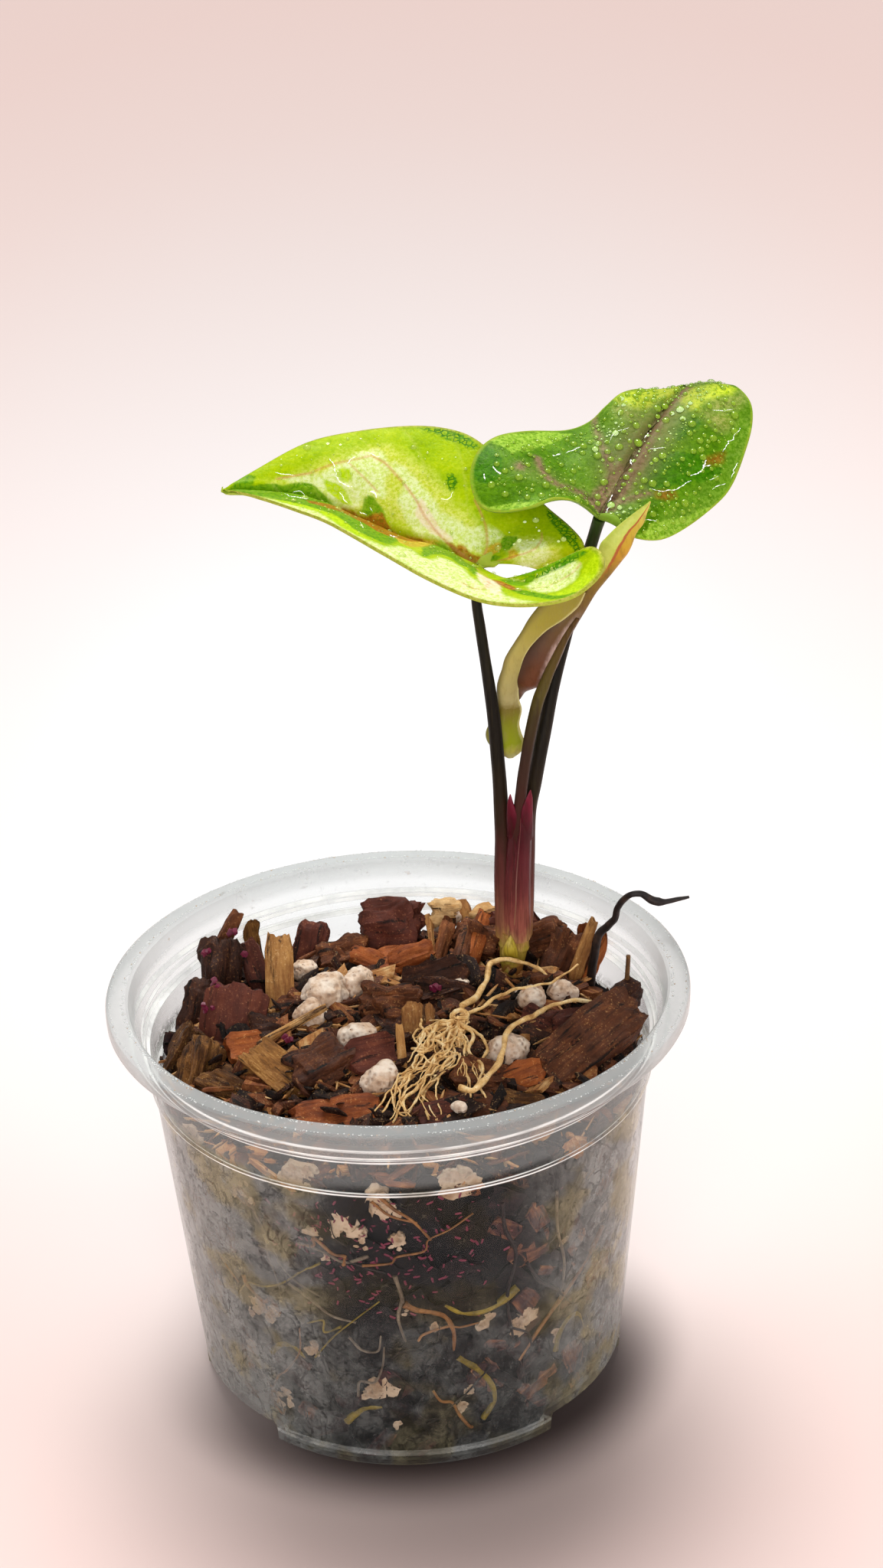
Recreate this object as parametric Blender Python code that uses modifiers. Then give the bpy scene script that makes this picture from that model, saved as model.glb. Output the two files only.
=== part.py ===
"""Arrowhead plant (Syngonium) in a clear nursery pot, with its potting mix, roots and leaves.

Blender 4.5, metres, +Z up. The origin is the centre of the pot's base, and -Y is the side that
faces the photograph's camera. Positions in the lists below are in millimetres.
"""
import math
import random

import bmesh
import bpy
from mathutils import Euler, Matrix, Vector, noise

MM = 0.001
GAP = 0.35 * MM                 # between neighbouring solids

# Pot
RIM_R = 60.0 * MM
POT_H = 89.0 * MM
WALL = 0.9 * MM
FLOOR = 1.2 * MM
BASE_R = 44.8 * MM
RING_LOW = (51.4 * MM, 69.9 * MM)     # radius and height of the lower moulded ring
RING_HIGH = (53.2 * MM, 78.9 * MM)    # and of the upper one
RING_STEP = 0.7 * MM
LIP_INNER_R = 55.9 * MM
LIP_H = 3.2 * MM
ARCH_H = 4.9 * MM               # the base corner is raised this much between the three feet
ARCH_DEPTH = 9.0 * MM
ARCH_WIDTH = 32.0 * MM
ARCH_ANGLES = (90.0, 210.0, 330.0)    # the feet lie between them, one of them at the front
DRAIN_R = 3.0 * MM
DRAIN_RING = 24.0 * MM
DRAINS = 6
POT_SIDES = 56

# Potting mix
SOIL_TOP = 76.0 * MM
SOIL_FALL = 8.0 * MM            # how much lower the mix lies at the wall
SOIL_BUMP = 1.6 * MM
CHIP_COUNT = 46
SEED = 11

# Stem, sheath and petioles
STEM_FOOT = Vector((24.0, 28.0, 58.0)) * MM
STEM_RINGS = [(58.0, 2.0), (73.0, 2.3), (77.0, 2.7), (80.0, 3.2), (84.0, 3.7)]   # height, radius
SHEATH_PATH = [((24.6, 28.0, 84.4), 4.1, 3.5), ((25.0, 28.0, 96.0), 4.3, 3.4),
               ((25.6, 28.0, 107.0), 4.2, 3.1), ((26.4, 27.4, 112.0), 3.0, 2.4),
               ((27.3, 26.6, 116.0), 1.2, 1.3)]                     # centre, half width, half depth
PETIOLE_LEFT = [(22.4, 28.6, 84.6), (22.0, 28.6, 97.0), (22.2, 28.4, 107.5), (22.5, 28.0, 116.5),
                (22.0, 27.5, 133.5), (21.0, 27.2, 147.0), (19.8, 27.2, 159.0), (19.5, 27.3, 167.9)]
PETIOLE_RIGHT = [(27.2, 28.8, 84.6), (28.2, 28.8, 97.0), (29.2, 28.8, 108.0), (30.2, 28.8, 117.0),
                 (31.5, 29.2, 124.0), (34.0, 30.2, 134.0), (36.6, 31.2, 144.5), (41.5, 32.2, 162.5),
                 (43.2, 31.8, 170.5), (44.3, 30.7, 176.4)]
PETIOLE_NEW = [(24.6, 26.0, 88.0), (25.2, 25.6, 100.0), (26.4, 25.2, 112.0), (27.5, 25.4, 120.5),
               (29.2, 26.2, 129.0), (30.9, 26.8, 136.0), (31.7, 27.0, 139.4)]
PETIOLE_RADII = {"left": 1.45, "right": 1.3, "new": 1.1}

# Leaf blades: midrib and both margins, from the tip round to the petiole
BLADE_THICK = 0.7 * MM
BLADE_ROWS = 36
BLADE_CELLS = 4                 # across each half
LOBE_BEND = 0.85                # how closely the rays of a hooked lobe follow its rib
LEAF_LEFT = {
    "rib": [(-32.5, 46, 180.5), (-20.5, 46, 179.5), (-12.5, 44.5, 178), (-6, 42, 175.5), (0.5, 38.5, 173.5),
            (6, 35.5, 172), (11.5, 33, 171.5), (19.5, 27, 169)],
    "a": [(-32.5, 46, 180.5), (-26, 50, 183), (-15, 55, 187), (-4, 57, 188.5), (7.5, 56, 189.5),
          (15.5, 54, 189), (21, 50, 187.5), (28, 45, 182), (33.5, 39, 177.5), (38.5, 32, 175),
          (41, 27, 173), (40, 27, 170.5), (34.5, 28, 168.5), (30, 29, 168), (25, 30.5, 169), (19.5, 27, 169)],
    "b": [(-32.5, 46, 180.5), (-27, 42, 181), (-17.5, 35, 180), (-9.5, 28, 179), (1, 18, 176),
          (9, 11, 173.5), (17.5, 6, 171), (24, 4, 170), (31.5, 3.5, 170), (38, 5, 171), (43, 9, 173.5),
          (44, 12, 176), (42, 15, 177), (38.5, 16, 176), (31, 18, 172.5), (27.5, 20, 170),
          (24, 22, 168.5), (19.5, 27, 169)],
    "lobe": ("b", 0.738, [(19.5, 27, 169), (20.5, 21, 168.2), (24, 14, 168.4), (31, 10.5, 169.5), (37, 10.5, 172)]),
    "fan": (0.60, 0.58), "arch": (1.6, 1.2),
}
LEAF_RIGHT = {
    "rib": [(69.5, 77, 181), (68, 73, 188), (64.5, 66, 192.6), (60, 58, 190.8), (56, 51, 188), (52, 44, 185),
            (49, 38, 182), (44.5, 30, 177.5)],
    "a": [(69.5, 77, 181), (64, 74, 186), (57.5, 68, 191.5), (51.5, 61, 193.5), (47.5, 58, 191.5),
          (44, 56, 189), (39, 54, 188), (30.5, 50, 189.5), (24, 44, 190.5), (20, 38.5, 189),
          (18.5, 33, 185.5), (20, 28, 182), (24, 26, 181), (30, 25.5, 182), (34.5, 26, 183.5),
          (38, 26.5, 183), (41.5, 28.5, 180.5), (44.5, 30, 177.5)],
    "b": [(69.5, 77, 181), (73.5, 73, 188), (75, 66, 192.5), (78, 61, 190.5), (78, 56, 187),
          (75.5, 49, 182.5), (72.5, 43, 178.5), (69, 38, 176.5), (62.5, 32, 174), (57, 28, 173),
          (52, 26.5, 174), (49, 27, 176), (47.5, 28.5, 177.5), (44.5, 30, 177.5)],
    "lobe": ("a", 0.685, [(44.5, 30, 177.5), (42, 30.5, 181), (38.5, 31.5, 184), (34, 33.5, 186.5), (28, 36, 187.5)]),
    "fan": (0.48, 0.62), "arch": (1.2, 1.8),
}
# Furled new leaf: centre of each section and its radius, from the hanging lobe up to the tip
LEAF_NEW = [((24.5, 31.5, 124.6), 0.9), ((24.5, 31.4, 125.9), 1.9), ((24.5, 31.2, 128.8), 2.2),
            ((25.0, 31.0, 132.0), 2.1), ((25.6, 30.6, 137.4), 3.0), ((27.7, 28.6, 142.6), 4.1),
            ((30.5, 26.5, 148.3), 4.5), ((32.5, 25.4, 152.3), 4.5), ((35.0, 24.6, 156.5), 4.1),
            ((38.0, 24.0, 162.5), 3.5), ((41.5, 23.5, 166.5), 3.1), ((45.0, 22.5, 171.0), 2.7),
            ((49.0, 21.8, 177.0), 2.0), ((51.5, 21.3, 180.0), 1.4), ((54.0, 21.0, 184.0), 0.5)]
SCROLL_STEP = 0.9               # how far the outer wrap's edge stands proud, mm
SCROLL_SIDES = 18

# Roots and dead shoots: route and radius in mm
ROOT_KNOT = (12.5, 1.2, 79.2)
ROOT_STRANDS = [
    [(12.5, 1, 78.8), (11.5, -5, 78.6), (8, -13, 78.2), (5, -20, 78), (1, -28, 77.6), (-1.5, -35, 76.8)],
    [(12.5, 0, 78.4), (12, -6, 78), (13, -13, 77.6), (13.5, -20, 77.4), (14, -27, 77)],
    [(11, 0, 79), (7, -4, 79.6), (5.5, -9, 79), (3.5, -16, 78.2), (-0.5, -25, 78), (-3.5, -32, 77.4)],
    [(12, 0, 78), (10, -7, 77.2), (6, -15, 77), (1, -22, 77.6), (0.5, -30, 77), (2.5, -34, 76.4)],
    [(13.5, 0, 78), (12, -9, 77.4), (8, -18, 77), (4, -26, 76.6), (5.5, -34, 76.6)],
    [(11, 0, 78.4), (8.5, -5, 77.8), (9.5, -13, 77), (5.5, -21, 77.2), (1, -33, 76.8)],
    [(12.5, 1.5, 79.4), (17.5, 5, 79.6), (22, 9, 80.4), (28.5, 11, 80.2), (33, 13.5, 80), (38, 18.5, 81)],
]
STRAND_R = 0.45
ROOT_LOOP = [(13.0, 3.4, 80.6), (16, 9, 79.4), (18.3, 15.5, 79.6), (19.3, 20.8, 80.4), (23, 22.0, 81),
             (27, 21.6, 80), (30, 20.6, 79), (31.6, 19.6, 77.6)]
ROOT_LOOP_R = 0.75
ROOT_RIGHT = [(14.8, -28.2, 77.6), (19, -21, 77.4), (20.5, -17, 77.6), (22.5, -10, 78.6), (25.0, -6.5, 79.6),
              (27.2, -5.2, 78.4), (30.5, 0, 79), (33.5, 3, 79), (37.5, 4.5, 79), (41, 4.2, 78.4), (44, 5, 78)]
ROOT_RIGHT_R = 0.8
TWIG = [(40.5, 24.0, 68.0), (41.2, 23.4, 76.0), (42.5, 22, 85.5), (44.5, 21, 88.5), (46, 20, 91), (46.5, 19, 94),
        (48, 18, 96.5), (49.5, 17, 98), (51.5, 17, 98), (53.5, 17, 96.5), (55, 17, 96), (56.5, 17, 96),
        (59, 17, 96.5), (61.5, 17, 97)]
TWIG_RADII = [1.0, 1.0, 0.9, 0.85, 0.75, 0.7, 0.7, 0.65, 0.7, 0.9, 0.95, 0.6, 0.5, 0.3]
STALK = [(46.8, 7.5, 66), (47.2, 7.7, 76), (47.6, 8, 83), (48, 8, 88.5)]
STALK_R = 0.6

# Loose pieces lying in the mix: centre, size and turn (degrees) of each bark or wood piece
LOOSE_BARK = {
    "wood_splinter": ((-25.5, 18.0, 76.0), (6.2, 2.6, 27.0), (-38.0, 3.0, 4.0)),
    "bark_disc": ((-35.2, 8.0, 76.4), (13.5, 3.0, 14.5), (-32.0, 8.0, -8.0)),
    "bark_dark_left": ((-38.0, 24.0, 76.5), (9.5, 5.5, 22.0), (-24.0, 12.0, 22.0)),
    "bark_block": ((-4.5, 18.5, 76.0), (11.0, 9.0, 9.5), (-8.0, 6.0, 12.0)),
    "bark_back": ((-1.0, 43.0, 78.5), (15.0, 6.0, 11.0), (-30.0, -6.0, -10.0)),
    "bark_orange": ((2.0, 32.0, 74.6), (13.0, 8.0, 5.0), (18.0, 8.0, 16.0)),
    "bark_front": ((-12.5, -29.5, 73.6), (16.5, 10.0, 4.6), (24.0, -2.0, 6.0)),
    "bark_tan_front": ((-24.5, -13.5, 74.4), (16.0, 7.0, 5.5), (12.0, 22.0, -38.0)),
    "bark_slab": ((38.0, -7.9, 77.3), (27.0, 10.5, 6.0), (26.0, -12.0, 42.0)),
    "bark_right_back": ((33.0, 31.5, 77.0), (11.0, 4.5, 14.0), (-20.0, 8.0, -30.0)),
}
PUMICE = [((-15.5, 21.5, 76.5), 4.6), ((-9.5, 28.0, 76.2), 4.0), ((-19.0, 32.0, 76.0), 3.6),
          ((-8.4, -5.0, 76.0), 3.9), ((-4.6, -18.5, 75.0), 4.1), ((27.2, 12.2, 75.6), 3.4),
          ((35.2, 17.6, 75.6), 2.9), ((22.6, -7.0, 73.2), 4.6), ((10.5, 46.0, 76.4), 3.2)]

COLORS = {
    "pot": (0.86, 0.88, 0.88), "potting_mix": (0.10, 0.055, 0.035), "stem": (0.45, 0.42, 0.10),
    "sheath": (0.30, 0.06, 0.07), "petiole_left": (0.05, 0.045, 0.025), "petiole_right": (0.05, 0.06, 0.025),
    "petiole_new": (0.20, 0.12, 0.09), "leaf_left": (0.42, 0.62, 0.10), "leaf_right": (0.16, 0.35, 0.06),
    "leaf_new": (0.62, 0.58, 0.25), "dry_roots": (0.62, 0.44, 0.17), "root_loop": (0.64, 0.46, 0.18),
    "root_right": (0.60, 0.43, 0.17), "dark_twig": (0.02, 0.017, 0.014), "dead_stalk": (0.03, 0.03, 0.02),
    "pumice": (0.80, 0.72, 0.60), "wood_splinter": (0.50, 0.30, 0.13), "bark_disc": (0.17, 0.07, 0.06),
    "bark_dark_left": (0.06, 0.035, 0.02), "bark_block": (0.12, 0.05, 0.03), "bark_back": (0.15, 0.06, 0.04),
    "bark_orange": (0.38, 0.17, 0.06), "bark_front": (0.28, 0.11, 0.06), "bark_tan_front": (0.33, 0.20, 0.09),
    "bark_slab": (0.18, 0.07, 0.035), "bark_right_back": (0.20, 0.09, 0.05),
}


# Scene and object helpers

def clear_scene():
    for obj in list(bpy.data.objects):
        bpy.data.objects.remove(obj, do_unlink=True)


def new_collection(name, hidden=False):
    collection = bpy.data.collections.new(name)
    bpy.context.scene.collection.children.link(collection)
    collection.hide_render = hidden
    return collection


def material(name, color, roughness=0.6, alpha=1.0):
    mat = bpy.data.materials.new(name)
    mat.use_nodes = True
    shader = mat.node_tree.nodes["Principled BSDF"]
    shader.inputs["Base Color"].default_value = (*color, 1.0)
    shader.inputs["Roughness"].default_value = roughness
    shader.inputs["Alpha"].default_value = alpha
    return mat


def object_from_bmesh(bm, name, collection):
    bmesh.ops.recalc_face_normals(bm, faces=bm.faces)
    mesh = bpy.data.meshes.new(name)
    bm.to_mesh(mesh)
    bm.free()
    obj = bpy.data.objects.new(name, mesh)
    collection.objects.link(obj)
    return obj


def apply_modifiers(obj):
    """Bake the object's modifiers and its turn into a fresh mesh."""
    depsgraph = bpy.context.evaluated_depsgraph_get()
    mesh = bpy.data.meshes.new_from_object(obj.evaluated_get(depsgraph))
    obj.modifiers.clear()
    obj.data = mesh
    return obj


def boolean(obj, other, operation, solver="MANIFOLD"):
    mod = obj.modifiers.new(operation.title(), "BOOLEAN")
    mod.operation = operation
    mod.solver = solver
    mod.object = other
    return apply_modifiers(obj)


def cut(obj, *cutters):
    for cutter in cutters:
        boolean(obj, cutter, "DIFFERENCE")
    return obj


def as_cutter(obj):
    obj.display_type = "WIRE"
    obj.hide_render = True
    return obj


def finish(obj, node, roughness=0.6, alpha=1.0):
    color = COLORS.get(node) or COLORS[node.split("_")[0]]
    obj.data.materials.clear()
    obj.data.materials.append(material(node, color, roughness, alpha))
    return obj


def keep_largest(obj):
    """Drop crumbs that a cut has left loose."""
    bm = bmesh.new()
    bm.from_mesh(obj.data)
    unseen, islands = set(bm.verts), []
    while unseen:
        island, front = set(), [unseen.pop()]
        while front:
            vert = front.pop()
            island.add(vert)
            for edge in vert.link_edges:
                other = edge.other_vert(vert)
                if other in unseen:
                    unseen.remove(other)
                    front.append(other)
        islands.append(island)
    islands.sort(key=len)
    crumbs = [v for island in islands[:-1] for v in island]
    bmesh.ops.delete(bm, geom=crumbs, context="VERTS")
    bm.to_mesh(obj.data)
    bm.free()
    return obj


# Curves

def vectors(points):
    return [Vector(p) * MM for p in points]


def smooth_path(points, per_span):
    """A Catmull-Rom curve through the points."""
    pts = vectors(points)
    pts = [pts[0] * 2 - pts[1]] + pts + [pts[-1] * 2 - pts[-2]]
    out = []
    for a, b, c, d in zip(pts, pts[1:], pts[2:], pts[3:]):
        for step in range(per_span):
            t = step / per_span
            out.append(0.5 * (2 * b + (c - a) * t + (2 * a - 5 * b + 4 * c - d) * t ** 2
                              + (3 * b - a - 3 * c + d) * t ** 3))
    out.append(pts[-2])
    return out


def at_fraction(path, t):
    """The point a fraction t of the way along a polyline, by its length."""
    lengths = [(b - a).length for a, b in zip(path, path[1:])]
    target = max(0.0, min(1.0, t)) * sum(lengths)
    for a, b, length in zip(path, path[1:], lengths):
        if target <= length or b is path[-1]:
            return a.lerp(b, min(1.0, target / length) if length else 0.0)
        target -= length
    return path[-1].copy()


def sweep(name, path, collection, radius, sides):
    """A closed tube along the path; radius(t, angle) gives its cross section."""
    bm = bmesh.new()
    rings = []
    side = Vector((1.0, 0.0, 0.0))
    for i, point in enumerate(path):
        tangent = (path[min(i + 1, len(path) - 1)] - path[max(i - 1, 0)]).normalized()
        side = (side - tangent * side.dot(tangent)).normalized()
        up = tangent.cross(side)
        ring = []
        for k in range(sides):
            angle = 2 * math.pi * k / sides
            reach = radius(i / (len(path) - 1), angle)
            ring.append(bm.verts.new(point + (side * math.cos(angle) + up * math.sin(angle)) * reach))
        rings.append(ring)
    for low, high in zip(rings, rings[1:]):
        for k in range(sides):
            bm.faces.new((low[k], low[(k + 1) % sides], high[(k + 1) % sides], high[k]))
    bm.faces.new(rings[0])
    bm.faces.new(rings[-1])
    return object_from_bmesh(bm, name, collection)


def tube(name, points, radii, collection, sides=8, per_span=2, grow=0.0):
    path = smooth_path(points, per_span)
    values = radii if isinstance(radii, list) else [radii] * len(points)

    def radius(t, _angle):
        place = t * (len(values) - 1)
        low = min(int(place), len(values) - 2)
        return (values[low] + (values[low + 1] - values[low]) * (place - low)) * MM + grow
    return sweep(name, path, collection, radius, sides)


# Pot

def lathe(name, profile, collection, sides):
    """Turn a profile of (radius, height) points, which starts and ends on the axis."""
    bm = bmesh.new()
    verts = [bm.verts.new((r, 0.0, z)) for r, z in profile]
    for a, b in zip(verts, verts[1:]):
        bm.edges.new((a, b))
    obj = object_from_bmesh(bm, name, collection)
    mod = obj.modifiers.new("Screw", "SCREW")
    mod.steps = mod.render_steps = sides
    mod.use_merge_vertices = True
    mod.merge_threshold = 0.00001
    apply_modifiers(obj)
    bm = bmesh.new()
    bm.from_mesh(obj.data)
    bmesh.ops.remove_doubles(bm, verts=bm.verts, dist=0.00001)
    bmesh.ops.recalc_face_normals(bm, faces=bm.faces)
    bm.to_mesh(obj.data)
    bm.free()
    return obj


def inner_wall(inset):
    """Inside profile of the pot's wall, moved inwards by inset, from the floor up to the lip."""
    low_r, low_z = RING_LOW
    high_r, high_z = RING_HIGH
    return [(BASE_R - inset, FLOOR), (low_r - inset, low_z), (low_r + RING_STEP - inset, low_z + RING_STEP),
            (high_r - RING_STEP - inset, high_z - RING_STEP), (high_r - inset, high_z)]


def base_arches(grow, collection):
    """Boxes that raise the base corner between the three feet."""
    cutters = []
    for index, angle in enumerate(ARCH_ANGLES):
        bpy.ops.mesh.primitive_cube_add(size=1.0)
        box = bpy.context.object
        box.name = "arch_%d_%d" % (index, round(grow / MM * 100))
        middle = BASE_R - ARCH_DEPTH + 15 * MM
        box.data.transform(Matrix.Diagonal((30 * MM + 2 * grow, ARCH_WIDTH + 2 * grow,
                                            2 * (ARCH_H + grow), 1.0)))
        box.data.transform(Matrix.Translation((middle, 0, 0)))
        box.data.transform(Matrix.Rotation(math.radians(angle), 4, "Z"))
        move_to(box, collection)
        cutters.append(as_cutter(box))
    return cutters


def move_to(obj, collection):
    for old in list(obj.users_collection):
        old.objects.unlink(obj)
    collection.objects.link(obj)
    return obj


def primitive(name, collection, add, **settings):
    bpy.ops.object.select_all(action="DESELECT")
    add(**settings)
    obj = bpy.context.object
    obj.name = name
    return move_to(obj, collection)


def build_pot(parts, cutters):
    low_r, low_z = RING_LOW
    high_r, high_z = RING_HIGH
    lip_low = POT_H - LIP_H
    bevel = 0.6 * MM
    outside = [(0, 0), (BASE_R, 0), (BASE_R + 0.3 * MM, ARCH_H), (low_r, low_z),
               (low_r + RING_STEP, low_z + RING_STEP), (high_r - RING_STEP, high_z - RING_STEP),
               (high_r, high_z), (RIM_R - bevel, lip_low - bevel), (RIM_R, lip_low), (RIM_R, POT_H - bevel),
               (RIM_R - bevel, POT_H), (0, POT_H)]
    above = 5 * MM
    inside = [(0, FLOOR)] + inner_wall(WALL) + [(LIP_INNER_R - 2 * bevel, POT_H - 3 * MM),
                                                (LIP_INNER_R, POT_H), (LIP_INNER_R, POT_H + above),
                                                (0, POT_H + above)]
    pot = lathe("pot", outside, parts, POT_SIDES)
    cut(pot, *base_arches(0.0, cutters))
    cavity = as_cutter(lathe("pot_cavity", inside, cutters, POT_SIDES))
    cut(cavity, *base_arches(WALL, cutters))
    cut(pot, cavity)
    for i in range(DRAINS):
        angle = 2 * math.pi * (i + 0.5) / DRAINS
        hole = primitive("drain_%d" % i, cutters, bpy.ops.mesh.primitive_cylinder_add, vertices=16,
                         radius=DRAIN_R, depth=6 * MM,
                         location=(DRAIN_RING * math.cos(angle), DRAIN_RING * math.sin(angle), FLOOR / 2))
        cut(pot, as_cutter(hole))
    return finish(pot, "pot", roughness=0.12, alpha=0.35)


# Potting mix

def soil_height(x, y):
    """Top of the fine mix: a low mound round the stem that falls off to the wall."""
    r = math.hypot(x, y) / LIP_INNER_R
    mound = 1.5 * MM * math.exp(-((x - 24 * MM) ** 2 + (y - 20 * MM) ** 2) / (20 * MM) ** 2)
    bumps = noise.noise(Vector((x, y, 0.0)) * 90) * SOIL_BUMP
    return SOIL_TOP - SOIL_FALL * r ** 4 + mound + bumps


def soil_body(collection, cutters):
    inset = WALL + GAP
    wall = [(r, z) for r, z in inner_wall(inset) if z < SOIL_TOP - SOIL_FALL]
    edge = (RING_LOW[0] - inset, SOIL_TOP - SOIL_FALL - 0.2 * MM)
    rings = [(edge[0] * k / 6, SOIL_TOP) for k in range(5, 0, -1)]
    profile = [(0, FLOOR + GAP)] + [(r, z + (GAP if z <= FLOOR else 0)) for r, z in wall]
    profile += [edge] + rings + [(0, SOIL_TOP)]
    bed = lathe("potting_mix", profile, collection, POT_SIDES)
    for vert in bed.data.vertices:
        if vert.co.z > SOIL_TOP - SOIL_FALL:
            vert.co.z = soil_height(vert.co.x, vert.co.y)
    return cut(bed, *base_arches(WALL + GAP, cutters))


def bark_piece(name, center, size, turn, collection, grow=0.0, seed=0):
    """A split lump of bark: a box with its edges bevelled and its corners pulled about."""
    rng = random.Random(seed)
    bm = bmesh.new()
    bmesh.ops.create_cube(bm, size=1.0)
    bmesh.ops.bevel(bm, geom=list(bm.edges), offset=0.16, segments=1, affect="EDGES", profile=0.5)
    for vert in bm.verts:
        vert.co += Vector([rng.uniform(-0.045, 0.045) for _ in range(3)])
        vert.co.x *= 1.0 - 0.14 * vert.co.z
    bmesh.ops.triangulate(bm, faces=bm.faces)
    place = Matrix.Translation(Vector(center) * MM) @ Euler([math.radians(a) for a in turn]).to_matrix().to_4x4()
    bm.transform(place @ Matrix.Diagonal((*(Vector(size) * MM), 1.0)))
    return object_from_bmesh(swell(bm, grow), name, collection)


def swell(bm, grow):
    """Move a convex lump's surface outwards, a little more at its corners."""
    bmesh.ops.recalc_face_normals(bm, faces=bm.faces)
    bm.normal_update()
    shifts = [vert.normal * grow * 1.3 for vert in bm.verts]
    for vert, shift in zip(bm.verts, shifts):
        vert.co += shift
    return bm


def pumice_piece(name, center, radius, collection, grow=0.0, seed=0):
    bm = bmesh.new()
    bmesh.ops.create_icosphere(bm, subdivisions=2, radius=1.0)
    for vert in bm.verts:
        lump = 1.0 + 0.16 * noise.noise(vert.co * 1.6 + Vector((seed * 7.3, 0.0, 0.0)))
        vert.co *= lump * radius * MM
        vert.co.z *= 0.86
    bm.transform(Matrix.Translation(Vector(center) * MM))
    return object_from_bmesh(swell(bm, grow), name, collection)


def loose_pieces(collection, grow=0.0, suffix=""):
    """Every loose bark, wood and pumice piece, or with grow its pocket in the mix."""
    out = []
    for seed, (name, (center, size, turn)) in enumerate(LOOSE_BARK.items()):
        out.append(bark_piece(name + suffix, center, size, turn, collection, grow, seed))
    for index, (center, radius) in enumerate(PUMICE):
        out.append(pumice_piece("pumice_%02d%s" % (index + 1, suffix), center, radius, collection, grow, index))
    return out


def chip_places():
    """Seeded places for the small chips, kept off the stem and the roots."""
    rng = random.Random(SEED)
    places = []
    while len(places) < CHIP_COUNT:
        angle, reach = rng.uniform(0, 2 * math.pi), 46 * MM * math.sqrt(rng.random())
        x, y = reach * math.cos(angle), reach * math.sin(angle)
        size = (rng.uniform(7, 13) * MM, rng.uniform(4, 8) * MM, rng.uniform(2.5, 4.5) * MM)
        turn = (rng.uniform(-25, 25), rng.uniform(-25, 25), rng.uniform(0, 360))
        clear_of_stem = math.hypot(x - STEM_FOOT.x, y - STEM_FOOT.y) > 10 * MM
        clear_of_wall = reach + size[0] / 2 < 49 * MM
        if clear_of_stem and clear_of_wall:
            places.append((x, y, size, turn))
    return places


def add_chips(bed, cutters):
    for index, (x, y, size, turn) in enumerate(chip_places()):
        center = Vector((x, y, soil_height(x, y) - 0.15 * size[2])) / MM
        chip = bark_piece("chip_%02d" % index, center, Vector(size) / MM, turn, cutters, 0.0, 100 + index)
        boolean(bed, as_cutter(chip), "UNION")
    return bed


def build_potting_mix(parts, cutters):
    bed = soil_body(parts, cutters)
    add_chips(bed, cutters)
    for pocket in loose_pieces(cutters, GAP, "_pocket"):
        cut(bed, as_cutter(pocket))
    for name, route, radii in grooves():
        cut(bed, as_cutter(tube(name + "_groove", past_ends(route), radii, cutters, 8, 2, GAP)))
    return finish(keep_largest(bed), "potting_mix", roughness=0.9)


def past_ends(route, reach=0.6):
    """The route with both ends moved on, so that a hole is longer than what lies in it."""
    pts = [Vector(p) for p in route]
    first = pts[0] + (pts[0] - pts[1]).normalized() * reach
    last = pts[-1] + (pts[-1] - pts[-2]).normalized() * reach
    return [first] + pts[1:-1] + [last]


def grooves():
    """Everything that stands in the mix or lies on it, as (name, route, radii)."""
    x, y = STEM_FOOT.x / MM, STEM_FOOT.y / MM
    stem = [((x, y, z), r) for z, r in STEM_RINGS]
    routes = [("stem", [center for center, _ in stem], [r for _, r in stem]),
              ("twig", TWIG[:3], TWIG_RADII[:3]), ("stalk", STALK[:3], STALK_R),
              ("loop", ROOT_LOOP, ROOT_LOOP_R), ("right", ROOT_RIGHT, ROOT_RIGHT_R)]
    routes += [("strand_%d" % i, route, STRAND_R) for i, route in enumerate(ROOT_STRANDS)]
    return routes


def build_loose(parts):
    for obj in loose_pieces(parts):
        finish(obj, obj.name, roughness=0.85)


# Plant

def stack(name, rings, collection, sides=16):
    """A closed body through elliptical rings of (centre, half width, half depth)."""
    bm = bmesh.new()
    loops = []
    for center, wide, deep in rings:
        middle = Vector(center) * MM
        loops.append([bm.verts.new(middle + Vector((wide * math.cos(a), deep * math.sin(a), 0)) * MM)
                      for a in (2 * math.pi * k / sides for k in range(sides))])
    for low, high in zip(loops, loops[1:]):
        for k in range(sides):
            bm.faces.new((low[k], low[(k + 1) % sides], high[(k + 1) % sides], high[k]))
    bm.faces.new(loops[0])
    bm.faces.new(loops[-1])
    return object_from_bmesh(bm, name, collection)


def build_stem(parts):
    x, y = STEM_FOOT.x / MM, STEM_FOOT.y / MM
    rings = [((x, y, z), r, r * 0.95) for z, r in STEM_RINGS]
    return finish(stack("stem", rings, parts), "stem", roughness=0.45)


def petiole_routes():
    return {"left": PETIOLE_LEFT, "right": PETIOLE_RIGHT, "new": PETIOLE_NEW}


def build_sheath(parts, cutters):
    sheath = stack("sheath", SHEATH_PATH, parts, 20)
    for name, route in petiole_routes().items():
        groove = tube("petiole_%s_groove" % name, past_ends(route), PETIOLE_RADII[name], cutters, 10, 2, GAP)
        cut(sheath, as_cutter(groove))
    return finish(keep_largest(sheath), "sheath", roughness=0.4)


def build_petioles(parts):
    for name, route in petiole_routes().items():
        node = "petiole_" + name
        finish(tube(node, route, PETIOLE_RADII[name], parts, 10, 2), node, roughness=0.35)


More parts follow.
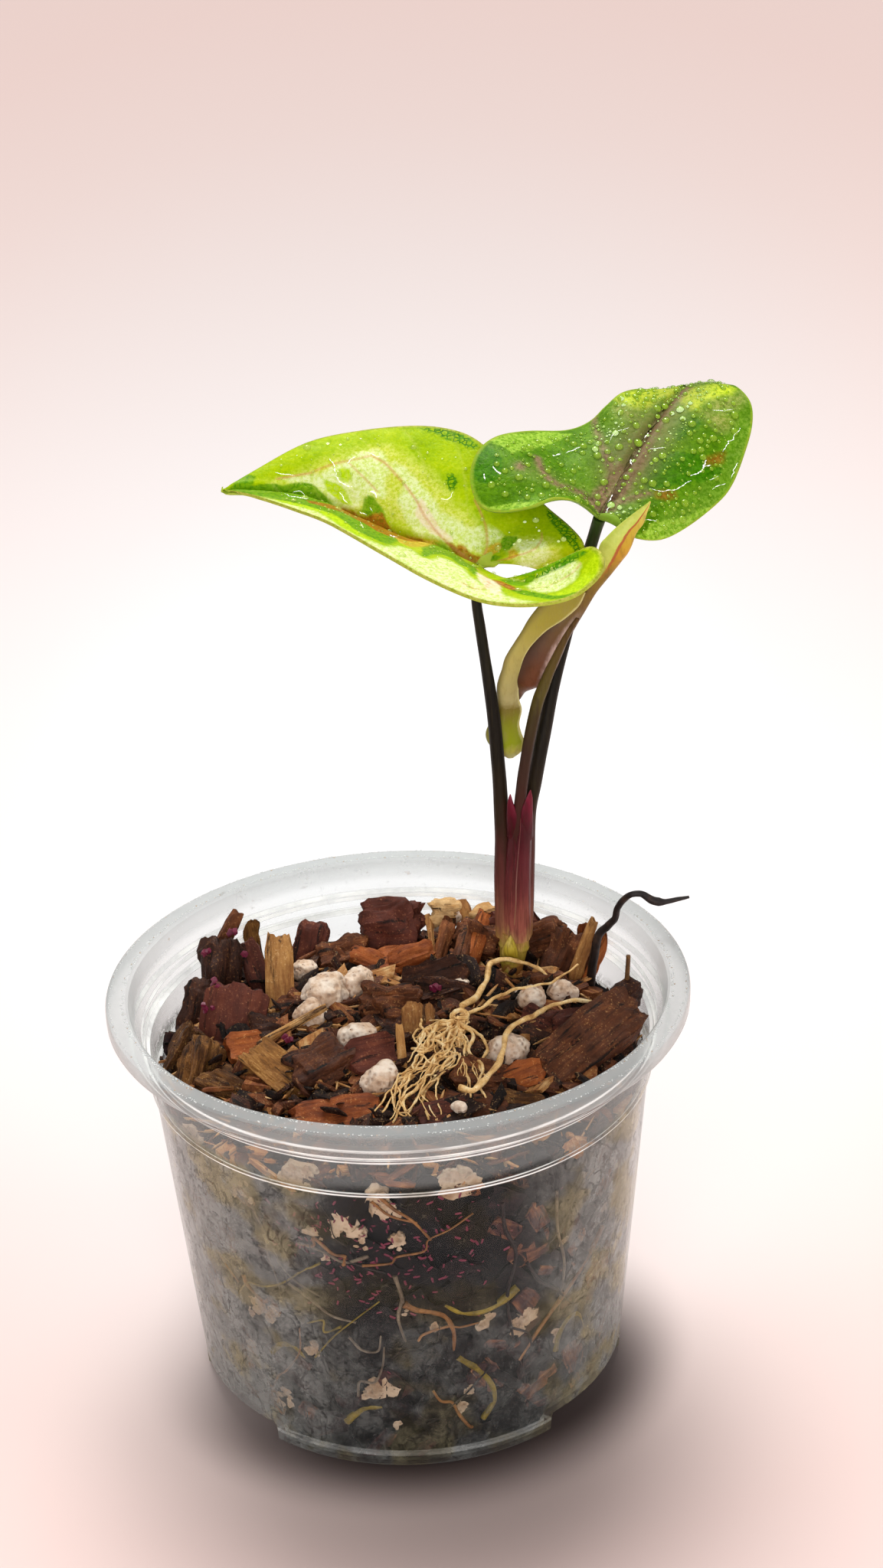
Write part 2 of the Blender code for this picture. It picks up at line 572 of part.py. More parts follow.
def blade_point(blade, u, v):
    """A point of the blade: u runs from the tip round to the petiole, v from margin to margin."""
    side = "a" if v < 0 else "b"
    fan = blade["fan"]["ab".index(side)]
    across = abs(v)
    edge = at_fraction(blade[side + "_path"], u)
    spine = at_fraction(blade["rib_path"], u / fan)
    middle = (spine + edge) / 2
    lobe_side, turn, _ = blade["lobe"]
    if side == lobe_side and u > fan:
        bend = at_fraction(blade["lobe_path"], 0.5 * (edge - spine).length / blade["lobe_length"])
        middle = middle.lerp(bend, LOBE_BEND * min(1.0, (u - fan) / (turn - fan)))
    width = (edge - spine).length
    arch = blade["arch"]["ab".index(side)] * MM * min(1.0, width / (18 * MM))
    lift = Vector((0, -0.35, 0.94)) * arch * math.sin(math.pi * across)
    return spine * (1 - across) ** 2 + middle * 2 * across * (1 - across) + edge * across ** 2 + lift


def build_blade(node, shape, parts):
    blade = dict(shape, lobe_path=smooth_path(shape["lobe"][2], 6))
    blade["lobe_length"] = sum((b - a).length for a, b in zip(blade["lobe_path"], blade["lobe_path"][1:]))
    for route in ("rib", "a", "b"):
        blade[route + "_path"] = smooth_path(shape[route], 6)
    bm = bmesh.new()
    bmesh.ops.create_grid(bm, x_segments=BLADE_ROWS, y_segments=2 * BLADE_CELLS, size=1.0)
    for vert in bm.verts:
        vert.co = blade_point(blade, (vert.co.x + 1) / 2, round(vert.co.y, 4))
    bmesh.ops.remove_doubles(bm, verts=bm.verts, dist=0.0001)
    bmesh.ops.dissolve_degenerate(bm, edges=bm.edges, dist=0.00005)
    bmesh.ops.triangulate(bm, faces=bm.faces)
    obj = object_from_bmesh(bm, node, parts)
    mod = obj.modifiers.new("Thickness", "SOLIDIFY")
    mod.thickness = BLADE_THICK
    mod.offset = -1.0
    return finish(apply_modifiers(obj), node, roughness=0.35)


def build_leaf_new(parts):
    centers = [c for c, _ in LEAF_NEW]
    radii = [r for _, r in LEAF_NEW]

    def scroll(t, angle):
        place = t * (len(radii) - 1)
        low = min(int(place), len(radii) - 2)
        radius = radii[low] + (radii[low + 1] - radii[low]) * (place - low)
        wrap = 1.0 - angle / (2 * math.pi)
        step = SCROLL_STEP * min(1.0, radius / 3.0)
        return (radius - step * wrap) * MM
    path = [Vector(c) * MM for c in centers]
    return finish(sweep("leaf_new", path, parts, scroll, SCROLL_SIDES), "leaf_new", roughness=0.4)


# Roots and dead shoots

def build_roots(parts, cutters):
    knot = primitive("dry_roots", parts, bpy.ops.mesh.primitive_ico_sphere_add, subdivisions=2,
                     radius=1.9 * MM, location=Vector(ROOT_KNOT) * MM)
    apply_location(knot)
    for index, route in enumerate(ROOT_STRANDS):
        strand = tube("strand_%d" % index, route, STRAND_R, cutters, 5, 2)
        boolean(knot, as_cutter(strand), "UNION")
    finish(knot, "dry_roots", roughness=0.8)
    finish(tube("root_loop", ROOT_LOOP, ROOT_LOOP_R, parts, 7, 2), "root_loop", roughness=0.8)
    finish(tube("root_right", ROOT_RIGHT, ROOT_RIGHT_R, parts, 7, 2), "root_right", roughness=0.8)


def apply_location(obj):
    obj.data.transform(Matrix.Translation(obj.location))
    obj.location = (0, 0, 0)


def build_dead_shoots(parts):
    finish(tube("dark_twig", TWIG, TWIG_RADII, parts, 6, 2), "dark_twig", roughness=0.7)
    finish(tube("dead_stalk", STALK, STALK_R, parts, 6, 2), "dead_stalk", roughness=0.7)


def main():
    clear_scene()
    parts = new_collection("arrowhead_plant")
    cutters = new_collection("cutters", hidden=True)
    build_pot(parts, cutters)
    build_potting_mix(parts, cutters)
    build_loose(parts)
    build_stem(parts)
    build_sheath(parts, cutters)
    build_petioles(parts)
    build_blade("leaf_left", LEAF_LEFT, parts)
    build_blade("leaf_right", LEAF_RIGHT, parts)
    build_leaf_new(parts)
    build_roots(parts, cutters)
    build_dead_shoots(parts)


main()
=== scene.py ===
"""Arrowhead plant in a clear nursery pot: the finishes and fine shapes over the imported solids.

Metres, +Z up, the same frame as the solids. Lists of places are in millimetres.
"""
import logging
import math
import random
from contextlib import contextmanager
from dataclasses import dataclass, field
from enum import Enum
from typing import Any, Callable, Dict, Iterable, Iterator, List, Optional, Sequence, Tuple, Union

import bpy
import numpy as np
from mathutils import Euler, Matrix, Vector


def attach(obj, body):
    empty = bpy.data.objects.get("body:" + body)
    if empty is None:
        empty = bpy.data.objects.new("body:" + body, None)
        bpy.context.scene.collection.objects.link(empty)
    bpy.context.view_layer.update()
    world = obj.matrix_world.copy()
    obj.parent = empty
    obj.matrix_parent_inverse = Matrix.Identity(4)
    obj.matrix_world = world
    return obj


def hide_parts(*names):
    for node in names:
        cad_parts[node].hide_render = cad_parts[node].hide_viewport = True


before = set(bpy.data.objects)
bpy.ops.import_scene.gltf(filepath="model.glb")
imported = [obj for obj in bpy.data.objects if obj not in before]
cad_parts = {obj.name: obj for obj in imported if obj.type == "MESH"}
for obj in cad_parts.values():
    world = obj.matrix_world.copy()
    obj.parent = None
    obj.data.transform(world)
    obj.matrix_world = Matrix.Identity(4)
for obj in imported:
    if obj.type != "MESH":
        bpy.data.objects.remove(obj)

LOG = logging.getLogger("arrowhead")
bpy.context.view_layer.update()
BODY = "root"
MM = 0.001
FULL_TURN = 2 * math.pi
TINY = 1e-9
Point = Tuple[float, float, float]
Color = Tuple[float, float, float]
Stops = Tuple[Tuple[float, Color], ...]
Route = Tuple[Tuple[float, float], ...]
WHITE = (1.0, 1.0, 1.0)


def srgb(red: int, green: int, blue: int) -> Color:
    """A screen colour as the linear colour that shaders take.

    Args:
        red: its red, 0 to 255.
        green: its green.
        blue: its blue.

    Returns:
        Red, green and blue from 0 to 1.
    """
    def linear(value: int) -> float:
        """One channel."""
        part = value / 255
        return part / 12.92 if part <= 0.04045 else ((part + 0.055) / 1.055) ** 2.4
    return linear(red), linear(green), linear(blue)


# Shaders


class Wire:
    """A value in a shader. Each sign between wires and numbers adds one Math node."""

    def __init__(self, shader: "Shader", socket: bpy.types.NodeSocket) -> None:
        """Keeps the shader and the socket that the value comes from."""
        self.shader, self.socket = shader, socket

    def __add__(self, other: "Value") -> "Wire":
        """This plus the other."""
        return self.shader.calc("ADD", self, other)

    def __sub__(self, other: "Value") -> "Wire":
        """This less the other."""
        return self.shader.calc("SUBTRACT", self, other)

    def __rsub__(self, other: "Value") -> "Wire":
        """The other less this."""
        return self.shader.calc("SUBTRACT", other, self)

    def __mul__(self, other: "Value") -> "Wire":
        """This times the other."""
        return self.shader.calc("MULTIPLY", self, other)

    def __truediv__(self, other: "Value") -> "Wire":
        """This over the other."""
        return self.shader.calc("DIVIDE", self, other)

    def __rtruediv__(self, other: "Value") -> "Wire":
        """The other over this."""
        return self.shader.calc("DIVIDE", other, self)

    def __pow__(self, other: "Value") -> "Wire":
        """This to a power."""
        return self.shader.calc("POWER", self, other)

    def __abs__(self) -> "Wire":
        """This without its sign."""
        return self.shader.calc("ABSOLUTE", self)


Value = Union[Wire, float]
Tint = Union[Wire, Color]


class Shader:
    """A material under construction: short calls that add nodes and return their outputs as wires."""

    def __init__(self, name: str) -> None:
        """Starts a material with its Principled BSDF.

        Args:
            name: the material's name.
        """
        self.material = bpy.data.materials.new(name)
        self.material.use_nodes = True
        self.tree = self.material.node_tree
        self.surface = self.tree.nodes["Principled BSDF"]

    def join(self, socket: bpy.types.NodeSocket, value: Any) -> None:
        """Feeds an input.

        Args:
            socket: the input.
            value: a wire to link to it, or the value that it is set to.
        """
        if isinstance(value, Wire):
            self.tree.links.new(value.socket, socket)
        elif isinstance(value, tuple) and len(value) == 3 and socket.type == "RGBA":
            socket.default_value = (*value, 1.0)
        else:
            socket.default_value = value

    def node(self, kind: str, inputs: Optional[Dict] = None, **settings: Any) -> bpy.types.Node:
        """Adds a node.

        Args:
            kind: the node's type without its ShaderNode prefix.
            inputs: values or wires by input name or index.
            settings: attributes of the node itself.

        Returns:
            The node.
        """
        made = self.tree.nodes.new("ShaderNode" + kind)
        for key, value in settings.items():
            setattr(made, key, value)
        for key, value in (inputs or {}).items():
            self.join(made.inputs[key], value)
        return made

    def read(self, output: Union[int, str], kind: str, inputs: Optional[Dict] = None, **settings: Any) -> Wire:
        """Adds a node, as above, and returns the output of that name or index."""
        return Wire(self, self.node(kind, inputs, **settings).outputs[output])

    def place(self) -> Wire:
        """Object coordinates."""
        return self.read("Object", "TexCoord")

    def axes(self, vector: Wire) -> List[Wire]:
        """The X, Y and Z of a vector."""
        return [Wire(self, socket) for socket in self.node("SeparateXYZ", {"Vector": vector}).outputs]

    def attribute(self, name: str, output: str = "Fac") -> Wire:
        """A vertex field's value."""
        return self.read(output, "Attribute", attribute_name=name)

    def stretch(self, vector: Wire, scale: Point, turn: Point = (0.0, 0.0, 0.0)) -> Wire:
        """Coordinates scaled by axis, after a turn in radians."""
        return self.read(0, "Mapping", {"Vector": vector, "Rotation": turn, "Scale": scale})

    def cloud(self, vector: Wire, grain_mm: float, detail: float = 3.0, rough: float = 0.55) -> Wire:
        """Noise from 0 to 1 with patches about grain_mm across."""
        return self.read("Fac", "TexNoise", {"Vector": vector, "Scale": 1.0 / (grain_mm * MM), "Detail": detail,
                                             "Roughness": rough, "Distortion": 0.0})

    def cells(self, vector: Wire, size_mm: float, feature: str = "F1") -> Wire:
        """Voronoi cells about size_mm across."""
        return self.read("Distance", "TexVoronoi", {"Vector": vector, "Scale": 1.0 / (size_mm * MM)},
                         feature=feature)

    def step(self, value: Value, low: float, high: float, out_low: float = 0.0, out_high: float = 1.0) -> Wire:
        """A smooth rise from out_low to out_high as value goes from low to high."""
        return self.read(0, "MapRange", {"Value": value, "From Min": low, "From Max": high, "To Min": out_low,
                                         "To Max": out_high}, interpolation_type="SMOOTHSTEP")

    def calc(self, operation: str, first: Value, second: Value = 0.0, clamp: bool = False) -> Wire:
        """One step of arithmetic."""
        return self.read(0, "Math", {0: first, 1: second}, operation=operation, use_clamp=clamp)

    def blend(self, amount: Value, first: Tint, second: Tint) -> Wire:
        """Two colours mixed by amount."""
        return self.read(2, "Mix", {"Factor": amount, 6: first, 7: second}, data_type="RGBA", blend_type="MIX",
                         clamp_factor=True)

    def ramp(self, value: Value, stops: Sequence[Tuple[float, Color]]) -> Wire:
        """A colour ramp.

        Args:
            value: what picks the colour, 0 to 1.
            stops: places on the ramp with their colours, from low to high.

        Returns:
            The colour.
        """
        made = self.node("ValToRGB", {"Fac": value})
        ends = made.color_ramp.elements
        ends[0].position, ends[1].position = stops[0][0], stops[-1][0]
        ends[0].color, ends[1].color = (*stops[0][1], 1.0), (*stops[-1][1], 1.0)
        for position, color in stops[1:-1]:
            ends.new(position).color = (*color, 1.0)
        return Wire(self, made.outputs["Color"])

    def relief(self, height: Wire, depth_mm: float, strength: float = 1.0, base: Optional[Wire] = None) -> Wire:
        """A bump normal whose full height is depth_mm, over another bump if there is one."""
        under = {} if base is None else {"Normal": base}
        return self.read(0, "Bump", {"Height": height, "Distance": depth_mm * MM, "Strength": strength, **under})

    def facing(self) -> Wire:
        """0 where the surface faces the viewer, rising to 1 at its edge."""
        return self.read("Facing", "LayerWeight", {"Blend": 0.5})

    def dress(self, **inputs: Any) -> bpy.types.Material:
        """Sets the Principled BSDF's inputs.

        Args:
            inputs: values or wires by input name, with underscores for its spaces.

        Returns:
            The finished material.
        """
        for key, value in inputs.items():
            self.join(self.surface.inputs[key.replace("_", " ")], value)
        return self.material


# Curves and meshes


def vectors(points: Iterable[Point]) -> List[Vector]:
    """Millimetre places as vectors in metres."""
    return [Vector(point) * MM for point in points]


def polar(reach: float, turn: float, height: float) -> Point:
    """A place by its distance from the pot's axis, its angle in radians and its height."""
    return reach * math.cos(turn), reach * math.sin(turn), height


def smooth_path(points: Sequence[Point], per_span: int) -> List[Vector]:
    """A Catmull-Rom curve through the places.

    Args:
        points: places in millimetres.
        per_span: samples from one place to the next.

    Returns:
        The curve's points in metres.
    """
    pts = vectors(points)
    pts = [pts[0] * 2 - pts[1]] + pts + [pts[-1] * 2 - pts[-2]]
    out = []
    for a, b, c, d in zip(pts, pts[1:], pts[2:], pts[3:]):
        for index in range(per_span):
            t = index / per_span
            out.append(0.5 * (2 * b + (c - a) * t + (2 * a - 5 * b + 4 * c - d) * t ** 2
                              + (3 * b - a - 3 * c + d) * t ** 3))
    out.append(pts[-2])
    return out


def at_fractions(path: Sequence[Vector], fractions: Sequence[float]) -> np.ndarray:
    """Points at fractions of a polyline's length.

    Args:
        path: the polyline.
        fractions: from 0 at its start to 1 at its end.

    Returns:
        One row for each fraction.
    """
    points = np.array(path)
    lengths = np.concatenate(([0.0], np.cumsum(np.linalg.norm(np.diff(points, axis=0), axis=1))))
    wanted = np.clip(fractions, 0.0, 1.0) * lengths[-1]
    return np.stack([np.interp(wanted, lengths, points[:, axis]) for axis in range(3)], axis=1)


def between(values: Sequence[float], t: float) -> float:
    """The value a fraction t of the way along an evenly spaced list."""
    return float(np.interp(t * (len(values) - 1), range(len(values)), values))


def deselect() -> None:
    """Leaves nothing selected."""
    bpy.ops.object.select_all(action="DESELECT")


def pick(obj: bpy.types.Object) -> None:
    """Selects one object alone and makes it the active one."""
    deselect()
    obj.select_set(True)
    bpy.context.view_layer.objects.active = obj


@contextmanager
def editing() -> Iterator[None]:
    """Edit mode on the active object, with all of its mesh selected.

    Returns:
        Nothing; it is used in a with statement.
    """
    bpy.ops.object.mode_set(mode="EDIT")
    bpy.ops.mesh.select_all(action="SELECT")
    yield
    bpy.ops.object.mode_set(mode="OBJECT")


def added(name: str) -> bpy.types.Object:
    """Names the object that an operator has just added, and returns it."""
    obj = bpy.context.object
    obj.name = obj.data.name = name
    return obj


def set_points(obj: bpy.types.Object, points: np.ndarray) -> None:
    """Moves every vertex of a mesh to its row of an array."""
    obj.data.vertices.foreach_set("co", np.ascontiguousarray(points, dtype=np.float32).ravel())
    obj.data.update()


def three_each(items: Sequence, key: str) -> np.ndarray:
    """The vectors under one key of a mesh's items, one row each."""
    out = np.empty(len(items) * 3, dtype=np.float32)
    items.foreach_get(key, out)
    return out.reshape(-1, 3).astype(float)


def get_points(obj: bpy.types.Object) -> np.ndarray:
    """Every vertex of a mesh as an array."""
    return three_each(obj.data.vertices, "co")


def set_field(obj: bpy.types.Object, name: str, values: np.ndarray) -> None:
    """Stores a field on the vertices.

    Args:
        obj: the mesh object.
        name: the field's name.
        values: one value, or a row of three, for each vertex.
    """
    vector = values.ndim == 2
    layer = obj.data.attributes.new(name, "FLOAT_VECTOR" if vector else "FLOAT", "POINT")
    layer.data.foreach_set("vector" if vector else "value", np.ascontiguousarray(values, dtype=np.float32).ravel())


def from_faces(name: str, places: np.ndarray, faces: Sequence[Sequence[int]]) -> bpy.types.Object:
    """A mesh object from places in metres and the corners of its faces.

    Args:
        name: the object's name.
        places: one row for each vertex.
        faces: the numbers of the vertices round each face.

    Returns:
        A mesh object.
    """
    deselect()
    bpy.ops.mesh.primitive_plane_add(size=1.0)
    obj = added(name)
    obj.data.clear_geometry()
    obj.data.from_pydata(places.tolist(), [], faces)
    return obj


def ring_faces(rings: int, sides: int) -> List[Tuple[int, ...]]:
    """Faces between rings of vertices, closed at both ends.

    Args:
        rings: how many rings there are.
        sides: how many vertices each of them has.

    Returns:
        The corners of each face.
    """
    last = rings - 1
    faces = [(row * sides + k, row * sides + (k + 1) % sides, (row + 1) * sides + (k + 1) % sides,
              (row + 1) * sides + k) for row in range(last) for k in range(sides)]
    return faces + [tuple(reversed(range(sides))), tuple(last * sides + k for k in range(sides))]


def apply_all(obj: bpy.types.Object) -> bpy.types.Object:
    """Applies an object's modifiers in order, then its place, and returns it.

    Args:
        obj: the object.

    Returns:
        The same object.
    """
    pick(obj)
    for modifier in list(obj.modifiers):
        bpy.ops.object.modifier_apply(modifier=modifier.name)
    bpy.ops.object.transform_apply(location=True, rotation=True, scale=True)
    return obj


def join_all(objects: Sequence[bpy.types.Object], name: str) -> bpy.types.Object:
    """Joins objects into the first one.

    Args:
        objects: the objects.
        name: the name that the joined one takes.

    Returns:
        The first object.
    """
    deselect()
    for obj in objects:
        obj.select_set(True)
    bpy.context.view_layer.objects.active = objects[0]
    if len(objects) > 1:
        bpy.ops.object.join()
    return added(name)


def smooth(obj: bpy.types.Object, angle: float = 180.0) -> bpy.types.Object:
    """Shades smooth.

    Args:
        obj: the mesh object.
        angle: edges sharper than this, in degrees, stay sharp.

    Returns:
        The same object.
    """
    pick(obj)
    if angle >= 180.0:
        bpy.ops.object.shade_smooth()
    else:
        bpy.ops.object.shade_smooth_by_angle(angle=math.radians(angle))
    return obj


def tidy_mesh(obj: bpy.types.Object, merge_mm: float = 0.005) -> bpy.types.Object:
    """Merges doubled vertices and turns the faces outwards.

    Args:
        obj: the mesh object.
        merge_mm: how near vertices are merged.

    Returns:
        The same object.
    """
    pick(obj)
    with editing():
        bpy.ops.mesh.remove_doubles(threshold=merge_mm * MM)
        bpy.ops.mesh.normals_make_consistent(inside=False)
    return obj


def tube(name: str, path: Sequence[Vector], radius: Callable[[float], float], sides: int = 8) -> bpy.types.Object:
    """A closed tube along a path.

    Args:
        name: the object's name.
        path: the points of its middle line, in metres.
        radius: its radius in millimetres at a fraction of the points.
        sides: faces round it, an even number from 4.

    Returns:
        A mesh object.
    """
    deselect()
    bpy.ops.curve.primitive_bezier_curve_add()
    curve = added(name).data
    curve.splines.clear()
    line = curve.splines.new("POLY")
    line.points.add(len(path) - 1)
    for index, point in enumerate(path):
        line.points[index].co = (*point, 1.0)
        line.points[index].radius = radius(index / (len(path) - 1))
    curve.dimensions = "3D"
    curve.bevel_depth = MM
    curve.bevel_resolution = max(0, sides // 2 - 2)
    curve.use_fill_caps = True
    bpy.ops.object.convert(target="MESH")
    return smooth(bpy.context.object, 60.0)


def loft(name: str, path: Sequence[Vector], reach: Callable[[float, np.ndarray], np.ndarray],
         sides: int = 48) -> bpy.types.Object:
    """A closed tube with a free cross section, its path fraction and angle kept as the field "uv_at".

    Args:
        name: the object's name.
        path: its middle line in metres.
        reach: radii in millimetres at a fraction of the path, for an array of angles in radians.
        sides: faces round it.

    Returns:
        A mesh object.
    """
    angles = FULL_TURN * np.arange(sides) / sides
    side, rings, marks = Vector((1.0, 0.0, 0.0)), [], []
    last = len(path) - 1
    for index, point in enumerate(path):
        tangent = (path[min(index + 1, last)] - path[max(index - 1, 0)]).normalized()
        side = (side - tangent * side.dot(tangent)).normalized()
        up = tangent.cross(side)
        radii = reach(index / last, angles) * MM
        rings.append(np.array(point) + np.outer(np.cos(angles) * radii, side) + np.outer(np.sin(angles) * radii, up))
        marks.append(np.stack([np.full(sides, index / last), angles / FULL_TURN, np.zeros(sides)], axis=1))
    obj = from_faces(name, np.concatenate(rings), ring_faces(len(path), sides))
    set_field(obj, "uv_at", np.concatenate(marks))
    return smooth(obj, 50.0)


def bent_grid(name: str, columns: int, rows: int,
              shape: Callable[[np.ndarray, np.ndarray], np.ndarray]) -> bpy.types.Object:
    """A grid primitive bent to a surface, with its two parameters kept as the vertex field "uv_at".

    Args:
        name: the object's name.
        columns: cells along the first parameter.
        rows: cells along the second.
        shape: gives places in metres for arrays of both parameters, each 0 to 1.

    Returns:
        A mesh object.
    """
    deselect()
    bpy.ops.mesh.primitive_grid_add(x_subdivisions=columns, y_subdivisions=rows, size=2.0)
    obj = added(name)
    flat = get_points(obj)
    first, second = (flat[:, 0] + 1) / 2, (flat[:, 1] + 1) / 2
    set_points(obj, shape(first, second))
    set_field(obj, "uv_at", np.stack([first, second, np.zeros_like(first)], axis=1))
    return obj


def hand_over(obj: bpy.types.Object, material: bpy.types.Material, slot: str, *nodes: str) -> None:
    """Dresses a finished piece and gives it to the frame.

    Args:
        obj: the piece.
        material: its finish.
        slot: the record's material slot that it takes after; not used.
        nodes: the solids that it stands for.
    """
    obj.data.materials.clear()
    obj.data.materials.append(material)
    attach(obj, BODY)
    if nodes:
        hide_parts(*nodes)
    LOG.info("%s: %d faces, for %s", obj.name, len(obj.data.polygons), ", ".join(nodes) or "nothing")


# Noise and scattering


def lumps(points: np.ndarray, size_mm: float, octaves: int = 3, seed: int = 0) -> np.ndarray:
    """Smooth value noise, about -1 to 1.

    Args:
        points: places in metres, one row each.
        size_mm: width of the largest lumps.
        octaves: layers, each half as wide and half as strong as the one before.
        seed: picks the pattern.

    Returns:
        One value a point.
    """
    total, strength, scale = np.zeros(len(points)), 0.6, size_mm * MM
    for octave in range(octaves):
        place = points / scale + 100.0 + 7.31 * (seed + 3 * octave)
        cell = np.floor(place).astype(np.int64)
        part = place - cell
        part = part ** 3 * (part * (part * 6 - 15) + 10)
        for corner in np.ndindex(2, 2, 2):
            key = ((cell + corner) * np.array([73856093, 19349663, 83492791])).sum(axis=1) + 9176 * seed
            key = (key ^ (key >> 13)) * 1274126177
            key = (key ^ (key >> 16)) & 0xFFFF
            weight = np.prod(np.where(np.array(corner) == 1, part, 1 - part), axis=1)
            total += strength * weight * (key / 32767.5 - 1.0)
        strength, scale = strength / 2, scale / 2
    return total


def outward(points: np.ndarray) -> np.ndarray:
    """Unit directions of points from the z axis."""
    flat = points.copy()
    flat[:, 2] = 0.0
    return flat / np.maximum(np.linalg.norm(flat, axis=1, keepdims=True), TINY)


def turned_by(turn: Point) -> np.ndarray:
    """A turn in degrees about X, Y and Z as a 3 by 3 array."""
    return np.array(Euler([math.radians(angle) for angle in turn]).to_matrix())


@dataclass
class Shard:
    """A copy of a model shape: where it goes, its size and turn, and its tone."""
    center: Point
    size: Point
    turn: Point
    tone: float
    shape: int = 0


def scatter(name: str, models: Sequence[bpy.types.Object], shards: Sequence[Shard],
            press: Optional[Callable[[np.ndarray], np.ndarray]] = None) -> bpy.types.Object:
    """Copies model shapes into one mesh, with the fields "grain" and "tone" that the finishes read.

    Args:
        name: the new object's name.
        models: unit shapes, which are left in place.
        shards: the copies to make; millimetres.
        press: a change to the finished places, such as keeping them off a wall.

    Returns:
        A mesh object.
    """
    shapes = [(get_points(model), [tuple(face.vertices) for face in model.data.polygons]) for model in models]
    places, grains, tones, faces, start = [], [], [], [], 0
    for index, shard in enumerate(shards):
        points, polygons = shapes[shard.shape % len(shapes)]
        local = points * np.array(shard.size) * MM
        places.append(local @ turned_by(shard.turn).T + np.array(shard.center) * MM)
        grains.append(local + index * 0.037)
        tones.append(np.full(len(points), shard.tone))
        faces += [tuple(start + corner for corner in face) for face in polygons]
        start += len(points)
    moved = np.concatenate(places)
    obj = from_faces(name, press(moved) if press else moved, faces)
    set_field(obj, "grain", np.concatenate(grains))
    set_field(obj, "tone", np.concatenate(tones))
    return smooth(obj, 42.0)


def drop_models(models: Sequence[bpy.types.Object]) -> None:
    """Deletes model shapes once they are copied."""
    for model in models:
        bpy.data.objects.remove(model)


# Finishes


@dataclass(frozen=True)
class BarkFinish:
    """Split bark or wood: streaks along the grain, dark cracks, damp shine."""
    name: str
    stops: Stops
    streak_mm: float = 0.9
    relief_mm: float = 0.35
    damp: float = 0.5
    flecks: float = 0.55
    cracks_mm: float = 1.6
    blotches_mm: float = 4.0
    crumbs_mm: float = 0.5

    def build(self) -> bpy.types.Material:
        """Makes the material; its tone field slides the colours along the ramp.

        Returns:
            The material.
        """
        made = Shader(self.name)
        grain = made.attribute("grain", "Vector")
        fibre = made.cloud(made.stretch(grain, (0.14, 1.0, 1.0)), self.streak_mm, 6.0, 0.65)
        blotch = made.cloud(grain, self.blotches_mm, 4.0, 0.6)
        crumb = made.cloud(grain, self.crumbs_mm, 3.0, 0.7)
        tone = made.attribute("tone")
        mixed = (fibre - 0.5) * 0.75 + (blotch - 0.5) * 0.55
        color = made.ramp(made.calc("ADD", tone, mixed, True), self.stops)
        crack = made.step(made.cloud(made.stretch(grain, (0.1, 1.0, 1.0)), self.cracks_mm, 5.0, 0.7), 0.34, 0.46)
        color = made.blend(1.0 - crack, color, self.stops[0][1])
        gleam = made.step(crumb, 0.56, 0.7) * made.step(blotch, 0.42, 0.6, 0.0, self.flecks)
        color = made.blend(gleam, color, self.stops[-1][1])
        height = fibre * 0.6 + crumb * 0.5
        wet = made.step(made.cloud(made.place(), 3.0, 2.0), 0.42, 0.62, 0.75, 0.75 - 0.5 * self.damp)
        return made.dress(Base_Color=color, Roughness=wet, Specular_IOR_Level=0.22,
                          Normal=made.relief(height, self.relief_mm))


@dataclass(frozen=True)
class PumiceFinish:
    """Cream pumice: darker pits and dark specks."""
    name: str = "pumice"
    wet: float = 0.0
    pits_mm: float = 1.3
    stains_mm: float = 5.0
    specks_mm: float = 2.4
    relief_mm: float = 0.35

    def build(self) -> bpy.types.Material:
        """Makes the material.

        Returns:
            The material.
        """
        made = Shader(self.name)
        place = made.place()
        pits = made.cells(place, self.pits_mm, "SMOOTH_F1")
        stain = made.cloud(place, self.stains_mm, 5.0, 0.65)
        fine = made.cloud(place, 0.4, 3.0)
        color = made.ramp(stain, [(0.28, srgb(170, 128, 98)), (0.42, srgb(214, 182, 154)),
                                  (0.55, srgb(238, 218, 198)), (0.75, srgb(250, 240, 226))])
        color = made.blend(made.step(pits, 0.1, 0.34, 0.6, 0.0), color, srgb(166, 126, 98))
        speck = made.step(made.cells(place, self.specks_mm), 0.06, 0.09, 0.8, 0.0)
        color = made.blend(speck, color, srgb(120, 76, 50))
        color = made.blend(self.wet, color, made.blend(stain, srgb(96, 72, 50), srgb(196, 170, 132)))
        height = made.step(pits, 0.0, 0.5) + fine * 0.35
        return made.dress(Base_Color=color, Roughness=0.9, Specular_IOR_Level=0.25,
                          Normal=made.relief(height, self.relief_mm))


@dataclass(frozen=True)
class RootFinish:
    """Dry or living roots: a base colour that varies along the strand."""
    name: str
    low: Color
    mid: Color
    high: Color
    roughness: float = 0.6
    patches_mm: float = 3.0
    grain_mm: float = 0.35

    def build(self) -> bpy.types.Material:
        """Makes the material.

        Returns:
            The material.
        """
        made = Shader(self.name)
        place = made.place()
        patches = made.cloud(place, self.patches_mm, 5.0, 0.65)
        color = made.ramp(patches, [(0.3, self.low), (0.5, self.mid), (0.72, self.high)])
        fine = made.cloud(place, self.grain_mm, 3.0)
        color = made.blend(made.step(fine, 0.3, 0.45, 0.55, 0.0), color, self.low)
        return made.dress(Base_Color=color, Roughness=self.roughness, Specular_IOR_Level=0.35,
                          Normal=made.relief(fine, 0.12))


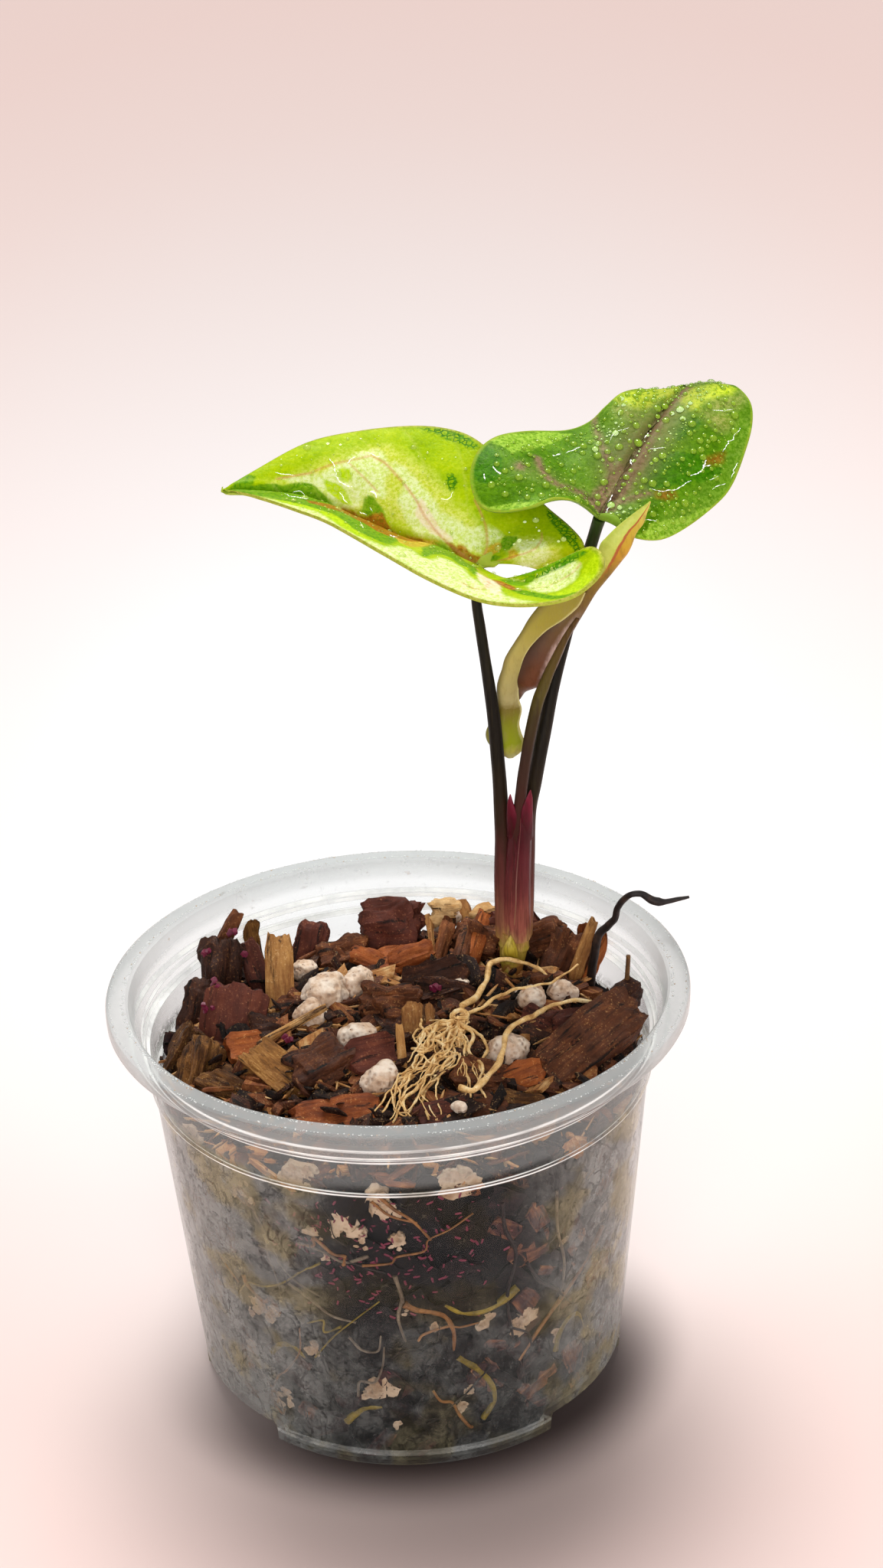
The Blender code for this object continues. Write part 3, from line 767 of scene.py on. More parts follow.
@dataclass(frozen=True)
class ClearPlastic:
    """Milky clear moulded plastic: see-through, hazy in patches, glossy. Its heights are in metres."""
    name: str = "pot"
    body: Color = srgb(158, 160, 156)
    yellowed: Color = srgb(172, 160, 122)
    upper: Color = srgb(188, 193, 192)
    stained: Color = srgb(176, 132, 84)
    least: float = 0.004
    rings: Tuple[float, ...] = (3.4, 70.3, 78.6, 81.2)
    front_x: float = 0.006
    flare: Tuple[float, float] = (0.0712, 0.0735)
    lip: Tuple[float, float] = (0.0840, 0.0862)
    stain_from: Tuple[float, float] = (0.0800, 0.0830)
    stain_to: Tuple[float, float] = (0.0888, 0.0870)

    def build(self) -> bpy.types.Material:
        """Makes the material: alpha grows with haze, height, the ring edges and the angle of view, and the ring edges
        carry painted highlights that glow a little.

        Returns:
            The material.
        """
        made = Shader(self.name)
        place = made.place()
        across, _, height = made.axes(place)
        rise = made.step(height, *self.flare)
        off_front = abs(across - self.front_x)
        sides = made.step(off_front, 0.015, 0.046, 0.0, 0.23)
        level = made.step(height, 0.054, 0.026)
        open_front = made.calc("MAXIMUM", made.step(off_front, 0.014, 0.032), level * 0.5)
        drift = made.cloud(place, 9.0, 6.0, 0.7)
        patches = made.step(drift, 0.46, 0.56, 0.02, 0.27) * open_front
        patches = patches * made.step(made.cells(place, 3.2, "DISTANCE_TO_EDGE"), 0.0, 0.14, 0.5, 1.0)
        crackle = made.step(abs(drift - 0.47), 0.009, 0.003, 0.0, 0.2)
        patches = patches + crackle * open_front
        mist = made.step(made.cloud(place, 1.1, 2.0), 0.66, 0.7, 0.0, 0.12) * made.step(
            made.cloud(place, 12.0, 3.0), 0.4, 0.6)
        streaks = made.cloud(made.stretch(place, (1.0, 1.0, 0.16)), 5.0, 4.0, 0.6)
        smear = open_front * made.step(streaks, 0.5, 0.7, 0.0, 0.1)
        touching = made.step(made.cloud(place, 2.7, 5.0, 0.75), 0.53, 0.59)
        threads = abs(made.cloud(made.stretch(place, (1.0, 1.0, 0.6)), 9.0, 2.0) - 0.5)
        touching = made.calc("MAXIMUM", touching, made.step(threads, 0.012, 0.005))
        low = sides + (patches + smear)
        low = low * (1.0 - rise)
        low = low * (1.0 - touching * 0.85)
        lip = rise * 0.12 + made.step(height, *self.lip, 0.0, 0.27)
        edge = made.facing() ** 3.0 * 0.7
        # Painted highlights: white lines along the moulded ring edges, which raise alpha, whiten the colour and glow a
        # little.
        lines = 0.0
        for ring in self.rings:
            off = abs(height - ring * MM)
            lines = made.calc("MAXIMUM", made.step(off, 0.0006, 0.00022, 0.0, 0.3 if ring < 10 else 1.0), lines)
        lines = lines * made.step(made.cloud(place, 9.0, 3.0), 0.3, 0.6, 0.45, 0.9)
        alpha = self.least
        for part in (low, mist, lip, edge, lines):
            alpha = part + alpha
        stain = made.step(made.cloud(made.stretch(place, (1.0, 1.0, 2.2)), 6.0, 5.0, 0.7), 0.62, 0.72)
        stain = stain * (made.step(height, *self.stain_from) * made.step(height, *self.stain_to))
        body = made.blend(made.step(made.cloud(place, 13.0, 3.0), 0.5, 0.6, 0.0, 0.8), self.body, self.yellowed)
        color = made.blend(rise, body, self.upper)
        color = made.blend(lines, color, (1.0, 1.0, 0.98))
        color = made.blend(stain * 0.75, color, self.stained)
        alpha = made.calc("ADD", alpha, stain * 0.28, True)
        wave = made.cloud(made.stretch(place, (1.0, 1.0, 0.35)), 3.0, 3.0, 0.5)
        # The Emission is the ring lines' painted highlight.
        return made.dress(Base_Color=color, Roughness=0.14, IOR=1.49, Specular_IOR_Level=0.22, Alpha=alpha,
                          Emission_Color=(1.0, 1.0, 0.97), Emission_Strength=lines * 0.35,
                          Normal=made.relief(wave, 0.035))


@dataclass(frozen=True)
class Water:
    """Beads of water: painted shade above and painted light below where light gathers, with a rim and a painted glint
    that glows.
    """
    name: str
    dark: Color
    bright: Color
    least: float
    rim: float = 0.4
    # An even glow over the whole bead, a painted highlight.
    shine: float = 0.0
    glint: Point = (-0.12, -0.42, 0.9)

    def build(self) -> bpy.types.Material:
        """Makes the material.

        Returns:
            The material.
        """
        made = Shader(self.name)
        normal = made.read("Normal", "NewGeometry")
        low = made.axes(normal)[1]
        # Painted light and shade: darker where the normal points backwards, brighter where it points forwards, towards
        # -Y.
        color = made.blend(made.step(low, 0.35, -0.75), self.dark, self.bright)
        # Painted highlight: a white glint, made to glow with Emission, where the normal points along the glint
        # direction.
        painted_glint = made.read("Value", "VectorMath", {0: normal, 1: self.glint}, operation="DOT_PRODUCT")
        painted_glint = made.step(painted_glint, 0.984, 0.996)
        edge = made.facing() ** 2.0
        alpha = edge * self.rim + self.least
        return made.dress(Base_Color=color, Roughness=0.05, IOR=1.33, Specular_IOR_Level=0.5,
                          Alpha=made.calc("ADD", alpha, painted_glint, True), Emission_Color=made.blend(painted_glint, color, WHITE),
                          Emission_Strength=painted_glint * 0.4 + self.shine)


# Pot


@dataclass
class NurseryPot:
    """The clear pot: flared lip, two moulded rings, a raised base corner between three feet."""
    rim_r: float = 60.0
    height: float = 89.0
    wall: float = 0.9
    floor: float = 1.2
    base_r: float = 44.8
    ring_low: Tuple[float, float] = (51.4, 69.9)
    ring_high: Tuple[float, float] = (53.2, 78.9)
    ring_step: float = 0.7
    lip_inner_r: float = 55.9
    lip_h: float = 3.2
    arch_h: float = 4.9
    arch_depth: float = 9.0
    arch_width: float = 32.0
    arch_block: float = 30.0
    arch_round: float = 1.1
    arch_angles: Tuple[float, ...] = (90.0, 210.0, 330.0)
    drain_r: float = 3.0
    drain_ring: float = 24.0
    drains: int = 6
    steps: int = 240
    grit_count: int = 1500

    def inside(self, inset: float) -> List[Tuple[float, float]]:
        """The wall's profile moved inwards, from the floor to the upper ring."""
        (low_r, low_z), (high_r, high_z), step = self.ring_low, self.ring_high, self.ring_step
        return [(self.base_r - inset, self.floor), (low_r - inset, low_z), (low_r + step - inset, low_z + step),
                (high_r - step - inset, high_z - step), (high_r - inset, high_z)]

    def wall_r(self, heights: np.ndarray, inset: float) -> np.ndarray:
        """The wall's radius less an inset, in metres, at heights in metres."""
        rows = self.inside(inset)
        return np.interp(heights, [z * MM for _, z in rows], [r * MM for r, _ in rows])

    def reach(self, height: float, inset: float = 0.0) -> float:
        """The wall's radius less an inset at one height, all in millimetres."""
        return float(self.wall_r(np.array([height * MM]), inset)[0]) / MM

    def turned(self, name: str, profile: Sequence[Tuple[float, float]]) -> bpy.types.Object:
        """Extrudes a profile of (radius, height) from the axis point by point and spins it shut.

        Args:
            name: the object's name.
            profile: its corners in millimetres, from the foot up.

        Returns:
            A mesh object.
        """
        deselect()
        bpy.ops.mesh.primitive_plane_add(size=0.01)
        obj = added(name)
        places = vectors([(radius, 0.0, z) for radius, z in profile])
        with editing():
            bpy.ops.mesh.merge(type="CENTER")
            bpy.ops.transform.translate(value=places[0])
            for here, there in zip(places, places[1:]):
                bpy.ops.mesh.extrude_region_move(TRANSFORM_OT_translate={"value": there - here})
            bpy.ops.mesh.select_all(action="SELECT")
            bpy.ops.mesh.spin(steps=self.steps, angle=FULL_TURN, center=(0, 0, 0), axis=(0, 0, 1))
        return tidy_mesh(obj)

    def arches(self, grow: float) -> List[bpy.types.Object]:
        """Cutters that raise the base corner, with rounded upper edges.

        Args:
            grow: how far they reach past the base corner's own hollow, in millimetres.

        Returns:
            One cutter for each gap between the feet.
        """
        made = []
        for angle in self.arch_angles:
            turn = math.radians(angle)
            middle = (self.base_r - self.arch_depth + self.arch_block / 2) * MM
            deselect()
            bpy.ops.mesh.primitive_cube_add(size=1.0, location=polar(middle, turn, 0), rotation=(0, 0, turn))
            box = added("arch_%d_%d" % (angle, grow * 100))
            box.scale = Vector((self.arch_block + 2 * grow, self.arch_width + 2 * grow, 2 * (self.arch_h + grow))) * MM
            bpy.ops.object.transform_apply(location=True, rotation=True, scale=True)
            box.modifiers.new("Round", "BEVEL").width = self.arch_round * MM
            box.modifiers["Round"].segments = 4
            made.append(apply_all(box))
        return made

    def cut(self, obj: bpy.types.Object, tools: Sequence[bpy.types.Object]) -> bpy.types.Object:
        """Subtracts closed tools and deletes them.

        Args:
            obj: what is cut.
            tools: what is taken away from it.

        Returns:
            The same object.
        """
        for tool in tools:
            modifier = obj.modifiers.new("Cut", "BOOLEAN")
            modifier.operation, modifier.object, modifier.solver = "DIFFERENCE", tool, "MANIFOLD"
            apply_all(obj)
            bpy.data.objects.remove(tool)
        return obj

    def build_shell(self) -> bpy.types.Object:
        """The thin moulded wall, as one closed surface.

        Returns:
            A mesh object.
        """
        (low_r, low_z), (high_r, high_z), step, lip = self.ring_low, self.ring_high, self.ring_step, self.lip_h
        under = self.height - lip
        outside = [(0, 0), (self.base_r - 1.2, 0), (self.base_r - 0.5, 0.25), (self.base_r, 0.9),
                   (self.base_r + 0.3, self.arch_h), (low_r, low_z - 0.2), (low_r + 0.12, low_z + 0.15),
                   (low_r + step, low_z + step), (low_r + step + 0.1, low_z + step + 0.4),
                   (high_r - step, high_z - step), (high_r, high_z), (high_r + 0.3, high_z + 0.35),
                   (self.rim_r - 0.9, under - 0.75), (self.rim_r - 0.25, under - 0.3), (self.rim_r, under + 0.2),
                   (self.rim_r, self.height - 0.8), (self.rim_r - 0.2, self.height - 0.3),
                   (self.rim_r - 0.7, self.height), (0, self.height)]
        inside = [(0, self.floor)] + self.inside(self.wall)
        inside += [(self.lip_inner_r - 1.2, self.height - 3.0), (self.lip_inner_r - 0.5, self.height - 0.5),
                   (self.lip_inner_r, self.height - 0.05), (self.lip_inner_r + 0.2, self.height + 3.0),
                   (0, self.height + 3.0)]
        shell = self.cut(self.turned("pot_shell", outside), self.arches(0.0))
        cavity = self.cut(self.turned("pot_cavity", inside), self.arches(self.wall))
        holes = []
        for index in range(self.drains):
            turn = FULL_TURN * (index + 0.5) / self.drains
            deselect()
            bpy.ops.mesh.primitive_cylinder_add(
                vertices=48, radius=self.drain_r * MM, depth=6 * MM,
                location=(self.drain_ring * math.cos(turn) * MM, self.drain_ring * math.sin(turn) * MM,
                          self.floor * MM / 2))
            holes.append(apply_all(added("drain_%d" % index)))
        self.cut(shell, [cavity] + holes)
        return smooth(shell, 30.0)

    def build_grit(self) -> bpy.types.Object:
        """Fine pale grit and beads of water along the top of the rim.

        Returns:
            A mesh object.
        """
        rng = random.Random(5)
        deselect()
        bpy.ops.mesh.primitive_ico_sphere_add(subdivisions=1, radius=0.5)
        bead = added("bead")
        shards = []
        for _ in range(self.grit_count):
            turn = rng.uniform(0, FULL_TURN)
            reach = rng.choice((rng.uniform(58.9, 59.5), rng.uniform(56.1, 56.7), rng.uniform(56.1, 56.9)))
            size = rng.uniform(0.16, 0.38) * (1.4 if rng.random() < 0.05 else 1.0)
            shards.append(Shard(polar(reach, turn, self.height + 0.02),
                                (size, size * rng.uniform(0.8, 1.3), size * 0.6), (0, 0, rng.uniform(0, 360)),
                                rng.random()))
        grit = scatter("rim_grit", [bead], shards)
        drop_models([bead])
        return smooth(grit)

    def build(self) -> None:
        """Builds, dresses and hands over the pot."""
        hand_over(self.build_shell(), ClearPlastic().build(), "pot", "pot")
        made = Shader("rim_grit")
        tone = made.ramp(made.attribute("tone"), [(0.0, srgb(206, 210, 208)), (0.86, srgb(238, 240, 238)),
                                                   (0.97, srgb(176, 140, 96))])
        hand_over(self.build_grit(), made.dress(Base_Color=tone, Roughness=0.22, Alpha=0.75), "pot")


# Potting mix


class Kind(Enum):
    """Sorts of lump in the mix, by their finish."""
    DARK = "bark_dark"
    MAROON = "bark_maroon"
    BROWN = "bark_brown"
    ORANGE = "bark_orange"
    TAN = "wood_tan"
    FIBRE = "bark_fibre"


BLACK = (0.006, 0.003, 0.0025)
BARKS = {
    Kind.DARK: BarkFinish("bark_dark", ((0.0, srgb(12, 6, 4)), (0.4, srgb(66, 36, 24)), (0.7, srgb(108, 62, 38)),
                                        (1.0, srgb(180, 124, 76))), 0.8, 0.6, 0.6),
    Kind.MAROON: BarkFinish("bark_maroon", ((0.0, srgb(36, 16, 12)), (0.4, srgb(94, 46, 34)),
                                            (0.7, srgb(130, 70, 48)), (1.0, srgb(186, 122, 86))), 1.6, 0.35, 0.3),
    Kind.BROWN: BarkFinish("bark_brown", ((0.0, srgb(24, 12, 6)), (0.35, srgb(92, 50, 28)), (0.65, srgb(146, 86, 48)),
                                          (1.0, srgb(212, 156, 98))), 0.9, 0.55, 0.4),
    Kind.ORANGE: BarkFinish("bark_orange", ((0.0, srgb(48, 22, 10)), (0.35, srgb(124, 60, 26)),
                                            (0.65, srgb(176, 96, 44)), (1.0, srgb(222, 160, 98))), 1.0, 0.4, 0.3),
    Kind.TAN: BarkFinish("wood_tan", ((0.0, srgb(66, 38, 18)), (0.35, srgb(142, 92, 48)),
                                      (0.62, srgb(190, 138, 78)), (1.0, srgb(230, 192, 138))), 0.7, 0.5, 0.2),
    Kind.FIBRE: BarkFinish("bark_fibre", ((0.0, srgb(18, 10, 6)), (0.35, srgb(88, 54, 26)), (0.62, srgb(152, 102, 50)),
                                          (1.0, srgb(220, 172, 100))), 0.5, 0.7, 0.4),
}


@dataclass(frozen=True)
class Lump:
    """One lump of bark or wood that the photograph shows: a node's name, or a new one, and its form."""
    name: str
    kind: Kind
    center: Point
    size: Point
    turn: Point
    curl: float = 0.0
    rag: float = 1.0
    tone: float = 0.5
    node: bool = False


LUMPS = [
    Lump("wood_splinter", Kind.TAN, (-25.5, 18, 76), (6.2, 2.6, 27), (-38, 3, 4), 0.0, 0.5, 0.5, True),
    Lump("bark_disc", Kind.MAROON, (-35.2, 8, 76.4), (13.5, 3, 14.5), (-32, 8, -8), 0.5, 0.5, 0.42, True),
    Lump("bark_dark_left", Kind.DARK, (-38, 24, 75.5), (10, 6, 20), (-24, 14, 22), 0.4, 1.9, 0.34, True),
    Lump("bark_block", Kind.BROWN, (-1.5, 10.5, 76.6), (11, 9, 9.5), (-14, 10, 12), 0.0, 1.6, 0.4, True),
    Lump("bark_back", Kind.MAROON, (-2, 41, 79), (12.5, 8, 11.5), (-24, -12, -14), 0.2, 1.7, 0.36, True),
    Lump("bark_orange", Kind.ORANGE, (2, 32, 74.6), (13, 8, 5), (18, 8, 16), 0.6, 0.8, 0.5, True),
    Lump("bark_front", Kind.ORANGE, (-12.5, -29.5, 73.6), (16.5, 10, 4.6), (24, -2, 6), 0.3, 0.6, 0.42, True),
    Lump("bark_tan_front", Kind.FIBRE, (-24.5, -13.5, 74.4), (16, 7, 5.5), (12, 22, -38), 0.2, 1.9, 0.62, True),
    Lump("bark_slab", Kind.BROWN, (38, -7.9, 77.3), (27, 10.5, 6), (26, -12, 42), 0.3, 1.0, 0.34, True),
    Lump("bark_right_back", Kind.BROWN, (36, 30, 75.5), (10, 4, 12), (-24, 14, -26), 0.5, 2.0, 0.34, True),
    Lump("chip_left_stand_1", Kind.BROWN, (-39.5, 32, 79.5), (3, 2, 19), (-14, 34, 10), 0.2, 1.0, 0.42),
    Lump("chip_left_stand_2", Kind.FIBRE, (-33, 41, 77), (4, 3, 13), (-24, -22, 0), 0.3, 1.6, 0.6),
    Lump("chip_left_stand_3", Kind.DARK, (-43.5, 17, 73.5), (6, 4, 13), (-14, 30, 40), 0.4, 1.9, 0.4),
    Lump("chip_behind_wood_1", Kind.MAROON, (-31, 30, 76), (5, 3, 13), (-30, -12, 14), 0.2, 1.0, 0.3),
    Lump("chip_behind_wood_2", Kind.MAROON, (-20, 40, 75.5), (6.5, 3, 12), (-34, 12, -12), 0.3, 1.0, 0.42),
    Lump("chip_green_brown", Kind.BROWN, (-12.5, 36, 75.5), (10, 7, 5.5), (22, -6, 12), 0.5, 1.0, 0.42),
    Lump("chip_amber_1", Kind.ORANGE, (-6.2, 31.5, 76.2), (8.5, 4.5, 5), (30, 14, -20), 0.6, 1.0, 0.5),
    Lump("chip_amber_2", Kind.ORANGE, (2.5, 30.5, 77.4), (10, 4.5, 5), (34, -14, 12), 0.6, 1.0, 0.52),
    Lump("chip_curled", Kind.DARK, (7.5, 17.0, 78.0), (14, 8, 3.5), (30, -12, 8), 1.6, 1.8, 0.4),
    Lump("chip_curled_under", Kind.DARK, (8.5, 14.0, 76.6), (12, 7, 3), (44, 6, -10), 1.4, 1.8, 0.36),
    Lump("wood_tan_2", Kind.TAN, (3.8, 1.5, 77.0), (7, 2.6, 10), (-36, 8, 10), 0.0, 1.4, 0.42),
    Lump("wood_gold_upright", Kind.TAN, (0.4, -12.0, 77.0), (1.8, 1.4, 15), (-40, -4, 0), 0.0, 0.8, 0.62),
    Lump("chip_orange_oval", Kind.ORANGE, (-32.0, -2.0, 75.4), (8.5, 6.5, 3.5), (34, 10, 30), 0.7, 0.5, 0.5),
    Lump("block_rough", Kind.DARK, (-16.0, -12.5, 75.6), (11, 9, 9), (10, -12, 30), 0.0, 1.5, 0.55),
    Lump("chip_leafy", Kind.MAROON, (-5.5, -11.0, 78.0), (10.5, 8, 1.6), (38, 6, 30), 0.9, 0.7, 0.45),
    Lump("fibre_left_1", Kind.FIBRE, (-41.5, -8.5, 72.5), (8, 6, 14), (-28, 28, 20), 0.6, 2.0, 0.45),
    Lump("fibre_left_2", Kind.FIBRE, (-35.0, -15.0, 71.8), (10, 6, 9), (-20, 10, -30), 0.6, 2.0, 0.4),
    Lump("fibre_left_3", Kind.FIBRE, (-45.5, 2.0, 71.5), (6, 6, 12), (-12, 32, 0), 0.6, 2.0, 0.35),
    Lump("chip_slab_end", Kind.DARK, (47.2, 6.6, 79.4), (6.5, 4.2, 6.5), (10, -12, 42), 0.0, 0.9, 0.3),
    Lump("chip_maroon_right", Kind.MAROON, (36.5, 2.5, 74.2), (12, 6, 9), (-22, 14, 34), 0.4, 0.8, 0.34),
    Lump("chip_right_upright", Kind.ORANGE, (42.6, 33.0, 76.4), (6, 3.4, 14), (-24, 12, -26), 0.4, 1.0, 0.44),
    Lump("chip_brown_mid", Kind.BROWN, (15.5, -16.5, 75.2), (9, 6, 5), (26, 8, -12), 0.4, 1.0, 0.45),
    Lump("chip_gold_mid", Kind.ORANGE, (24.0, -17.5, 74.6), (10, 6, 4), (24, -8, 16), 0.4, 1.1, 0.52),
    Lump("chip_moss", Kind.FIBRE, (24.5, -26.5, 73.6), (11, 6, 4), (22, 6, -6), 0.2, 1.8, 0.4),
    Lump("chip_front_dark_1", Kind.MAROON, (8.5, -30.5, 74.0), (11, 7, 4.5), (22, 6, 14), 0.5, 0.9, 0.3),
    Lump("chip_front_dark_2", Kind.BROWN, (17.4, -28.8, 73.8), (8, 7, 4.5), (20, -8, -14), 0.5, 1.0, 0.35),
    Lump("chip_behind_stem_1", Kind.BROWN, (17.5, 37, 77.6), (9, 6, 8), (-20, 30, 14), 0.4, 1.6, 0.4),
    Lump("chip_behind_stem_2", Kind.BROWN, (31.5, 36, 77.4), (10, 5, 7), (-24, -26, -18), 0.5, 1.6, 0.36),
    Lump("chip_behind_stem_3", Kind.MAROON, (25, 42, 77), (13, 6, 8), (-16, 6, 4), 0.3, 1.6, 0.4),
    Lump("husk_1", Kind.TAN, (10.0, 44.5, 81.0), (6, 3, 6), (-30, 10, 20), 0.9, 2.4, 0.85),
    Lump("husk_2", Kind.TAN, (19.5, 43.5, 80.0), (5.5, 3, 5), (-30, -20, -20), 0.9, 2.4, 0.8),
    Lump("sliver_gold_1", Kind.TAN, (40.0, 27.0, 80.0), (2.6, 1.8, 14), (-20, 22, 0), 0.2, 1.8, 0.5),
    Lump("sliver_gold_2", Kind.ORANGE, (43.0, 26.0, 79.0), (2.4, 1.8, 13), (-16, 30, 0), 0.2, 1.8, 0.6),
    Lump("sliver_gold_3", Kind.TAN, (7.0, 37.0, 79.0), (2.0, 1.4, 15), (-70, 60, 20), 0.2, 1.2, 0.5),
    Lump("sliver_gold_4", Kind.ORANGE, (17.0, 35.0, 79.2), (3.6, 2.0, 15), (-56, 48, 10), 0.2, 1.2, 0.5),
    Lump("sliver_gold_5", Kind.BROWN, (14.0, 29.0, 78.6), (4.0, 2.0, 13), (-60, 52, 10), 0.3, 1.4, 0.45),
    Lump("sliver_gold_6", Kind.TAN, (-22.0, 1.5, 78.5), (1.4, 1.2, 17), (0, 74, 26), 0.0, 1.0, 0.7),
    Lump("chip_maroon_mid", Kind.MAROON, (29.5, 1.0, 75.4), (11, 7, 3), (40, 14, -30), 0.8, 1.2, 0.28),
    Lump("chip_brown_right", Kind.BROWN, (17.5, -17.5, 75.4), (9, 8, 4), (34, 8, -12), 0.3, 1.3, 0.38),
    Lump("sliver_1", Kind.BROWN, (10.5, 41.0, 77.2), (3.2, 2, 15), (-52, 24, 10), 0.2, 1.2, 0.5),
    Lump("sliver_2", Kind.TAN, (15.5, 44.5, 76.8), (2.6, 1.8, 13), (-46, -18, 0), 0.2, 1.2, 0.5),
    Lump("sliver_3", Kind.BROWN, (9.0, 33.0, 77.6), (3.0, 2, 14), (-40, 42, 20), 0.2, 1.2, 0.55),
    Lump("sliver_4", Kind.MAROON, (32.0, 41.5, 76.0), (5.0, 3, 12), (-36, -30, 0), 0.2, 1.2, 0.4),
    Lump("sliver_5", Kind.BROWN, (18.0, 11.0, 75.0), (3.5, 2.4, 14), (-60, 10, 50), 0.2, 1.2, 0.45),
    Lump("sliver_6", Kind.DARK, (29.0, -2.0, 74.6), (10, 5, 4), (20, 10, -34), 0.4, 1.3, 0.4),
    Lump("chip_dark_left_2", Kind.DARK, (-27.0, 5.0, 73.6), (10, 8, 6), (14, 12, 20), 0.3, 1.4, 0.35),
    Lump("chip_dark_mid", Kind.DARK, (-4.0, 3.0, 74.4), (11, 8, 5), (16, -10, -24), 0.4, 1.3, 0.4),
    Lump("chip_mid_brown", Kind.BROWN, (12.0, -6.0, 74.2), (10, 7, 5), (20, 8, 24), 0.4, 1.2, 0.42),
    Lump("chip_right_brown", Kind.BROWN, (31.0, 21.0, 74.8), (9, 5, 6), (-20, 10, 30), 0.4, 1.2, 0.42),
    Lump("chip_left_tan", Kind.TAN, (-19.0, 6.5, 75.0), (9, 4, 3.4), (22, -14, -30), 0.3, 1.2, 0.42),
]
PUMICES = [((-15.8, 16.5, 77.5), 4.6), ((-8.6, 21, 77.6), 3.6), ((-20.6, 28, 76.8), 3.0), ((-8.6, -4.6, 78), 4.0),
           ((-4.2, -19.5, 77), 4.0), ((27.4, 11.4, 77), 3.9), ((34.6, 14.4, 76.8), 2.8), ((22.2, -9, 77), 4.3),
           ((10.5, 46, 78.4), 3.4), ((-18.2, 7.5, 77.2), 3.6), ((11.6, -30.5, 77), 1.5), ((12.8, 17, 77.5), 2.4)]
# Groups of pebbles behind the wall: angle, height, spread and how many pairs
WALL_PUMICES = [(213, 71, 7, 5), (246, 72, 9, 7), (229, 64, 8, 4), (283, 71, 7, 7), (256, 61, 6, 3), (260, 57, 4, 1),
                (266, 67, 7, 3), (229, 34, 8, 6), (262, 20, 8, 6), (249, 58, 3.5, 1), (251, 52, 3.5, 1),
                (233, 12, 6, 3), (300, 33, 6, 3), (312, 48, 4, 2), (283, 14, 5, 2), (266, 10, 4, 1)]
SPECKS = [(-38, 12, 83), (-41, 24, 84), (-33, 26, 83), (-23, -4, 78), (8, 14, 79), (-40, 8, 80), (-36, 30, 85)]
TONES = (0.02, 0.1, 0.16, 0.24, 0.34, 0.45, 0.6, 0.8)


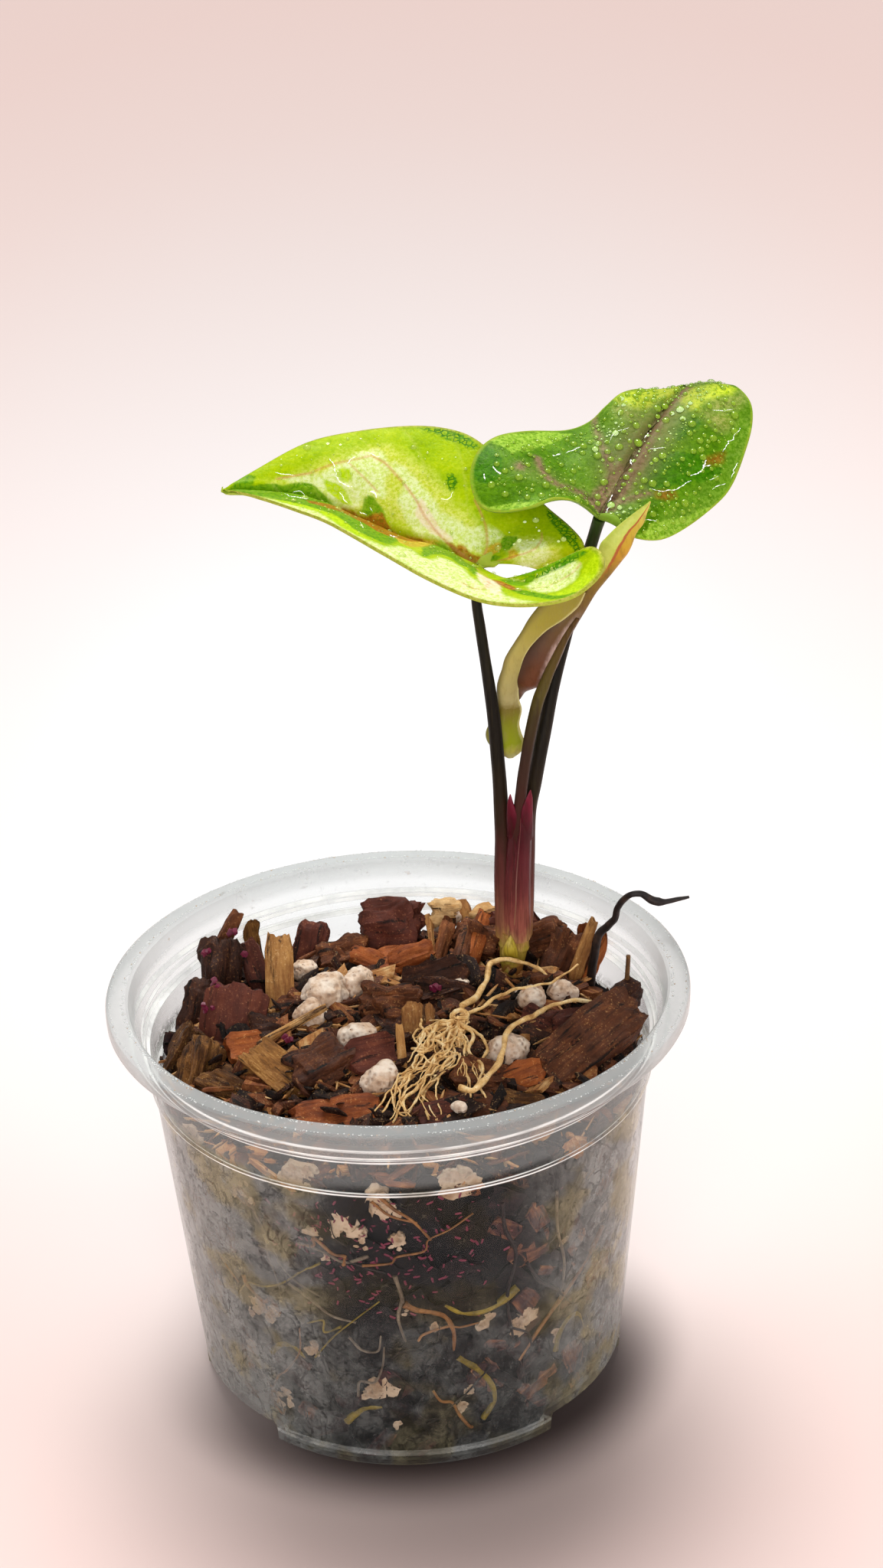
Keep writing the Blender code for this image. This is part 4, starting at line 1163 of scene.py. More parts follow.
@dataclass
class PottingMix:
    """Bark, pumice and grit: a dark core, lumps pressed to the wall, loose lumps on top."""
    pot: NurseryPot
    top: float = 76.0
    fall: float = 8.0
    mound: float = 1.5
    mound_at: Tuple[float, float] = (24.0, 20.0)
    mound_spread: float = 400.0
    stem_at: Tuple[float, float] = (24.0, 28.0)
    clear: float = 0.6
    wall_lumps: int = 900
    top_lumps: int = 420
    thin_chips: int = 170
    crumbs: int = 1300
    specks: int = 210
    pebbles: int = 46
    edge_r: float = 50.5
    chips_r: float = 48.0
    crumbs_r: float = 51.0
    rng: random.Random = field(default_factory=lambda: random.Random(21))

    def height(self, x: float, y: float) -> float:
        """The fine mix's top, in millimetres."""
        right, back = self.mound_at
        rise = math.exp(-((x - right) ** 2 + (y - back) ** 2) / self.mound_spread)
        return self.top - self.fall * (math.hypot(x, y) / self.pot.lip_inner_r) ** 4 + self.mound * rise

    def press(self, points: np.ndarray) -> np.ndarray:
        """Keeps places inside the pot's wall, above its floor and over the raised base corner.

        Args:
            points: places in metres, one row each.

        Returns:
            The places, moved where they have to be.
        """
        out = points.copy()
        out[:, 2] = np.maximum(out[:, 2], (self.pot.floor + 0.3) * MM)
        limit = self.pot.wall_r(out[:, 2], self.pot.wall + self.clear)
        reach = np.hypot(out[:, 0], out[:, 1])
        out[:, :2] *= np.where(reach > limit, limit / np.maximum(reach, TINY), 1.0)[:, None]
        angle = np.degrees(np.arctan2(out[:, 1], out[:, 0]))
        for center in self.pot.arch_angles:
            off = np.radians((angle - center + 180.0) % 360.0 - 180.0)
            reach = np.hypot(out[:, 0], out[:, 1])
            across, along = reach * np.sin(off), reach * np.cos(off)
            inside = (np.abs(across) < (self.pot.arch_width / 2 + 1.2) * MM) & (
                along > (self.pot.base_r - self.pot.arch_depth - 1.2) * MM) & (np.abs(off) < 1.0)
            out[:, 2] = np.where(inside, np.maximum(out[:, 2], (self.pot.arch_h + 1.3) * MM), out[:, 2])
        return out

    def build_core(self) -> bpy.types.Object:
        """The dark fine mix inside, with a crumbly face.

        Returns:
            A mesh object.
        """
        rows = [(0, self.pot.floor + 0.6)] + [(r, z + 0.6) for r, z in self.pot.inside(2.4) if z < 66]
        rows += [(48.0, 66.0), (47.0, 67.5)] + [(47.0 * k / 14, 75.0) for k in range(13, -1, -1)]
        core = self.pot.turned("potting_mix_core", rows)
        pick(core)
        with editing():
            bpy.ops.mesh.subdivide(number_cuts=1)
        points = get_points(core)
        top = points[:, 2] > 66.8 * MM
        levels = np.array([self.height(x / MM, y / MM) - 2.4 for x, y, _ in points]) * MM
        points[:, 2] = np.where(top, levels + 1.2 * MM * lumps(points, 5.0, 3, 4), points[:, 2])
        points += outward(points) * (np.minimum(lumps(points, 4.0, 3, 9), 0.3) * 1.6 * MM)[:, None]
        set_points(core, self.press(points))
        set_field(core, "grain", points)
        set_field(core, "tone", np.full(len(points), 0.12))
        return smooth(core)

    def models(self) -> List[bpy.types.Object]:
        """Four unit lumps that are copied many times.

        Returns:
            The lumps, to be deleted when they are copied.
        """
        made = []
        for index in range(4):
            deselect()
            bpy.ops.mesh.primitive_cube_add(size=1.0)
            cube = added("model_%d" % index)
            with editing():
                bpy.ops.mesh.subdivide(number_cuts=2)
            points = get_points(cube)
            points *= (1.0 - 0.16 * np.linalg.norm(points * 1.15, axis=1) ** 2)[:, None]
            for axis in range(3):
                points[:, axis] += 0.17 * lumps(points * MM, 0.55, 2, 3 * index + axis)
            points[:, 0] *= 1.0 - 0.35 * points[:, 1]
            set_points(cube, points)
            made.append(cube)
        return made

    def shard(self, center: Point, size: Point, turn: Point) -> Shard:
        """One copied lump with a chance tone."""
        return Shard(center, size, turn, self.rng.choice(TONES), self.rng.randrange(4))

    def spot(self, reach: float) -> Tuple[float, float]:
        """A chance place on the top within a radius."""
        turn, out = self.rng.uniform(0, FULL_TURN), reach * math.sqrt(self.rng.random())
        return out * math.cos(turn), out * math.sin(turn)

    def build_wall_lumps(self, models: Sequence[bpy.types.Object]) -> bpy.types.Object:
        """Lumps flattened against the inside of the wall, all the way round.

        Args:
            models: the shapes to copy.

        Returns:
            A mesh object.
        """
        rng, shards = self.rng, []
        for _ in range(self.wall_lumps):
            turn, z = rng.uniform(0, FULL_TURN), rng.uniform(2.5, 70.0)
            size = (rng.uniform(3, 11), rng.uniform(1.5, 4.0), rng.uniform(2, 7))
            reach = self.pot.reach(z) - self.pot.wall - 0.36 * size[1]
            reach -= rng.choice((0.0, 0.0, 0.6, 1.4))
            shards.append(self.shard(polar(reach, turn, z), size,
                                     (rng.uniform(-14, 14), rng.uniform(-70, 70), math.degrees(turn) + 90)))
            # Painted shade: lumps behind the wall's front, near 266 degrees and at middle heights, take darker tones
            # where the mix lies in shade.
            front = math.exp(-((math.degrees(turn) - 266.0) / 20.0) ** 2) * (1.0 if 24 < z < 67 else 0.3)
            tone = rng.choice((0.0, 0.03, 0.08, 0.14, 0.22, 0.32, 0.42, 0.52, 0.64, 0.78))
            shards[-1].tone = tone * (1.0 - 0.85 * front)
        return scatter("mix_wall_bark", models, shards, self.press)

    def build_top_lumps(self, models: Sequence[bpy.types.Object]) -> bpy.types.Object:
        """Small lumps that fill the top between the large ones.

        Args:
            models: the shapes to copy.

        Returns:
            A mesh object.
        """
        rng, shards = self.rng, []
        while len(shards) < self.top_lumps:
            x, y = self.spot(self.edge_r)
            if math.hypot(x - self.stem_at[0], y - self.stem_at[1]) < 5.5:
                continue
            size = (rng.uniform(4, 14), rng.uniform(1.6, 6.5), rng.uniform(0.8, 3.0))
            z = self.height(x, y) - rng.uniform(0.2, 2.4)
            turn = (rng.uniform(-38, 38), rng.uniform(-38, 38), rng.uniform(0, 360))
            shards.append(self.shard((x, y, z), size, turn))
        for _ in range(self.thin_chips):
            x, y = self.spot(self.chips_r)
            if math.hypot(x - self.stem_at[0], y - self.stem_at[1]) < 6.0:
                continue
            shards.append(self.shard((x, y, self.height(x, y) + rng.uniform(-1.4, 1.0)),
                                     (rng.uniform(4, 10), rng.uniform(2.5, 5.5), rng.uniform(0.5, 1.2)),
                                     (rng.uniform(-65, 65), rng.uniform(-50, 50), rng.uniform(0, 360))))
            shards[-1].tone = rng.choice(TONES[:6])
        return scatter("mix_top_bark", models, shards, self.press)

    def build_crumbs(self, models: Sequence[bpy.types.Object]) -> bpy.types.Object:
        """Crumbs and threads of bark over everything.

        Args:
            models: the shapes to copy.

        Returns:
            A mesh object.
        """
        rng, shards = self.rng, []
        while len(shards) < self.crumbs:
            x, y = self.spot(self.crumbs_r)
            long, wide = rng.uniform(0.8, 2.6) * (2.2 if rng.random() < 0.25 else 1.0), rng.uniform(0.4, 1.3)
            if rng.random() < 0.16:
                long, wide = rng.uniform(6, 13), rng.uniform(0.35, 0.6)
            shards.append(self.shard((x, y, self.height(x, y) + rng.uniform(-1.6, 0.6)), (long, wide, wide * 0.8),
                                     (rng.uniform(-40, 40), rng.uniform(-40, 40), rng.uniform(0, 360))))
            if long > 6:
                shards[-1].tone, shards[-1].turn = 0.85, (0.0, rng.uniform(-18, 18), rng.uniform(0, 360))
        return scatter("mix_crumbs", models, shards, self.press)

    def build_specks(self, models: Sequence[bpy.types.Object]) -> bpy.types.Object:
        """Tiny red specks, behind the wall's front and on the left of the top.

        Args:
            models: the shapes to copy.

        Returns:
            A mesh object.
        """
        rng, shards = random.Random(71), []
        for _ in range(self.specks):
            turn, z = math.radians(rng.gauss(264, 15)), min(68.0, rng.gauss(54, 8))
            reach = self.pot.reach(z, self.pot.wall + 0.25) - 0.2
            size = rng.uniform(0.3, 0.9)
            shards.append(self.shard(polar(reach, turn, z), (size * 1.6, size * 0.4, size * 0.6),
                                     (rng.uniform(-20, 20), rng.uniform(-90, 90), math.degrees(turn) + 90)))
        for x, y, z in SPECKS:
            for _ in range(4):
                size = rng.uniform(0.5, 1.2)
                center = (x + rng.uniform(-1, 1), y + rng.uniform(-1, 1), z + rng.uniform(-1, 1))
                shards.append(self.shard(center, (size, size, size), (rng.uniform(0, 90), rng.uniform(0, 90), 0)))
        return scatter("mix_red_specks", models, shards, self.press)

    def build_lump(self, lump: Lump) -> bpy.types.Object:
        """Models one lump: a bevelled, subdivided block, split along its grain and ragged at its ends.

        Args:
            lump: its form.

        Returns:
            A mesh object.
        """
        deselect()
        bpy.ops.mesh.primitive_cube_add(size=1.0)
        obj = added(lump.name)
        with editing():
            bpy.ops.mesh.bevel(offset=0.13, segments=1, affect="EDGES")
            bpy.ops.mesh.subdivide(number_cuts=9)
        seed = sum(ord(letter) for letter in lump.name) % 97
        size = np.array(lump.size)
        long_axis = int(np.argmax(size))
        points = get_points(obj) * size * MM
        along = points[:, long_axis] / (size[long_axis] * MM)
        lines = points.copy()
        lines[:, long_axis] *= 0.12
        across = np.delete(np.arange(3), long_axis)
        normal = points / np.maximum(np.linalg.norm(points / size, axis=1, keepdims=True), TINY) / size
        thick = float(np.sort(size)[0])
        depth = min(1.3, 0.22 * thick) * lump.rag
        points += normal * (lumps(lines, 1.5, 3, seed) * depth * 0.8 * MM)[:, None]
        points += normal * (lumps(points, 0.42 * size[long_axis], 3, seed + 1) * depth * 1.1 * MM)[:, None]
        ragged = np.abs(along) ** 3 * 8.0
        points[:, long_axis] += np.sign(along) * ragged * lumps(lines, 1.8, 2, seed + 2) * 0.12 * size[long_axis] * MM
        wide = int(across[np.argmax(size[across])])
        flat = int(across[np.argmin(size[across])])
        points[:, flat] += lump.curl * 0.35 * size[wide] * MM * ((points[:, wide] / (size[wide] * MM)) ** 2 * 2 - 0.2)
        grain = np.roll(points, -long_axis, axis=1) + seed * 0.011
        set_points(obj, self.press(points @ turned_by(lump.turn).T + np.array(lump.center) * MM))
        set_field(obj, "grain", grain)
        set_field(obj, "tone", np.full(len(points), lump.tone - 0.03))
        return smooth(obj, 38.0)

    def build_pumice(self, index: int, center: Point, radius: float) -> bpy.types.Object:
        """One rounded, pitted pebble.

        Args:
            index: its number.
            center: its place.
            radius: its size in millimetres.

        Returns:
            A mesh object.
        """
        deselect()
        bpy.ops.mesh.primitive_ico_sphere_add(subdivisions=5, radius=radius * MM)
        obj = added("pumice_%02d" % index)
        points = get_points(obj)
        normal = points / np.linalg.norm(points, axis=1, keepdims=True)
        bulge = lumps(points, radius * 1.1, 3, index) * 0.42 * radius
        pits = np.minimum(lumps(points, 1.3, 3, index + 40) + 0.12, 0.0) * 0.9
        points += normal * ((bulge + pits + 0.07 * lumps(points, 0.5, 2, index + 9)) * MM)[:, None]
        points[:, 2] *= 0.86
        set_points(obj, points + np.array(center) * MM)
        return smooth(obj)

    def build_wall_pumice(self) -> bpy.types.Object:
        """Pale pebbles behind the wall and a few among the top lumps.

        Returns:
            A mesh object.
        """
        deselect()
        bpy.ops.mesh.primitive_ico_sphere_add(subdivisions=3, radius=0.5)
        model = added("pebble")
        points = get_points(model)
        set_points(model, points * (1.0 + 0.75 * lumps(points * MM, 0.34, 3, 3))[:, None])
        rng, shards = random.Random(33), []
        places = WALL_PUMICES + [(rng.uniform(0, 360), rng.uniform(4, 66), rng.uniform(2.5, 6), rng.randrange(1, 5))
                                 for _ in range(self.pebbles)]
        for angle, height, spread, count in places:
            for _ in range(2 * count):
                z = height + rng.uniform(-0.32, 0.32) * spread
                turn = math.radians(angle + rng.uniform(-0.4, 0.4) * spread)
                size = spread * rng.choice((0.75, 0.5, 0.3, 0.2, 0.14)) * rng.uniform(0.8, 1.2) + 0.4
                reach = self.pot.reach(z) - self.pot.wall - 0.3 * size
                shards.append(Shard(polar(reach, turn, z),
                                    (size, size * rng.uniform(0.5, 0.9), size * rng.uniform(0.5, 1.0)),
                                    (rng.uniform(0, 180), rng.uniform(0, 180), angle + 90), rng.random()))
        obj = scatter("mix_wall_pumice", [model], shards, self.press)
        drop_models([model])
        return smooth(obj)

    def build(self) -> None:
        """Builds, dresses and hands over the mix and everything loose on it."""
        fill = BarkFinish("mix_fill", ((0.0, BLACK), (0.2, srgb(44, 24, 17)), (0.4, srgb(90, 50, 32)),
                                       (0.6, srgb(136, 78, 44)), (0.8, srgb(184, 126, 70)),
                                       (1.0, srgb(226, 184, 128))), 0.9, 0.5, 0.4).build()
        damp = BarkFinish("mix_behind_wall", ((0.0, (0.002, 0.0015, 0.003)), (0.3, srgb(14, 9, 14)),
                                              (0.5, srgb(32, 20, 24)), (0.7, srgb(66, 38, 36)),
                                              (0.86, srgb(124, 80, 54)), (1.0, srgb(190, 150, 108))),
                          1.3, 0.12, 0.2, 0.06).build()
        hand_over(self.build_core(), damp, "potting_mix", "potting_mix")
        models = self.models()
        hand_over(self.build_wall_lumps(models), damp, "potting_mix")
        for piece in (self.build_top_lumps(models), self.build_crumbs(models)):
            hand_over(piece, fill, "potting_mix")
        moss = Shader("red_specks").dress(Base_Color=srgb(110, 24, 54), Roughness=0.5)
        hand_over(self.build_specks(models), moss, "potting_mix")
        drop_models(models)
        barks = {kind: finish.build() for kind, finish in BARKS.items()}
        for lump in LUMPS:
            slot = lump.name if lump.node else "potting_mix"
            hand_over(self.build_lump(lump), barks[lump.kind], slot, *((lump.name,) if lump.node else ()))
        pumice = PumiceFinish().build()
        for index, (center, radius) in enumerate(PUMICES, 1):
            nodes = ("pumice_%02d" % index,) if index < 10 else ()
            hand_over(self.build_pumice(index, center, radius), pumice, "pumice", *nodes)
        hand_over(self.build_wall_pumice(), PumiceFinish("pumice_damp", 0.7).build(), "pumice")


# Leaves


# How soft each paint's edge is, in millimetres
SOFTNESS = {"mauve": 1.5, "veil": 8.0, "glow": 9.0, "tan": 3.0, "brown": 1.4, "lime": 1.6, "wash": 3.0, "cream": 1.1}
CRISP = 0.36


class Side(Enum):
    """The two sides of a blade, as seen from the photograph's place."""
    FAR = "far"
    NEAR = "near"


@dataclass(frozen=True)
class Mark:
    """Paint on a blade: a line, or a filled outline. Its reach and raggedness are in millimetres."""
    paint: str
    route: Route
    reach: float = 0.0
    ragged: float = 0.0
    filled: bool = False

    def holds(self, u: np.ndarray, v: np.ndarray) -> np.ndarray:
        """Finds which places lie inside the outline.

        Args:
            u: their fractions from tip to petiole.
            v: their places from -1 at the far margin to 1 at the near one.

        Returns:
            True or False for each.
        """
        inside = np.zeros(len(u), dtype=bool)
        for (u0, v0), (u1, v1) in zip(self.route, self.route[1:] + self.route[:1]):
            if v0 != v1:
                inside ^= ((v0 > v) != (v1 > v)) & (u < (u1 - u0) * (v - v0) / (v1 - v0) + u0)
        return inside


def on_blade(places: Sequence[Tuple[int, int]]) -> Route:
    """Thousandths from tip to petiole and hundredths from margin to margin, as fractions."""
    return tuple((u / 1000, v / 100) for u, v in places)


def patches(paint: str, *outlines: Tuple[float, Sequence[Tuple[int, int]]]) -> Tuple[Mark, ...]:
    """Filled outlines of one paint, each after its raggedness."""
    return tuple(Mark(paint, on_blade(places), 0.0, ragged, True) for ragged, places in outlines)


def strokes(paint: str, *lines: Tuple[float, float, Sequence[Tuple[int, int]]]) -> Tuple[Mark, ...]:
    """Lines of one paint, each after its reach and raggedness."""
    return tuple(Mark(paint, on_blade(places), reach, ragged) for reach, ragged, places in lines)


def ridges(*lines: Tuple[float, Sequence[Tuple[int, int]]]) -> Tuple[Mark, ...]:
    """Ridges of water, each after its reach."""
    return tuple(Mark("wet", on_blade(places), reach) for reach, places in lines)


@dataclass(frozen=True)
class Layer:
    """A paint laid over a leaf: two tones, and how much fine speckle breaks it up."""
    paint: str
    low: Color
    high: Color
    speckle: float = 0.0
    strength: float = 1.0


@dataclass(frozen=True)
class LeafFinish:
    """A living leaf: mottled ground, painted layers, paler underside, wet gloss."""
    name: str
    ground: Stops
    layers: Tuple[Layer, ...]
    under: Color
    haze: Color
    hazed: float = 0.5

    def build(self) -> bpy.types.Material:
        """Makes the material from the blade's paint fields.

        Returns:
            The material.
        """
        made = Shader(self.name)
        place = made.place()
        wide, small = made.cloud(place, 6.0, 5.0, 0.65), made.cloud(place, 0.8, 4.0, 0.7)
        mottle = wide * 0.5 + small * 0.5
        color = made.ramp(mottle, self.ground)
        cells = made.cells(place, 1.1, "DISTANCE_TO_EDGE")
        net = made.step(cells, 0.02, 0.16, 1.0, 0.0)
        broken = made.step(net * 0.3 + small, 0.44, 0.62)
        for layer in self.layers:
            amount = made.attribute(layer.paint) * layer.strength
            if layer.speckle:
                amount = amount * (broken * layer.speckle + (1.0 - layer.speckle))
            color = made.blend(amount, color, made.blend(made.step(small, 0.36, 0.64), layer.low, layer.high))
        shade = made.attribute("shade") * made.step(mottle, 0.35, 0.6, 0.6 * self.hazed, self.hazed)
        color = made.blend(shade, color, self.haze)
        under = made.blend(made.step(wide, 0.3, 0.7, 0.0, 0.3), self.under, color)
        color = made.blend(made.attribute("under"), color, under)
        quilt = made.step(cells, 0.0, 0.3) * 0.3 + small
        wave = made.cloud(place, 2.6, 2.0)
        return made.dress(Base_Color=color, Roughness=made.step(wave, 0.35, 0.65, 0.3, 0.46),
                          Specular_IOR_Level=0.08, Specular_Tint=(0.8, 1.0, 0.2), Subsurface_Weight=0.1,
                          Subsurface_Radius=(0.9, 1.2, 0.2), Subsurface_Scale=0.0008,
                          Normal=made.relief(quilt, 0.06, 1.0, made.relief(wave, 0.15)))


@dataclass
class Blade:
    """An arrowhead blade bent from a grid: its rib, both margins, a hooked lobe and painted patches."""
    name: str
    rib: Sequence[Point]
    far: Sequence[Point]
    near: Sequence[Point]
    fan: Tuple[float, float]
    arch: Tuple[float, float]
    hooked: Side
    turn: float
    lobe: Sequence[Point]
    finish: LeafFinish
    marks: Tuple[Mark, ...]
    drops: Tuple[int, int]
    thickness: float = 0.68
    columns: int = 200
    rows: int = 130
    bend: float = 0.85
    flat: float = 0.0
    seed: int = 1

    def surface(self, u: np.ndarray, v: np.ndarray) -> np.ndarray:
        """Places on the blade; v from -1 on the far margin to 1 on the near one.

        Args:
            u: fractions from tip to petiole.
            v: places across, from -1 at the far margin to 1 at the near one.

        Returns:
            Places in metres, one row each.
        """
        far, near, rib, lobe = (smooth_path(points, 6) for points in (self.far, self.near, self.rib, self.lobe))
        on_far = v < 0
        fan = np.where(on_far, *self.fan)
        edge = np.where(on_far[:, None], at_fractions(far, u), at_fractions(near, u))
        spine = at_fractions(rib, u / fan)
        width = np.linalg.norm(edge - spine, axis=1)
        length = sum((b - a).length for a, b in zip(lobe, lobe[1:]))
        in_lobe = (on_far if self.hooked is Side.FAR else ~on_far) & (u > fan)
        amount = np.where(in_lobe, self.bend * np.clip((u - fan) / (self.turn - fan), 0.0, 1.0), 0.0)[:, None]
        middle = (spine + edge) / 2
        middle += (at_fractions(lobe, 0.5 * width / length) - middle) * amount
        arch = np.where(on_far, *self.arch) * MM * np.minimum(1.0, width / (18 * MM))
        arch = arch * (1.0 - self.flat * amount[:, 0])
        lift = np.outer(arch * np.sin(math.pi * np.abs(v)), (0.0, -0.35, 0.94))
        out = np.abs(v)[:, None]
        return spine * (1 - out) ** 2 + middle * 2 * out * (1 - out) + edge * out ** 2 + lift

    def upward(self, u: float, v: float) -> Tuple[Vector, Vector]:
        """A place on the blade and its upward normal.

        Args:
            u: its fraction from tip to petiole.
            v: its place across.

        Returns:
            The place in metres, and the normal.
        """
        aside = v + (0.01 if v < 0.9 else -0.01)
        here, ahead, beside = self.surface(np.array([u, u + 0.004, u]), np.array([v, v, aside]))
        normal = Vector(np.cross(ahead - here, beside - here)).normalized()
        return Vector(here), -normal if normal.z < 0 else normal

    def distance(self, points: np.ndarray, route: Sequence[Tuple[float, float]], cuts: int = 6) -> np.ndarray:
        """Each point's distance in millimetres from a route over the blade.

        Args:
            points: places in metres.
            route: places along the route, as in a mark.
            cuts: samples from one of them to the next.

        Returns:
            One distance for each point.
        """
        marks = np.array(route)
        steps = np.linspace(0, len(marks) - 1, cuts * (len(marks) - 1) + 1)
        fine = np.stack([np.interp(steps, range(len(marks)), marks[:, k]) for k in range(2)], axis=1)
        places = self.surface(fine[:, 0], fine[:, 1])
        best = np.full(len(points), 1.0)
        for start, end in zip(places, places[1:]):
            span = end - start
            along = np.clip((points - start) @ span / max(float(span @ span), 1e-12), 0.0, 1.0)
            best = np.minimum(best, np.linalg.norm(points - start - np.outer(along, span), axis=1))
        return best / MM

    def veins(self) -> List[Route]:
        """Fine side veins that leave the rib and sweep towards the tip.

        Returns:
            A route for each vein.
        """
        made = []
        for side, fan in zip((-1, 1), self.fan):
            for index in range(6):
                start = 0.12 + index * (fan - 0.16) / 5
                made.append(tuple((max(0.01, start - 0.13 * t ** 1.4), side * 0.96 * t) for t in np.linspace(0, 1, 6)))
        return made

    def paint(self, obj: bpy.types.Object, points: np.ndarray, u: np.ndarray, v: np.ndarray) -> None:
        """Stores how much of each paint every vertex takes.

        Args:
            obj: the blade.
            points: its vertices.
            u: their fractions from tip to petiole.
            v: their places across.
        """
        wander = lumps(points, 5.0, 3, self.seed) + 0.45 * lumps(points, 1.3, 2, self.seed + 3)
        for paint in sorted({mark.paint for mark in self.marks if mark.paint != "wet"}):
            amount = np.zeros(len(points))
            for mark in self.marks:
                if mark.paint == paint:
                    if mark.filled:
                        away = self.distance(points, mark.route + mark.route[:1], 3)
                        away = np.where(mark.holds(u, v), -away, away)
                    else:
                        away = self.distance(points, mark.route) - mark.reach
                    edge = (away + mark.ragged * wander) / SOFTNESS.get(paint, CRISP)
                    amount = np.maximum(amount, np.clip(0.5 - edge, 0, 1))
            set_field(obj, paint, amount)

    def build_blade(self) -> bpy.types.Object:
        """Bends, creases, paints and thickens the blade.

        Returns:
            A mesh object.
        """
        obj = bent_grid(self.name + "_blade", self.columns, self.rows,
                        lambda first, second: self.surface(first, np.round(second * 2 - 1, 5)))
        marks = np.empty(len(obj.data.vertices) * 3, dtype=np.float32)
        obj.data.attributes["uv_at"].data.foreach_get("vector", marks)
        u, v = marks.reshape(-1, 3)[:, 0].astype(float), marks.reshape(-1, 3)[:, 1] * 2.0 - 1.0
        points = get_points(obj)
        normals = three_each(obj.data.vertices, "normal")
        faces_down = np.mean(normals[:, 2]) < 0
        normals *= np.where(normals[:, 2] < 0, -1.0, 1.0)[:, None]
        rib = self.distance(points, [(t * self.fan[0], 0.0) for t in np.linspace(0.02, 1, 10)])
        vein = np.full(len(points), 9.0)
        for route in self.veins():
            vein = np.minimum(vein, self.distance(points, route, 4))
        edge = np.clip((1 - np.abs(v)) / 0.1, 0, 1)
        broken = np.clip(0.5 + 0.8 * lumps(points, 9.0, 2, self.seed + 8), 0, 1)
        rise = -0.4 * np.exp(-(rib / 0.6) ** 2) + 0.2 * np.exp(-((rib - 1.6) / 0.9) ** 2)
        rise += broken * (0.10 * np.minimum(vein, 2.5) / 2.5 - 0.07 * np.exp(-(vein / 0.4) ** 2))
        rise = (rise + 0.2 * lumps(points, 9.0, 2, self.seed + 5)) * edge * np.clip((1 - u) / 0.05, 0, 1)
        set_points(obj, points + normals * (rise * MM)[:, None])
        self.paint(obj, points, u, v)
        set_field(obj, "shade", np.exp(-(rib / 6.5) ** 2) * np.clip(u / 0.3, 0.1, 1.0))
        set_field(obj, "vein", np.exp(-(vein / 0.25) ** 2) * broken)
        set_field(obj, "margin", np.clip((np.abs(v) - 0.975) / 0.02, 0, 1))
        count = len(points)
        if faces_down:
            pick(obj)
            with editing():
                bpy.ops.mesh.flip_normals()
        obj.modifiers.new("Thickness", "SOLIDIFY").thickness = self.thickness * MM
        obj.modifiers["Thickness"].offset = -1.0
        apply_all(obj)
        set_field(obj, "under", (np.arange(len(obj.data.vertices)) >= count).astype(float))
        tidy_mesh(obj, 0.02)
        return smooth(obj)

    def build_drops(self, model: bpy.types.Object) -> bpy.types.Object:
        """Beads of water standing on the upper face: large ones, then fine ones.

        Args:
            model: the shape of a bead.

        Returns:
            A mesh object.
        """
        rng, shards = random.Random(self.seed), []
        for count, low, high in ((self.drops[0], 0.9, 1.9), (self.drops[1], 0.3, 0.85)):
            goal = len(shards) + count
            while len(shards) < goal:
                u, v = rng.uniform(0.12, 0.94), rng.uniform(-0.88, 0.88)
                place, normal = self.upward(u, v)
                wide = low + (high - low) * rng.random() ** 2
                around = [(Vector(shard.center) - place / MM).length - 0.5 * (shard.size[0] + wide)
                          for shard in shards]
                if normal.z < 0.15 or min(around, default=1.0) < 0.08:
                    continue
                turn = normal.to_track_quat("Z", "Y").to_euler()
                shards.append(Shard(tuple(place / MM + normal * 0.14),
                                    (wide, wide * rng.uniform(0.85, 1.15), wide * 0.66),
                                    tuple(math.degrees(angle) for angle in turn), rng.random()))
        return smooth(scatter(self.name + "_drops", [model], shards))

    def build_wet(self) -> bpy.types.Object:
        """Ridges of water that lie in the folds, dressed near-white and glowing as painted highlights.

        Returns:
            A mesh object.
        """
        made = []
        for index, mark in enumerate(mark for mark in self.marks if mark.paint == "wet"):
            spots = [self.upward(u, v) for u, v in mark.route]
            path = smooth_path([tuple((place + normal * 0.22 * MM) / MM) for place, normal in spots], 12)
            points = np.array(path)
            points[:, 0] += lumps(points, 1.3, 3, index) * 0.55 * MM
            points[:, 2] += lumps(points, 1.3, 3, index + 30) * 0.3 * MM

            def radius(t: float, r: float = mark.reach) -> float:
                """Thin at the ends, with swellings between."""
                swelling = 0.15 + abs(math.sin(31 * t + 9 * r)) ** 2
                return 0.4 * r * (0.3 + 0.7 * math.sin(math.pi * t) ** 0.5) * swelling
            made.append(tube("wet_%d" % index, [Vector(point) for point in points], radius, 8))
        return join_all(made, self.name + "_wet")

    def build(self, model: bpy.types.Object, water: bpy.types.Material, gloss: bpy.types.Material) -> None:
        """Builds, dresses and hands over the blade and its water."""
        hand_over(self.build_blade(), self.finish.build(), self.name, self.name)
        hand_over(self.build_drops(model), water, self.name)
        hand_over(self.build_wet(), gloss, self.name)


LEFT_FINISH = LeafFinish(
    "leaf_lime", ((0.3, srgb(130, 164, 0)), (0.44, srgb(156, 188, 0)), (0.58, srgb(178, 202, 6)),
                  (0.75, srgb(202, 218, 48))),
    (Layer("wash", srgb(196, 208, 44), srgb(222, 228, 112), 0.35),
     Layer("cream", srgb(212, 228, 122), srgb(236, 244, 186), 0.3),
     Layer("blush", srgb(230, 216, 160), srgb(244, 232, 200)),
     Layer("lime2", srgb(168, 204, 0), srgb(196, 224, 20), 0.3),
     Layer("green", srgb(72, 134, 4), srgb(122, 172, 14), 0.25),
     Layer("speck", srgb(40, 104, 8), srgb(84, 146, 10), 0.9),
     Layer("amber", srgb(190, 158, 20), srgb(220, 190, 70), 0.3),
     Layer("rust", srgb(140, 80, 10), srgb(184, 124, 30), 0.25),
     Layer("vein", srgb(210, 214, 90), srgb(220, 210, 120), 0.75, 0.4),
     Layer("pink", srgb(196, 128, 72), srgb(214, 154, 100), 0.0, 0.7),
     Layer("margin", srgb(140, 150, 30), srgb(190, 184, 90))), srgb(178, 196, 70), srgb(176, 150, 40), 0.12)
